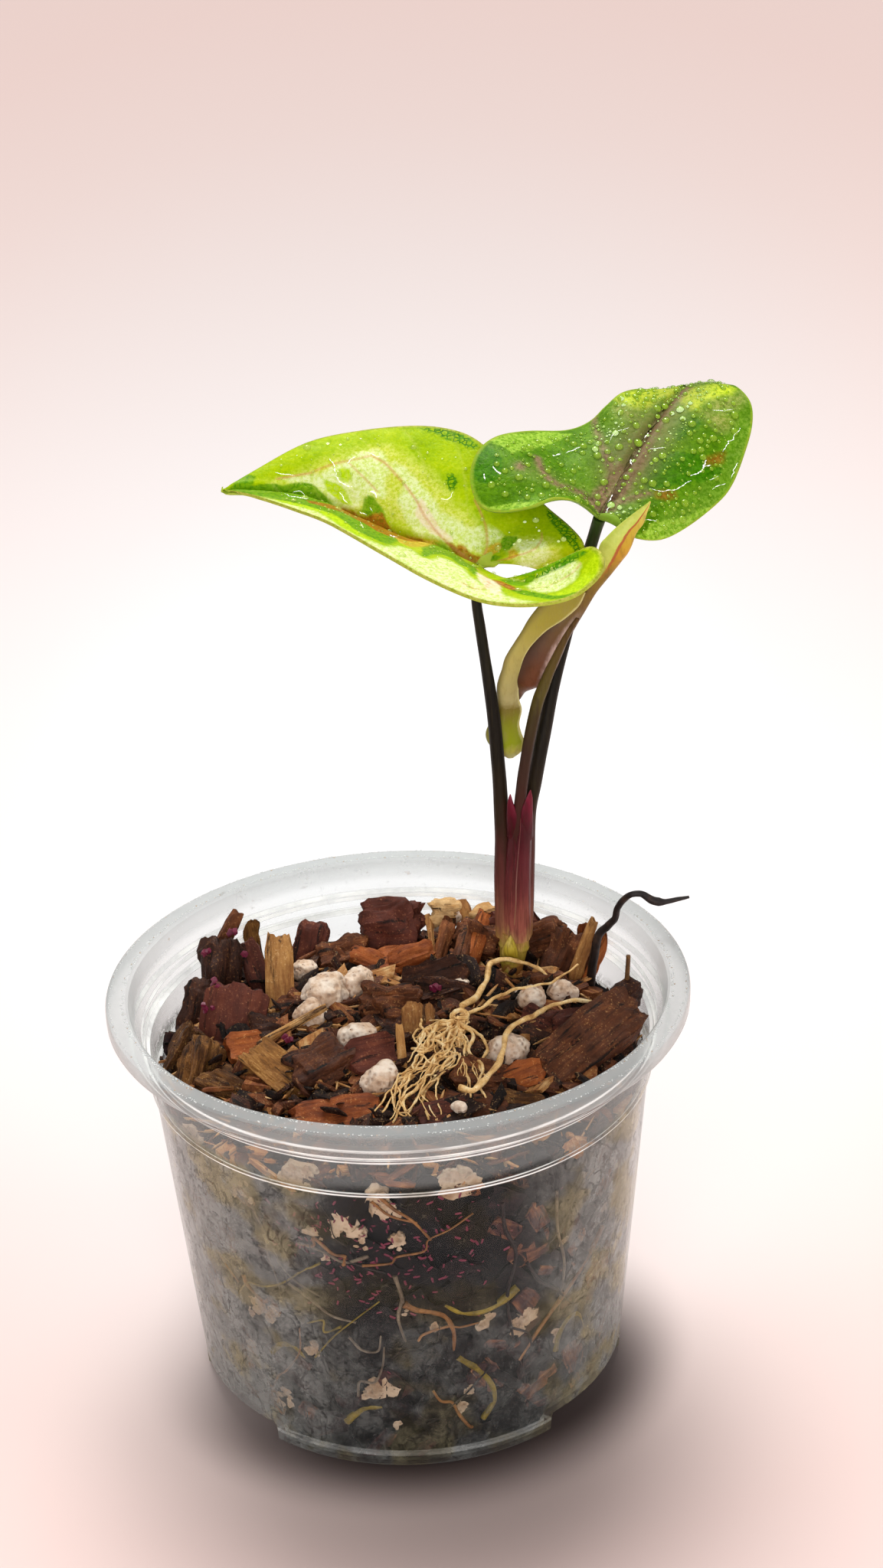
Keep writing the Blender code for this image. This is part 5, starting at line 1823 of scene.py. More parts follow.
RIGHT_FINISH = LeafFinish(
    "leaf_green", ((0.3, srgb(50, 92, 2)), (0.46, srgb(76, 122, 6)), (0.58, srgb(98, 146, 14)),
                   (0.75, srgb(138, 176, 46))),
    (Layer("pale", srgb(128, 176, 30), srgb(170, 206, 74), 0.5),
     Layer("green", srgb(40, 100, 0), srgb(70, 132, 4), 0.3),
     Layer("glow", srgb(104, 156, 30), srgb(156, 190, 74), 0.35, 0.8),
     Layer("lime", srgb(180, 208, 14), srgb(214, 230, 64), 0.3),
     Layer("tan", srgb(146, 150, 60), srgb(190, 182, 110), 0.4, 0.7),
     Layer("veil", srgb(108, 104, 62), srgb(142, 128, 88), 0.35, 0.62),
     Layer("mauve", srgb(112, 84, 62), srgb(156, 128, 98), 0.3, 1.0),
     Layer("brown", srgb(120, 84, 10), srgb(150, 112, 30), 0.2),
     Layer("vein", srgb(118, 160, 60), srgb(130, 160, 70), 0.6, 0.35),
     Layer("dark", srgb(50, 28, 20), srgb(84, 54, 40), 0.0, 0.9),
     Layer("margin", srgb(150, 190, 50), srgb(170, 180, 60))), srgb(128, 160, 50), srgb(108, 88, 60), 0.74)


LEFT = Blade(
    "leaf_left",
    rib=[(-32.5, 46, 180.5), (-20.5, 46, 179.5), (-12.5, 44.5, 178), (-6, 42, 175.5), (0.5, 38.5, 173.5),
    (6, 35.5, 172), (11.5, 33, 171.5), (19.5, 27, 169)],
    far=[(-32.5, 46, 180.5), (-26, 50, 183), (-15, 55, 187), (-4, 57, 188.5), (7.5, 56, 189.5), (15.5, 54, 189),
    (21, 50, 187.5), (28, 45, 182), (33.5, 39, 177.5), (38.5, 32, 175), (41, 27, 173), (40, 27, 170),
    (34, 28, 166.6), (30, 29, 168.4), (25.5, 31, 171), (19.5, 27, 169)],
    near=[(-32.5, 46, 180.5), (-27, 42, 181), (-17.5, 35, 180), (-9.5, 28, 179), (1, 18, 176), (9, 11, 173.5),
    (17.5, 6, 171), (24, 4, 170), (31.5, 3.5, 170), (38, 5, 171), (43, 9, 173.5), (44, 12, 176), (42, 15, 177),
    (38.5, 16, 175.5), (31, 17.5, 171.2), (27.5, 19.5, 168.3), (24, 21.8, 167), (19.5, 27, 169)],
    fan=(0.6, 0.58), arch=(1.6, 1.2), hooked=Side.NEAR, turn=0.738,
    lobe=[(19.5, 27, 169), (20.8, 21, 167), (24.5, 14, 166.6), (31, 10.5, 168.2), (37, 10.5, 171.5)],
    finish=LEFT_FINISH, drops=(26, 200), bend=1.0, flat=1.0, seed=3,
    marks=(
        *patches("wash",
            (1.6, ((100, -20), (170, -36), (220, -55), (270, -74), (330, -76), (380, -62), (440, -50), (490, -36),
            (550, -38), (600, -28), (610, -6), (450, -3), (370, -10), (310, -4), (250, 0), (180, -12))),
            (1.2, ((620, -30), (700, -50), (750, -70), (820, -80), (900, -86), (860, -50), (800, -30), (720, -30)))),
        *patches("cream",
            (0.8, ((133, -25), (171, -31), (204, -32), (233, -45), (250, -54), (258, -62), (279, -68), (308, -68),
            (333, -57), (346, -51), (338, -42), (338, -34), (354, -26), (346, -21), (325, -24), (308, -20),
            (300, -9), (271, -4), (250, -2), (229, -9), (204, -15), (188, -20), (158, -20))),
            (0.8, ((350, -57), (379, -51), (417, -42), (442, -34), (475, -25), (504, -26), (525, -25), (550, -26),
            (567, -34), (583, -29), (592, -19), (592, -11), (562, -10), (537, -11), (504, -5), (471, -4), (433, -6),
            (408, -12), (392, -20), (379, -24), (388, -35), (371, -44), (346, -51))),
            (0.6, ((79, 100), (117, 85), (154, 85), (192, 80), (212, 89), (229, 93), (254, 95), (283, 93), (312, 86),
            (338, 84), (375, 60), (404, 48), (421, 58), (442, 58), (467, 43), (492, 41), (508, 48), (517, 61),
            (529, 68), (546, 71), (558, 80), (579, 90), (608, 96), (575, 98), (537, 98), (500, 100), (458, 100),
            (417, 100), (371, 100), (338, 100), (308, 100), (267, 100), (225, 100), (175, 100), (125, 100))),
            (0.5, ((642, 60), (708, 55), (746, 59), (762, 68), (767, 79), (767, 86), (750, 88), (733, 86), (696, 85),
            (662, 83), (637, 78), (629, 71))),
            (0.4, ((579, -36), (596, -38), (646, -40), (642, -32), (613, -25), (596, -20))),
            (0.6, ((700, -47), (733, -55), (738, -64), (767, -64), (792, -70), (821, -74), (854, -75), (887, -86),
            (858, -55), (800, -34), (783, -39), (742, -38), (713, -39)))),
        *patches("lime2",
            (0.5, ((237, -41), (250, -45), (267, -44), (275, -35), (267, -29), (254, -30), (242, -35))),
            (0.5, ((217, -26), (237, -24), (258, -20), (275, -15), (287, -9), (267, -6), (246, -10), (225, -15))),
            (0.5, ((87, 75), (117, 66), (158, 65), (192, 65), (217, 68), (246, 73), (275, 79), (300, 84), (325, 79),
            (304, 90), (275, 95), (246, 96), (225, 90), (196, 80), (158, 85), (117, 90))),
            (0.7, ((725, 88), (742, 90), (754, 95), (762, 100), (742, 100), (721, 100), (696, 100), (671, 99),
            (654, 95), (629, 95), (604, 88), (625, 84), (654, 86), (683, 89)))),
        *patches("green",
            (0.4, ((4, 81), (33, -95), (54, -97), (71, -59), (67, -22), (96, -21), (129, -14), (171, -20),
            (196, -17), (208, -11), (229, -4), (242, 15), (271, -1), (300, -2), (312, 18), (338, 24), (362, 21),
            (388, 14), (383, 36), (358, 66), (338, 76), (317, 78), (292, 80), (271, 78), (254, 70), (233, 65),
            (212, 66), (188, 71), (163, 69), (133, 73), (104, 83), (79, 93), (54, 100), (25, 100))),
            (0.3, ((312, -22), (325, -22), (338, -19), (354, -15), (367, -7), (383, -1), (350, 0), (346, -4),
            (325, -4), (304, -6), (308, -12), (308, -17))),
            (0.5, ((433, 16), (454, 0), (492, -2), (512, -2), (517, 0), (529, 14), (537, 24), (558, 18), (550, 36),
            (529, 56), (525, 50), (525, 39), (508, 40), (496, 31), (475, 31), (454, 39), (438, 54), (421, 59),
            (433, 36))),
            (0.3, ((646, -35), (646, -40), (692, -49), (717, -41), (738, -32), (725, -27), (671, -27))),
            (0.3, ((575, 0), (642, -10), (713, -19), (775, -24), (792, -19), (767, -7))),
            (0.3, ((579, 49), (650, 38), (738, 44), (762, 53), (779, 62), (750, 59), (721, 53), (662, 56), (621, 60),
            (596, 58))),
            (0.4, ((583, 58), (596, 65), (617, 71), (633, 79), (642, 88), (658, 94), (671, 98), (650, 100),
            (629, 96), (613, 89), (596, 81), (583, 74)))),
        *strokes("green",
            (1.1, 0.2, ((800, 98), (860, 96), (920, 93), (970, 85)))),
        *patches("speck",
            (0.9, ((312, -99), (338, -100), (367, -100), (392, -100), (417, -100), (438, -100), (458, -99),
            (475, -97), (496, -97), (483, -90), (467, -86), (450, -88), (425, -88), (400, -93), (371, -94),
            (342, -95))),
            (0.5, ((454, -57), (467, -60), (479, -56), (483, -47), (475, -45), (462, -49))),
            (0.7, ((658, -96), (662, -100), (696, -100), (729, -100), (762, -97), (796, -100), (792, -95),
            (771, -86), (738, -84), (692, -85))),
            (0.4, ((767, 61), (779, 75), (779, 86), (779, 96), (767, 95), (762, 84), (762, 73), (750, 60)))),
        *patches("rust",
            (0.3, ((171, 36), (208, 20), (258, -2), (292, -4), (304, -2), (325, -4), (338, -9), (354, -12),
            (367, -7), (383, -2), (404, -1), (425, -2), (458, -2), (412, 14), (383, 26), (354, 41), (329, 41),
            (308, 38), (283, 35), (258, 28), (221, 46), (179, 51))),
            (0.3, ((508, -5), (525, -6), (537, -5), (542, -9), (554, -9), (567, -6), (583, -7), (600, -9), (604, -4),
            (575, 0), (558, 0), (537, 0), (537, -1), (521, -4))),
            (0.3, ((562, 53), (579, 53), (596, 62), (604, 71), (579, 71), (567, 62)))),
        *patches("amber",
            (0.4, ((371, 28), (429, -1), (462, -2), (500, -4), (475, 0), (438, 21), (404, 40), (379, 44))),
            (0.3, ((600, -6), (600, -16), (613, -24), (658, -32), (688, -30), (713, -24), (700, -15), (733, -5))),
            (0.3, ((738, -30), (738, -36), (787, -39), (821, -35), (812, -27)))),
        *patches("blush",
            (0.5, ((537, 39), (550, 45), (562, 53), (571, 62), (554, 84), (542, 84), (537, 71), (529, 64))),
            (0.6, ((425, -31), (450, -24), (487, -14), (525, -10), (512, -6), (475, -7), (446, -11), (421, -19)))),
        *strokes("pink",
            (0.22, 0.066, ((688, -4), (567, -2), (525, -4), (496, -7), (471, -12), (442, -20), (417, -29),
            (392, -36), (358, -46), (329, -56), (300, -62), (271, -56), (233, -49), (208, -42), (183, -34),
            (154, -32), (117, -30))),
            (0.22, 0.066, ((642, -5), (604, -15), (592, -25), (575, -35), (554, -42), (529, -49))),
            (0.16, 0.048, ((838, -9), (796, -20), (787, -31), (779, -44), (767, -55), (738, -65), (713, -70))),
            (0.14, 0.042, ((258, -52), (283, -42), (308, -34), (333, -27))),
            (0.2, 0.06, ((550, 28), (554, 51), (550, 64), (533, 78), (512, 84), (492, 81))),
            (0.12, 0.036, ((562, 53), (592, 69), (658, 68), (717, 75), (750, 88)))),
        *ridges(
            (0.28, ((221, -56), (229, -49), (237, -39), (246, -30), (263, -26), (279, -25))),
            (0.3, ((250, -16), (263, -11), (275, -9))),
            (0.4, ((258, -50), (263, -56), (271, -60))),
            (0.55, ((317, -26), (325, -26), (333, -22))),
            (0.25, ((300, -7), (308, -5), (325, -4))),
            (0.2, ((333, -10), (325, -12))),
            (0.22, ((129, 30), (146, 41), (167, 39), (175, 35))),
            (0.2, ((292, 41), (296, 62))),
            (0.3, ((362, 33), (379, 30))),
            (0.2, ((113, -47), (133, -36), (154, -31))),
            (0.2, ((292, -66), (317, -61))),
            (0.2, ((462, -35), (483, -38), (483, -45))),
            (0.2, ((150, -2), (167, -5), (171, 0))))))
RIGHT = Blade(
    "leaf_right",
    rib=[(69.5, 77, 181), (68, 73, 188), (64.5, 66, 192.6), (60, 58, 190.8), (56, 51, 188), (52, 44, 185),
    (49, 38, 182), (44.5, 30, 177.5)],
    far=[(69.5, 77, 181), (64, 74, 186), (57.5, 68, 191.5), (51.5, 61, 193.5), (47.5, 58, 191.5), (44, 56, 189),
    (39, 54, 188), (30.5, 50, 189.5), (24, 44, 190.5), (20, 38.5, 189), (18.5, 33, 185.5), (20, 28, 182),
    (24, 26, 181), (30, 25.5, 182), (34.5, 26, 183.5), (38, 26.5, 183), (41.5, 28.5, 180.5), (44.5, 30, 177.5)],
    near=[(69.5, 77, 181), (73.5, 73, 188), (75, 66, 192.5), (78, 61, 190.5), (78, 56, 187), (75.5, 49, 182.5),
    (72.5, 43, 178.5), (69, 38, 176.5), (62.5, 32, 174), (57, 28, 173), (52, 26.5, 174), (49, 27, 176),
    (47.5, 28.5, 177.5), (44.5, 30, 177.5)],
    fan=(0.48, 0.62), arch=(1.2, 1.8), hooked=Side.FAR, turn=0.685,
    lobe=[(44.5, 30, 177.5), (42, 30.5, 181), (38.5, 31.5, 184), (34, 33.5, 186.5), (28, 36, 187.5)],
    finish=RIGHT_FINISH, drops=(210, 420), seed=7,
    marks=(
        *patches("lime",
            (0.5, ((279, -97), (267, -100), (254, -100), (221, -93), (183, -82), (154, -49), (133, -4), (212, 1),
            (188, -15), (212, -26), (233, -26), (254, -34), (267, -50), (271, -68), (279, -84))),
            (0.6, ((225, 16), (221, 30), (229, 48), (217, 68), (217, 88), (242, 94), (267, 81), (279, 65), (287, 53),
            (300, 45), (317, 44), (308, 33), (279, 21), (246, 11)))),
        *patches("pale",
            (1, ((575, -100), (521, -96), (462, -96), (417, -94), (400, -88), (458, -78), (537, -74), (583, -79),
            (579, -88))),
            (0.8, ((754, -100), (762, -93), (787, -82), (817, -80), (879, -100), (858, -93), (838, -99),
            (792, -97))),
            (1, ((887, 95), (792, 70), (738, 83), (688, 86), (642, 98), (567, 100), (504, 100), (442, 100),
            (371, 98), (442, 100), (533, 100), (621, 100), (700, 100), (771, 100), (833, 100)))),
        *patches("green",
            (0.3, ((596, -97), (596, -91), (617, -81), (650, -78), (692, -81), (704, -89), (692, -95), (667, -99),
            (642, -99), (617, -97))),
            (0.8, ((467, 20), (454, 38), (458, 55), (479, 71), (517, 69), (554, 64), (575, 48), (567, 33), (525, 20),
            (487, 18))),
            (0.6, ((533, 64), (508, 71), (500, 84), (525, 89), (542, 81), (554, 71))),
            (0.7, ((325, 19), (325, 35), (362, 50), (408, 49), (417, 36), (371, 20)))),
        *patches("tan",
            (0.4, ((300, 54), (287, 65), (279, 81), (258, 95), (287, 93), (308, 86), (321, 75), (325, 61))),
            (0.7, ((325, 49), (329, 62), (333, 76), (350, 81), (383, 78), (388, 70), (358, 58))),
            (0.7, ((283, -84), (279, -64), (271, -44), (287, -45), (300, -65), (300, -82)))),
        *patches("brown",
            (0.5, ((475, 69), (462, 75), (454, 83), (483, 84), (496, 79), (496, 70))),
            (0.5, ((579, 39), (579, 45), (583, 56), (604, 60), (613, 53), (600, 43)))),
        *strokes("glow",
            (3.0, 1.5, ((280, -70), (250, -20), (260, 30), (280, 75))),
            (0.5, 1.5, ((360, 95), (550, 97), (750, 90)))),
        *strokes("veil",
            (2.2, 1.5, ((360, 3), (460, 4), (560, 2), (620, 0))),
            (0.8, 1.5, ((630, -62), (600, -42), (530, -22)))),
        *strokes("mauve",
            (1.15, 0.5, ((212, 16), (267, 6), (325, 5), (392, 6), (454, 9))),
            (1.7, 0.5, ((462, 7), (504, 5), (550, 5), (588, 3))),
            (2.4, 0.5, ((383, -2), (417, -2), (446, -5))),
            (0.7, 0.5, ((333, -100), (358, -69), (375, -45), (388, -25), (400, -11), (429, -5), (454, -4))),
            (0.75, 0.5, ((529, -66), (571, -54), (613, -45), (621, -36), (550, -30), (496, -24), (475, -14),
            (471, -4)))),
        *patches("mauve",
            (0.5, ((617, -70), (600, -69), (604, -64), (633, -64), (642, -68))),
            (0.5, ((588, 3), (575, 11), (571, 21), (571, 34), (588, 38), (592, 26), (596, 14)))),
        *strokes("dark",
            (0.25, 0.075, ((300, 4), (338, 1), (383, 3), (425, 3))),
            (0.45, 0.12, ((425, 3), (458, 3), (487, 1), (517, 3))),
            (0.8, 0.12, ((517, 3), (550, 3), (583, 1), (608, 0))),
            (0.12, 0.036, ((383, -40), (400, -16), (442, -7))),
            (0.12, 0.036, ((567, -31), (479, -25), (467, -10)))),
        *ridges(
            (0.3, ((558, 1), (579, 0))),
            (0.28, ((596, 6), (600, 3), (613, 3))),
            (0.4, ((475, 5), (454, 1))),
            (0.28, ((367, 1), (383, 1))),
            (0.22, ((567, 33), (579, 43), (579, 54), (562, 60), (550, 64))),
            (0.4, ((533, 62), (521, 68), (500, 69), (483, 69))),
            (0.3, ((504, 69), (500, 74))),
            (0.25, ((454, 80), (425, 83), (408, 86), (375, 88))),
            (0.2, ((325, 59), (325, 69), (321, 79))),
            (0.22, ((533, 96), (500, 96), (483, 98))),
            (0.3, ((479, -65), (458, -62))),
            (0.24, ((450, -62), (429, -61), (412, -62))),
            (0.16, ((354, -45), (329, -45), (308, -34))),
            (0.45, ((654, -85), (671, -81), (675, -80))),
            (0.35, ((675, -91), (692, -90))),
            (0.16, ((433, 14), (433, 21), (433, 26))),
            (0.16, ((546, 79), (529, 85))),
            (0.16, ((575, 86), (550, 93))),
            (0.16, ((779, 56), (767, 69))))))


@dataclass(frozen=True)
class StalkFinish:
    """A smooth stalk: colours by height, in millimetres, with streaks along it."""
    name: str
    stops: Stops
    streak: Color = srgb(30, 22, 12)
    streaks: float = 0.6
    gloss: float = 0.35

    def build(self) -> bpy.types.Material:
        """Makes the material.

        Returns:
            The material.
        """
        made = Shader(self.name)
        place = made.place()
        height = made.axes(place)[2]
        lines = made.cloud(made.stretch(place, (1.0, 1.0, 0.05)), 0.55, 4.0, 0.6)
        wander = (made.cloud(made.stretch(place, (1.0, 1.0, 0.3)), 2.0, 4.0) - 0.5) * 0.012
        low, high = self.stops[0][0], self.stops[-1][0]
        level = (height + wander - low * MM) / ((high - low) * MM)
        color = made.ramp(level, [((z - low) / (high - low), tint) for z, tint in self.stops])
        color = made.blend(made.step(lines, 0.44, 0.7, 0.0, self.streaks), color, self.streak)
        fleck = made.cloud(made.stretch(place, (1.0, 1.0, 0.3)), 0.6, 4.0, 0.7)
        return made.dress(Base_Color=color, Roughness=made.step(fleck, 0.35, 0.7, self.gloss, self.gloss + 0.2),
                          Specular_IOR_Level=0.16, Normal=made.relief(lines, 0.08))


@dataclass
class Shoot:
    """Stem, sheath, the three petioles and the furled leaf."""
    sides: int = 40
    stem_rings: Tuple[Tuple[float, float, float], ...] = (
        (23.8, 58, 1.8), (24.1, 72, 1.9), (24.2, 75, 2.2), (24.4, 78, 2.7), (24.9, 81.5, 3.1), (25.1, 84.8, 3.4))
    sheath: Tuple[Tuple[Point, float, float], ...] = (
        ((25.6, 27.6, 83.5), 2.9, 3.2), ((25.7, 27.4, 92), 2.9, 3.2), ((26.1, 27.2, 101), 2.7, 3.0),
        ((26.6, 26.8, 108), 2.5, 2.7), ((26.9, 26.4, 112.5), 2.2, 2.2), ((27.0, 26, 115.2), 1.5, 1.6))
    lips: Tuple[Tuple[Tuple[Point, ...], Tuple[Point, ...]], ...] = (
        (((24.0, 26.8, 108), (23.9, 25.8, 112), (24.0, 25.3, 115.4), (24.3, 25, 117.4), (24.7, 25, 118.6)),
         ((25.6, 24.9, 108), (26.0, 24.3, 111.6), (26.1, 24.2, 114), (25.5, 24.5, 116.2), (24.9, 25, 118.5))),
        (((27.2, 24.8, 107), (27.0, 24.1, 111.5), (26.9, 23.9, 114.6), (27.7, 24.2, 117), (28.9, 25, 119.3)),
         ((29.3, 26.8, 108), (29.4, 26.0, 112), (29.4, 25.4, 115.2), (29.4, 25.1, 117.6), (29.1, 25, 119.4))))
    seam: Tuple[Point, ...] = ((24.9, 24.3, 88), (25.3, 24.0, 93), (25.5, 23.85, 98), (25.9, 23.8, 103),
                               (26.5, 23.8, 109), (26.8, 23.7, 113.5))
    bumps: Tuple[Tuple[str, Tuple[Point, ...], Tuple[Point, ...], Tuple[float, float]], ...] = (
        ("stem_knob", ((22.3, 25.6, 78.5), (21.9, 25, 80.5), (22.4, 24.8, 82.5), (23.7, 25, 84.6)),
         ((25.4, 25.2, 78.5), (25.4, 24.6, 80.4), (24.9, 24.6, 82.5), (23.9, 25, 84.7)), (0.6, 0.6)),
        ("stem_scale", ((21.6, 26, 71), (21.4, 25.4, 73.6), (22.2, 25.2, 75.8), (23.2, 25.4, 77.2)),
         ((26.4, 26, 71), (26.2, 25.2, 73.4), (24.9, 25, 75.6), (23.4, 25.4, 77.3)), (0.5, 0.3)))
    petioles: Tuple[Tuple[str, Tuple[Tuple[Point, float], ...]], ...] = (
        ("petiole_left", (((23.1, 28.4, 83.5), 2.15), ((22.9, 28.4, 90), 2.0), ((22.8, 28.4, 97), 1.85),
                          ((22.95, 28.2, 106), 1.65), ((22.85, 28, 113), 1.55), ((22.7, 28, 120), 1.5),
                          ((22.3, 27.8, 127.4), 1.42), ((21.9, 27.6, 134.4), 1.4), ((21.2, 27.4, 141.3), 1.25),
                          ((20.4, 27.2, 148.3), 1.15), ((19.6, 27.2, 155.3), 1.1), ((18.95, 27.2, 162), 1.05),
                          ((19.4, 27.3, 168.6), 1.1))),
        ("petiole_right", (((26.9, 28.6, 83.5), 1.95), ((27.5, 28.8, 91), 1.85), ((28.0, 28.8, 101.5), 1.75),
                           ((28.6, 28.8, 112.3), 1.65), ((30.0, 29, 119.4), 1.6), ((31.4, 29.2, 126.4), 1.55),
                           ((32.8, 29.8, 133.1), 1.5), ((34.2, 30.3, 139.8), 1.4), ((35.9, 30.8, 146.5), 1.35),
                           ((40.1, 31.6, 162), 1.3), ((43.3, 31.6, 172.9), 1.25), ((44.4, 30.5, 177), 1.3))),
        ("petiole_new", (((25.4, 26, 88), 1.1), ((25.8, 25.6, 100), 1.15), ((26.3, 25.2, 112), 1.2),
                         ((27.2, 25, 120), 1.2), ((28.0, 25, 125.4), 1.15), ((29.2, 25.2, 131.8), 1.2),
                         ((30.8, 25.6, 138.6), 1.25), ((32.2, 25.8, 142.4), 1.2), ((34.5, 25.6, 148.2), 0.95),
                         ((37.2, 25, 154.2), 0.7), ((39.4, 24.6, 157.8), 0.4))))
    wrap_left: Tuple[Point, ...] = (
        (24.4, 31.3, 124.0), (22.2, 31.2, 125.8), (20.5, 31.1, 128.0), (20.1, 31, 130.0), (20.9, 30.9, 132.2),
        (22.4, 30.6, 135.2), (22.6, 30, 138.6), (22.7, 29, 141.7), (23.7, 27.6, 145.8), (24.5, 26.4, 149.1),
        (26.3, 25.8, 152.4), (27.8, 25.2, 155.1), (29.4, 24.7, 158.1), (31.7, 24.2, 161.2), (34.5, 23.8, 163.6),
        (38.0, 23.6, 165.0))
    wrap_right: Tuple[Point, ...] = (
        (25.6, 31.3, 123.9), (27.6, 31.2, 125.6), (28.1, 31.1, 128.0), (27.5, 31, 130.2), (27.2, 30.9, 132.2),
        (27.8, 30.5, 135.4), (27.3, 30.1, 138.0), (27.2, 29.2, 141.2), (27.6, 27.9, 144.8), (28.2, 26.9, 148.0),
        (29.2, 26, 150.5), (30.6, 25.6, 152.6), (33.2, 25.1, 155.3), (36.6, 24.6, 157.7), (39.6, 24.2, 160.6),
        (41.0, 23.9, 163.6))
    roll_left: Tuple[Point, ...] = (
        (27.0, 30.2, 137.6), (26.4, 29.6, 139.5), (26.0, 28.6, 142.2), (26.0, 27.8, 145), (26.8, 27, 148),
        (28, 26.2, 151), (30.2, 25.6, 154.4), (33, 25, 157.6), (36.5, 24.6, 160.5), (39.6, 24.1, 163.8),
        (42.0, 23.5, 168), (43.2, 22.8, 171.5), (44, 22.4, 174.5), (45.5, 22.2, 176.3), (47.9, 22, 178.7),
        (50.2, 21.8, 180.7), (52.6, 21.4, 182.7), (54.0, 21.1, 183.9))
    roll_right: Tuple[Point, ...] = (
        (27.6, 30.1, 138.0), (29.0, 29.4, 140.2), (31.2, 29.0, 141.4), (33.6, 28.8, 142.4), (35.1, 27.4, 146),
        (36.2, 26.4, 149.2), (37.6, 25.5, 153), (39.3, 24.9, 156.3), (41, 24.3, 159.6), (43.4, 23.8, 163.8),
        (46, 23.2, 167.5), (48.2, 22.7, 170.6), (49.6, 22.4, 172.6), (50.6, 22.2, 174.8), (51.6, 22, 177.1),
        (52.8, 21.8, 178.8), (53.5, 21.5, 181.2), (54.2, 21.1, 183.7))

    def railed(self, name: str, left: Sequence[Point], right: Sequence[Point], depth: Sequence[float],
               offset: Point = (0.0, 0.0, 0.0), power: float = 1.0) -> bpy.types.Object:
        """A closed, flattened tube between two rails.

        Args:
            name: the object's name.
            left: places along its left edge.
            right: places along its right edge.
            depth: front-to-back half depth as a share of the half width, evenly spaced along it.
            offset: a shift of the whole, in millimetres.
            power: above 1 thins the right edge.

        Returns:
            A mesh object with the fields "rise" along it and "across" it, -1 to 1.
        """
        starts, ends = smooth_path(left, 6), smooth_path(right, 6)
        wave = np.cos(FULL_TURN * np.arange(self.sides) / self.sides)
        bulge = np.sin(FULL_TURN * np.arange(self.sides) / self.sides)
        last, rings, rise, across = len(starts) - 1, [], [], []
        for index, (start, end) in enumerate(zip(starts, ends)):
            ahead = (starts[min(index + 1, last)] + ends[min(index + 1, last)]) - (
                starts[max(index - 1, 0)] + ends[max(index - 1, 0)])
            half = (end - start) / 2
            front = half.cross(ahead).normalized()
            front = -front if front.y > 0 else front
            deep = half.length * between(depth, index / last) * bulge * (0.5 - 0.5 * wave) ** (power - 1.0)
            rings.append(np.array((start + end) / 2) + np.outer(wave, half) + np.outer(deep, front))
            rise.append(np.full(self.sides, index / last))
            across.append(wave)
        obj = from_faces(name, np.concatenate(rings) + np.array(offset) * MM, ring_faces(len(rings), self.sides))
        set_field(obj, "rise", np.concatenate(rise))
        set_field(obj, "across", np.concatenate(across))
        return smooth(tidy_mesh(obj, 0.002), 60.0)

    def build_stem(self) -> bpy.types.Object:
        """The short stem, ringed where old leaves stood, with a bud and a dry scale.

        Returns:
            A mesh object.
        """
        path = smooth_path([(x, 28.0, z) for x, z, _ in self.stem_rings], 10)

        def reach(t: float, angles: np.ndarray) -> np.ndarray:
            """The stem's radii, with its rings and faint ribs.

            Args:
                t: the fraction along the stem.
                angles: places round it, in radians.

            Returns:
                A radius in millimetres for each angle.
            """
            radius = between([r for _, _, r in self.stem_rings], t)
            node = 0.2 * math.exp(-((t - 0.55) / 0.02) ** 2) + 0.28 * math.exp(-((t - 0.78) / 0.025) ** 2)
            return radius + node + 0.08 * np.sin(5 * angles + 6 * t)
        made = [loft("stem_body", path, reach)]
        made += [self.railed(name, left, right, depth) for name, left, right, depth in self.bumps]
        return join_all(made, "stem_body")

    def build_sheath(self) -> bpy.types.Object:
        """The wrapped leaf bases, with a raised seam that winds up the front and two pointed lips.

        Returns:
            A mesh object.
        """
        path = smooth_path([center for center, _, _ in self.sheath], 14)

        def reach(t: float, angles: np.ndarray) -> np.ndarray:
            """The sheath's radii: an oval with a flap along its seam.

            Args:
                t: the fraction along the sheath.
                angles: places round it, in radians.

            Returns:
                A radius in millimetres for each angle.
            """
            wide = between([w for _, w, _ in self.sheath], t)
            deep = between([d for _, _, d in self.sheath], t)
            oval = wide * deep / np.sqrt((deep * np.cos(angles)) ** 2 + (wide * np.sin(angles)) ** 2)
            seam = (angles - (4.05 + 0.75 * t)) % FULL_TURN
            flap = 0.4 * np.exp(-seam / 0.8)
            return oval + (flap + 0.05 * np.cos(9 * angles)) * min(1.0, (1 - t) * 4)
        made = [loft("sheath_body", path, reach, 72)]
        made += [self.railed("lip_%d" % index, left, right, (0.5, 0.35, 0.2)) for index, (left, right)
                 in enumerate(self.lips)]
        return join_all(made, "sheath_body")

    def build_petiole(self, name: str, spots: Sequence[Tuple[Point, float]]) -> bpy.types.Object:
        """One stalk, faintly ridged.

        Args:
            name: the stalk's name.
            spots: places on its middle line, with its radii.

        Returns:
            A mesh object.
        """
        radii = [radius for _, radius in spots]
        return loft(name + "_stalk", smooth_path([place for place, _ in spots], 10), lambda t, angles: (
            between(radii, t) + 0.03 * np.sin(3 * angles) - 0.1 * np.exp(-((angles - 4.7) / 0.5) ** 2)
            + 0.015 * math.sin(40 * t)), 36)

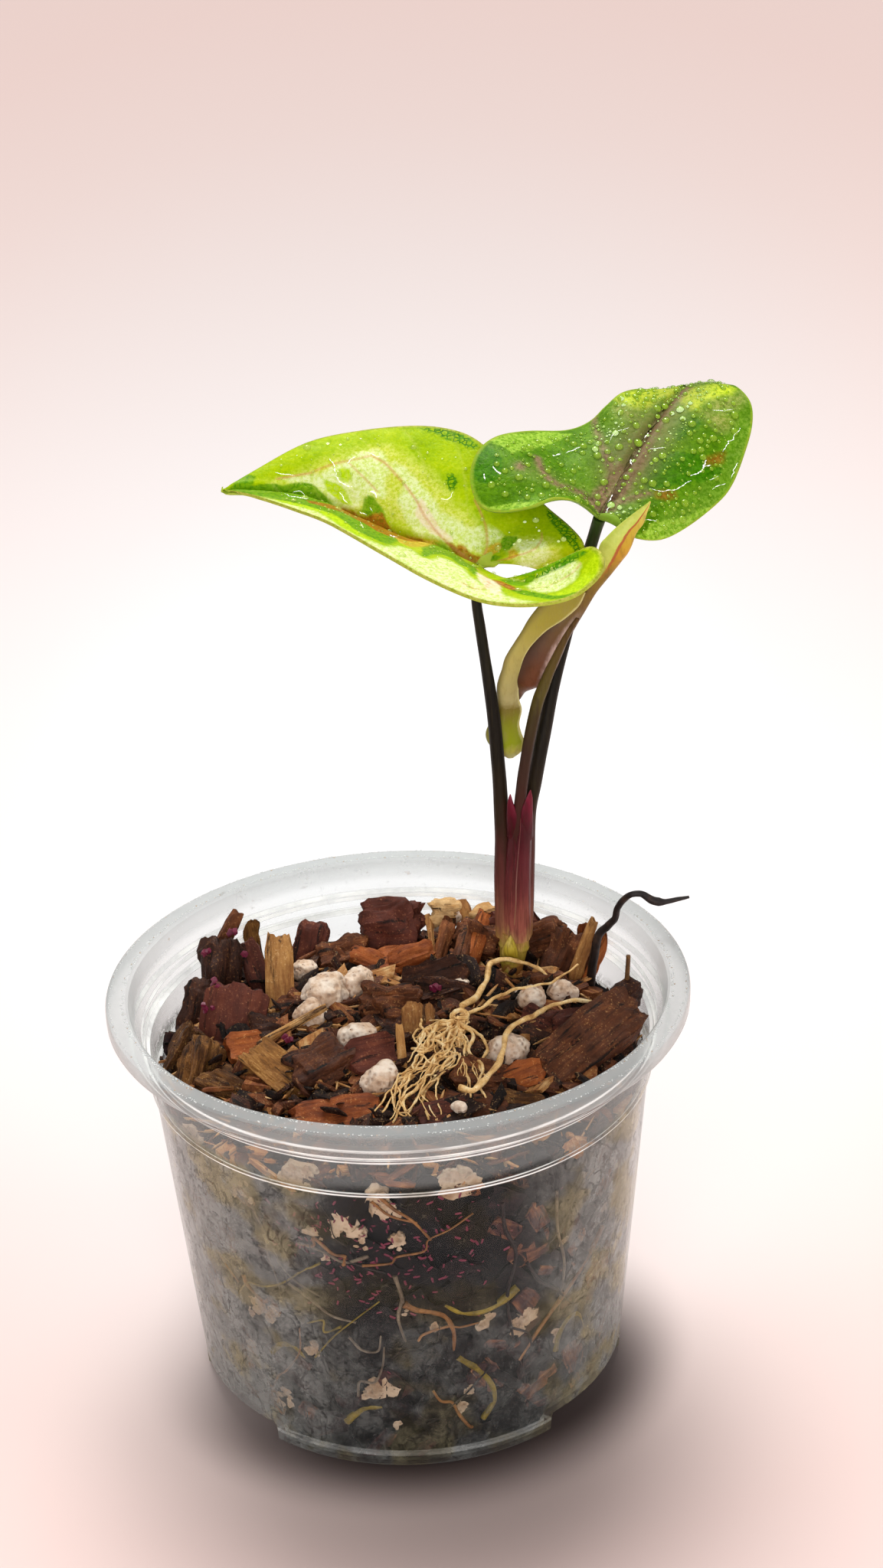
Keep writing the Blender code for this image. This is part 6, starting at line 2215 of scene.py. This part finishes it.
    def build_furled(self) -> bpy.types.Object:
        """The young leaf: a roll, and the wrap that ends in a hanging lobe.

        Returns:
            A mesh object.
        """
        roll = self.railed("leaf_new_roll", self.roll_left, self.roll_right,
                           (0.4, 0.62, 0.6, 0.55, 0.55, 0.55, 0.5, 0.34, 0.22), (0.0, 1.3, -0.55))
        wrap = self.railed("leaf_new_wrap", self.wrap_left, self.wrap_right, (0.5, 0.62, 0.6, 0.5, 0.4, 0.3),
                           (0.0, -0.5, 0.2), 1.5)
        for piece, value in ((roll, 0.0), (wrap, 1.0)):
            points = get_points(piece)
            set_field(piece, "wrap", np.full(len(points), value))
            set_points(piece, points + outward(points) * (lumps(points, 7.0, 3, 2) * 0.25 * MM)[:, None])
        return join_all([roll, wrap], "leaf_new_roll")

    def furled_finish(self) -> bpy.types.Material:
        """Brown roll with a painted pink highlight and a painted shadow under the wrap's edge, pale wrap, lime lobe
        and tip.

        Returns:
            The material.
        """
        made = Shader("leaf_furled")
        place = made.place()
        small = made.cloud(place, 1.2, 4.0, 0.65)
        streak = made.cloud(made.stretch(place, (1.0, 1.0, 0.2), (0.0, 0.5, 0.0)), 0.9, 5.0, 0.6)
        stray = (small - 0.5) * 0.06
        rise = made.attribute("rise") + stray
        across = made.attribute("across") + stray * 3.0
        roll = made.ramp(rise, [(0.0, srgb(96, 66, 34)), (0.16, srgb(118, 70, 46)), (0.3, srgb(92, 56, 34)),
                                (0.44, srgb(96, 72, 26)), (0.58, srgb(136, 106, 24)), (0.7, srgb(196, 146, 24)),
                                (0.85, srgb(196, 172, 50)), (1.0, srgb(214, 200, 100))])
        # Painted shadow: the roll darkens on its left, below the wrap's edge, where the wrap shades it.
        painted_wrap_shadow = made.step(across, 0.0, -0.8, 0.0, 0.75) * made.step(rise, 0.66, 0.5)
        roll = made.blend(painted_wrap_shadow, roll, srgb(50, 30, 14))
        # Painted highlight: a pale pink streak down the roll where it catches the light.
        painted_roll_highlight = made.step(across, 0.1, 0.5) * made.step(across, 0.95, 0.6)
        painted_roll_highlight = painted_roll_highlight * (made.step(rise, 0.1, 0.24) * made.step(rise, 0.5, 0.36))
        painted_roll_highlight = painted_roll_highlight * made.step(streak, 0.36, 0.6, 0.35, 0.9)
        roll = made.blend(painted_roll_highlight, roll, srgb(222, 196, 186))
        roll = made.blend(made.step(streak, 0.5, 0.68) * 0.3, roll, srgb(70, 40, 20))
        top = made.step(rise, 0.56, 0.66)
        roll = made.blend(made.step(across, 0.22, 0.0) * top, roll,
                          made.blend(small, srgb(174, 190, 50), srgb(220, 228, 116)))
        fold = made.step(abs(across - 0.14), 0.16, 0.05)
        roll = made.blend(fold * top, roll, srgb(176, 92, 40))
        wrap = made.ramp(rise, [(0.0, srgb(206, 200, 140)), (0.08, srgb(186, 180, 80)), (0.13, srgb(146, 156, 10)),
                                (0.28, srgb(136, 138, 20)), (0.35, srgb(122, 106, 34)), (0.4, srgb(180, 168, 112)),
                                (0.6, srgb(178, 166, 92)), (0.8, srgb(160, 148, 54)), (1.0, srgb(140, 130, 34))])
        wrap = made.blend(made.step(across, -0.4, -1.0, 0.0, 0.6), wrap, srgb(104, 90, 34))
        wrap = made.blend(made.step(across, 0.8, 0.94, 0.0, 0.6), wrap, srgb(224, 216, 152))
        wrap = made.blend(made.step(streak, 0.5, 0.68) * 0.35, wrap, srgb(150, 136, 70))
        color = made.blend(made.attribute("wrap"), roll, wrap)
        return made.dress(Base_Color=color, Roughness=0.4, Specular_IOR_Level=0.35, Subsurface_Weight=0.12,
                          Subsurface_Scale=0.0008, Normal=made.relief(streak, 0.1))

    def build(self) -> None:
        """Builds, dresses and hands over the shoot."""
        stem = StalkFinish("stem", ((60, srgb(90, 54, 26)), (73, srgb(132, 80, 40)), (76.5, srgb(160, 112, 56)),
                                    (78, srgb(156, 132, 46)), (81, srgb(180, 156, 66)), (83, srgb(202, 164, 90)),
                                    (86, srgb(184, 132, 84))), srgb(120, 92, 30), 0.5)
        hand_over(self.build_stem(), stem.build(), "stem", "stem")
        bud = self.railed("stem_bud", ((22.5, 24.6, 80.6), (22.4, 24, 82.2), (22.8, 23.8, 83.8), (23.9, 24, 85.6)),
                          ((25.6, 24.2, 80.4), (25.4, 23.8, 82), (25, 23.8, 83.6), (24.1, 24, 85.7)), (0.6, 0.5))
        fresh = StalkFinish("bud", ((80, srgb(150, 126, 30)), (83, srgb(196, 172, 60)), (86, srgb(216, 186, 104))),
                            srgb(120, 96, 24), 0.6)
        hand_over(bud, fresh.build(), "stem")
        sheath = StalkFinish("sheath", ((83, srgb(196, 150, 96)), (87, srgb(158, 88, 74)), (94, srgb(122, 56, 54)),
                                        (102, srgb(96, 34, 40)), (109, srgb(70, 14, 24)), (113, srgb(80, 12, 28)),
                                        (116, srgb(108, 16, 40)), (119.2, srgb(136, 36, 60))), srgb(56, 30, 24), 0.6)
        hand_over(self.build_sheath(), sheath.build(), "sheath", "sheath")
        seam = tube("sheath_seam", smooth_path(self.seam, 10), lambda t: 0.17 - 0.1 * t, 10)
        ridge = StalkFinish("seam", ((88, srgb(156, 104, 76)), (98, srgb(142, 98, 88)), (108, srgb(118, 66, 66)),
                                     (115, srgb(120, 26, 46))), srgb(90, 50, 42), 0.6)
        hand_over(seam, ridge.build(), "sheath")
        dark = StalkFinish("petiole_dark", ((83, srgb(190, 146, 76)), (87, srgb(146, 92, 70)), (95, srgb(106, 52, 48)),
                                            (105, srgb(78, 38, 34)), (116, srgb(40, 28, 14)), (126, srgb(22, 17, 9)),
                                            (140, srgb(15, 12, 6)), (166, srgb(18, 20, 7)), (177, srgb(44, 66, 18))),
                           srgb(48, 40, 18), 0.4, 0.4)
        new = StalkFinish("petiole_mauve", ((100, srgb(70, 28, 28)), (118, srgb(64, 34, 26)), (128, srgb(56, 36, 24)),
                                            (136, srgb(62, 50, 20)), (142, srgb(84, 74, 28)), (158, srgb(86, 60, 28))),
                          srgb(50, 30, 20), 0.5)
        for name, spots in self.petioles:
            hand_over(self.build_petiole(name, spots), (new if name == "petiole_new" else dark).build(), name, name)
        hand_over(self.build_furled(), self.furled_finish(), "leaf_new", "leaf_new")

# Roots and dead shoots


@dataclass
class Roots:
    """The dry root mat, the two thick roots, roots behind the wall, the dead twig and stalk."""
    pot: NurseryPot
    knot: Point = (12.5, 1.2, 79.2)
    strands: Tuple[Tuple[Point, ...], ...] = (
        ((12.5, 1, 78.8), (11.5, -5, 78.6), (8, -13, 78.2), (5, -20, 78), (1, -28, 77.6), (-1.5, -35, 76.8)),
        ((12.5, 0, 78.4), (12, -6, 78), (13, -13, 77.6), (13.5, -20, 77.4), (14, -27, 77)),
        ((11, 0, 79), (7, -4, 79.6), (5.5, -9, 79), (3.5, -16, 78.2), (-.5, -25, 78), (-3.5, -32, 77.4)),
        ((12, 0, 78), (10, -7, 77.2), (6, -15, 77), (1, -22, 77.6), (.5, -30, 77), (2.5, -34, 76.4)),
        ((13.5, 0, 78), (12, -9, 77.4), (8, -18, 77), (4, -26, 76.6), (5.5, -34, 76.6)),
        ((11, 0, 78.4), (8.5, -5, 77.8), (9.5, -13, 77), (5.5, -21, 77.2), (1, -33, 76.8)),
        ((12.5, -1, 79), (15, -6, 79), (14.2, -12, 78.8), (16.5, -18, 78.4), (15.5, -24, 78), (17, -29, 78)),
        ((13, -2, 79), (16.5, -5, 78.8), (18, -11, 78.6), (15.8, -16, 78.4), (17.2, -21, 78)),
        ((12.5, 1.5, 79.4), (17.5, 5, 79.6), (22, 9, 80.4), (28.5, 11, 80.2), (33, 13.5, 80), (38, 18.5, 81)))
    loop: Tuple[Point, ...] = ((13, 3.4, 80.6), (16, 9, 79.4), (18.3, 15.5, 79.6), (19.3, 20.8, 80.4),
                               (23, 22, 81), (27, 21.6, 80), (30, 20.6, 79), (31.6, 19.6, 77.6))
    right: Tuple[Point, ...] = ((11.8, -27.0, 79.4), (14.8, -28.2, 79.4), (18.4, -22, 79.6), (20.5, -17, 80),
                                (22, -10, 81.4), (24.6, -6.0, 81.6), (27.6, -3.2, 81), (30.5, 1, 80.6),
                                (33.5, 3.4, 80.6), (37.5, 4.5, 80.4), (41, 4.2, 79.6), (44, 5, 78))
    wall_routes: Tuple[Tuple[int, float, List[Tuple[float, float]]], ...] = (
        (0, 0.9, [(298, 41), (293, 38.5), (288, 37.6), (283, 38.4), (279, 41)]),
        (0, 1.1, [(311, 20), (312, 24), (315, 26.5), (319, 26), (322, 22), (323, 18)]),
        (0, 1.0, [(282, 27), (287, 23), (291, 18), (292, 13), (289, 9)]),
        (0, 1.0, [(231, 23), (235, 26.5), (239, 27), (242, 25)]), (0, 0.9, [(252, 10), (257, 14), (262, 15)]),
        (1, 0.8, [(269, 42), (272, 40.5), (276, 39.5), (279, 38), (281, 34), (281, 29)]),
        (1, 0.6, [(328, 44), (321, 39), (313, 34), (305, 28), (299, 22)]),
        (1, 0.42, [(265, 69), (268, 66), (272, 63), (276, 58)]),
        (1, 0.35, [(263, 68), (267, 64.5), (273, 62.5)]), (2, 0.3, [(255, 33), (258, 30), (262, 30), (263, 34)]),
        (2, 0.35, [(240, 44), (246, 41), (251, 38), (257, 37)]),
        (2, 0.4, [(308, 62), (309, 52), (312, 42), (311, 30)]),
        (3, 0.32, [(322, 66), (318, 61), (314, 58), (310, 52), (306, 49)]),
        (3, 0.5, [(293, 64), (294, 57), (297, 50), (295, 40), (297, 28)]),
        (3, 0.4, [(300, 47), (304, 41), (310, 36), (316, 30)]))
    stray_roots: int = 76
    tints: Tuple[str, ...] = ("olive", "amber", "pale", "black")
    twig: Tuple[Point, ...] = ((40.5, 24, 68), (41.2, 23.4, 76), (42.5, 22, 85.5), (44.5, 21, 88.5), (46, 20, 91),
                               (46.5, 19, 94), (48, 18, 96.5), (49.5, 17, 98), (51.5, 17, 98), (53.5, 17, 96.5),
                               (55, 17, 96), (56.5, 17, 96), (59, 17, 96.5), (61.5, 17, 97))
    twig_r: Tuple[float, ...] = (1, 1, .9, .85, .75, .7, .7, .65, .7, .9, .95, .6, .5, .3)
    stalk: Tuple[Point, ...] = ((46.8, 7.5, 66), (47.2, 7.7, 76), (47.6, 8, 83), (48, 8, 88.5))

    def wandering(self, route: Sequence[Point], seed: int, sway: float, per_span: int = 8) -> List[Vector]:
        """A smooth path with a seeded sway, in millimetres, that fades at its ends.

        Args:
            route: places in millimetres.
            seed: picks the sway.
            sway: how far it strays.
            per_span: samples from one place to the next.

        Returns:
            Points in metres.
        """
        path = smooth_path(route, per_span)
        points = np.array(path)
        fade = np.sin(math.pi * np.linspace(0, 1, len(points))) ** 0.5
        for axis in range(3):
            points[:, axis] += lumps(points, 5.0, 3, seed + 11 * axis) * sway * MM * fade
        return [Vector(point) for point in points]

    def strand(self, name: str, route: Sequence[Point], radius: float, seed: int, sway: float) -> bpy.types.Object:
        """One root: a tapering, knobbly tube.

        Args:
            name: the object's name.
            route: places in millimetres.
            radius: in millimetres.
            seed: picks its sway and knobs.
            sway: how far it strays.

        Returns:
            A mesh object.
        """
        rng = random.Random(seed)
        bumps = [rng.uniform(0.75, 1.25) for _ in range(24)]
        return tube(name, self.wandering(route, seed, sway),
                    lambda t: radius * between(bumps, t) * (1.0 - 0.55 * t ** 2), 8)

    def build_mat(self) -> bpy.types.Object:
        """The knot and its fan of fine strands.

        Returns:
            A mesh object.
        """
        rng = random.Random(17)
        made = [self.strand("strand_%d" % index, route, 0.42, index, 0.9) for index, route in enumerate(self.strands)]
        for index in range(30):
            base = self.strands[rng.randrange(6)]
            spread = (rng.uniform(-3.5, 3.5), rng.uniform(0.0, 1.6))
            route = [(x + spread[0] * k / len(base) + rng.uniform(-0.9, 0.9), y + rng.uniform(-0.8, 0.8),
                      z + spread[1] * math.sin(math.pi * k / len(base)) + rng.uniform(-0.2, 0.5))
                     for k, (x, y, z) in enumerate(base[:rng.randrange(4, len(base) + 1)])]
            made.append(self.strand("fine_%d" % index, route, rng.uniform(0.16, 0.34), 50 + index, 2.0))
        for index in range(13):
            turn, wide = rng.uniform(0, 6.28), rng.uniform(1.5, 3.0)
            middle = Vector((rng.uniform(4, 12), rng.uniform(-16, 0), rng.uniform(78.5, 79.8)))
            route = [tuple(middle + Vector((wide * math.cos(turn + k * 0.9), wide * 1.6 * math.sin(turn + k * 0.9),
                                            0.5 * math.sin(k)))) for k in range(6)]
            made.append(self.strand("curl_%d" % index, route, rng.uniform(0.16, 0.32), 90 + index, 1.0))
        for index in range(14):
            turn = rng.uniform(0, 6.28)
            tilt = rng.uniform(-0.6, 0.9)
            center, wide = Vector(self.knot), rng.uniform(1.0, 2.0)
            route = [tuple(center + Vector((wide * math.cos(turn + k), wide * math.sin(turn + k) * math.cos(tilt),
                                            wide * math.sin(turn + k) * math.sin(tilt)))) for k in range(5)]
            made.append(self.strand("knot_%d" % index, route, rng.uniform(0.22, 0.4), 120 + index, 0.5))
        return join_all(made, "root_mat")

    def build_wall_roots(self) -> List[bpy.types.Object]:
        """Roots that press against the inside of the wall, in four tints.

        Returns:
            One mesh object for each tint.
        """
        rng, groups = random.Random(61), [[] for _ in self.tints]
        placed = list(self.wall_routes)
        for index in range(self.stray_roots):
            turn, z = rng.uniform(0, 360), rng.uniform(4, 62)
            route = []
            lean, drop = rng.uniform(-5, 5), rng.uniform(-5, 5)
            for _ in range(rng.randrange(4, 8)):
                route.append((turn, z))
                turn += lean + rng.uniform(-3, 3)
                z = min(66, max(3, z + drop + rng.uniform(-3, 3)))
            tint = rng.choice((0, 1, 2, 2)) if index < 40 else 3
            placed.append((tint, rng.uniform(0.2, 0.6) if tint < 3 else rng.uniform(0.15, 0.35), route))
        for index, (color, radius, route) in enumerate(placed):
            places = []
            for turn, z in route:
                reach = self.pot.reach(z, self.pot.wall + 0.12) - radius
                if z < 7:
                    reach = min(reach, 33.0)
                places.append(polar(reach, math.radians(turn), max(z, 2.8)))
            bumps = [rng.uniform(0.8, 1.15) for _ in range(12)]
            groups[color].append(tube("wall_root_%d" % index, smooth_path(places, 7),
                                      lambda t, r=radius, b=bumps: r * between(b, t) * (1 - 0.4 * t), 8))
        return [join_all(group, "wall_roots_" + tint) for group, tint in zip(groups, self.tints)]

    def build(self) -> None:
        """Builds, dresses and hands over every root and dead shoot."""
        dry = RootFinish("root_dry", srgb(168, 116, 58), srgb(236, 192, 124), srgb(255, 236, 188), 0.5).build()
        hand_over(self.build_mat(), dry, "dry_roots", "dry_roots")
        hand_over(self.strand("root_loop_strand", self.loop, 0.62, 5, 0.5), dry, "root_loop", "root_loop")
        hand_over(self.strand("root_right_strand", self.right, 0.66, 9, 0.5), dry, "root_right", "root_right")
        tints = (RootFinish("root_olive", srgb(76, 64, 14), srgb(124, 104, 26), srgb(160, 138, 52), 0.4),
                 RootFinish("root_amber", srgb(88, 54, 26), srgb(132, 86, 44), srgb(170, 120, 66), 0.45),
                 RootFinish("root_pale", srgb(70, 56, 46), srgb(110, 96, 80), srgb(150, 136, 114), 0.5),
                 RootFinish("root_black", srgb(10, 6, 8), srgb(26, 16, 18), srgb(48, 30, 28), 0.5))
        for piece, tint in zip(self.build_wall_roots(), tints):
            hand_over(piece, tint.build(), "dry_roots")
        dark = RootFinish("twig_dark", (0.004, 0.003, 0.003), srgb(34, 24, 22), srgb(70, 50, 40), 0.5).build()
        twig = tube("dark_twig_stick", self.wandering(self.twig, 2, 0.25, 10), lambda t: between(self.twig_r, t), 12)
        hand_over(twig, dark, "dark_twig", "dark_twig")
        stalk = tube("dead_stalk_stick", self.wandering(self.stalk, 4, 0.3, 10), lambda t: 0.62 - 0.15 * t, 10)
        brown = RootFinish("stalk_brown", srgb(60, 34, 16), srgb(112, 74, 34), srgb(150, 110, 60), 0.6).build()
        hand_over(stalk, brown, "dead_stalk", "dead_stalk")

# Studio


@dataclass
class Studio:
    """A pale floor, soft light from above and behind, and the camera."""
    camera_at: Point = (10.5, -540.8, 391.3)
    pitch: float = 25.494
    roll: float = -2.1226
    lens: float = 69.03
    sun_from: Point = (-0.04, 0.5, 1.0)
    sun_power: float = 2.0
    sun_spread: float = 34.0
    sky: float = 0.3
    lights: Tuple[Tuple[str, Point, float, float], ...] = (
        ("front_box", (-60, -900, 420), 700, 5.0), ("side_box", (640, -160, 420), 320, 0.9),
        ("top_box", (60, 260, 720), 300, 1.2))
    look_at: Point = (0.01, 0.0, 0.09)
    # The painted shadow in front of the pot: its centre and radius in metres, and its strength; then the two radii, in
    # metres, of the painted contact shadow round the foot.
    shade_at: Tuple[float, float] = (0.016, 0.05)
    shade_r: float = 0.046
    shade: float = 0.47
    contact_shadow_ring: Tuple[float, float] = (0.062, 0.0435)

    def floor_finish(self) -> bpy.types.Material:
        """White in the middle, warming outwards; farther parts are wider, as on a swept studio floor. A painted shadow
        lies in front of the pot and a painted contact shadow round its foot, and painted shade darkens the front.

        Returns:
            The material.
        """
        made = Shader("floor")
        across, back, _ = made.axes(made.place())
        depth = made.calc("MAXIMUM", back * 0.9 + 0.66, 0.3)
        aside = across / depth
        along = 0.5 / depth - 0.545
        away = made.calc("SQRT", abs(aside) ** 2.0 + abs(along) ** 2.0)
        tint = made.ramp(away, [(0.06, WHITE), (0.13, srgb(251, 243, 241)), (0.2, srgb(251, 236, 232)),
                                (0.25, srgb(252, 230, 224)), (0.3, srgb(253, 226, 219))])
        # Painted shade: the floor darkens towards the front, by 3 to 15 per cent.
        tint = made.blend(made.step(back, 0.2, -0.1, 0.03, 0.15), tint, (0.0, 0.0, 0.0))
        # Painted shadow: a soft dark patch in front of the pot.
        right, front = self.shade_at
        near = ((across - right) / self.shade_r) ** 2.0 + ((back + front) / self.shade_r) ** 2.0
        tint = made.blend(made.calc("EXPONENT", near * -1.0) * self.shade, tint, srgb(70, 56, 54))
        # Painted contact shadow: a dark ring round the pot's foot, strongest in front.
        reach = made.calc("SQRT", across ** 2.0 + back ** 2.0)
        ring = made.step(reach, *self.contact_shadow_ring, 0.0, 0.96)
        in_front = made.step(across * 0.4 - back, -0.02, 0.045, 0.15, 1.0)
        tint = made.blend(ring * in_front, tint, srgb(60, 48, 46))
        grain = made.cloud(made.place(), 20.0, 2.0)
        return made.dress(Base_Color=tint, Roughness=0.9, Specular_IOR_Level=0.1, Normal=made.relief(grain, 0.02))

    def build_floor(self) -> None:
        """The floor."""
        deselect()
        bpy.ops.mesh.primitive_plane_add(size=12.0, location=(0.0, 0.0, -0.0004))
        floor = added("floor")
        bpy.ops.object.transform_apply(location=True)
        floor.data.materials.append(self.floor_finish())

    def add_light(self, name: str, kind: str, place: Vector, power: float) -> bpy.types.Object:
        """A lamp that points at the plant's foot.

        Args:
            name: its name.
            kind: Blender's kind of lamp.
            place: where it stands, in metres.
            power: its strength.

        Returns:
            The lamp.
        """
        obj = bpy.data.objects.new(name, bpy.data.lights.new(name, kind))
        obj.data.energy = power
        obj.location = place
        obj.rotation_euler = (Vector(self.look_at) - place).to_track_quat("-Z", "Y").to_euler()
        bpy.context.scene.collection.objects.link(obj)
        return obj

    def build_lights(self) -> None:
        """A soft sun from above and behind, weak softboxes for gloss, and an even sky."""
        self.add_light("sun", "SUN", Vector(self.sun_from), self.sun_power).data.angle = math.radians(self.sun_spread)
        for name, place, size, power in self.lights:
            box = self.add_light(name, "AREA", Vector(place) * MM, power).data
            box.shape, box.size = "DISK", size * MM
        world = bpy.data.worlds.new("sky")
        bpy.context.scene.world = world
        world.use_nodes = True
        light = world.node_tree.nodes["Background"].inputs
        light["Color"].default_value = (1.0, 0.985, 0.98, 1.0)
        light["Strength"].default_value = self.sky

    def build_camera(self) -> None:
        """The camera, at the photograph's place."""
        data = bpy.data.cameras.new("camera")
        data.lens, data.sensor_width, data.clip_start = self.lens, 36.0, 0.01
        camera = bpy.data.objects.new("camera", data)
        pitch = Matrix.Rotation(math.radians(90.0 - self.pitch), 4, "X")
        roll = Matrix.Rotation(math.radians(self.roll), 4, "Z")
        camera.matrix_world = Matrix.Translation(Vector(self.camera_at) * MM) @ (pitch @ roll)
        bpy.context.scene.collection.objects.link(camera)
        bpy.context.scene.camera = camera

    def build(self) -> None:
        """Builds the studio."""
        self.build_floor()
        self.build_lights()
        self.build_camera()
        bpy.context.scene.view_settings.view_transform = "Standard"


def main() -> None:
    """Builds and dresses every part of the plant and its studio."""
    logging.basicConfig(level=logging.INFO, format="%(message)s")
    pot = NurseryPot()
    pot.build()
    PottingMix(pot).build()
    Roots(pot).build()
    Shoot().build()
    deselect()
    bpy.ops.mesh.primitive_uv_sphere_add(segments=14, ring_count=8, radius=0.5)
    drop = added("drop")
    points = get_points(drop)
    points[:, 2] = np.maximum(points[:, 2], -0.14)
    set_points(drop, points)
    # Painted highlights: the wet ridges are near-white water that glows a little.
    gloss = Water("water_bright", (1.0, 1.0, 0.96), (1.0, 1.0, 1.0), 0.85, 0.2, 0.45).build()
    waters = (Water("water_lime", srgb(150, 184, 16), srgb(226, 242, 120), 0.3, 0.25),
              Water("water_green", srgb(66, 112, 8), srgb(176, 216, 60), 0.45, 0.3))
    for blade, water in zip((LEFT, RIGHT), waters):
        blade.build(drop, water.build(), gloss)
    drop_models([drop])
    Studio().build()


if __name__ == "__main__":
    main()
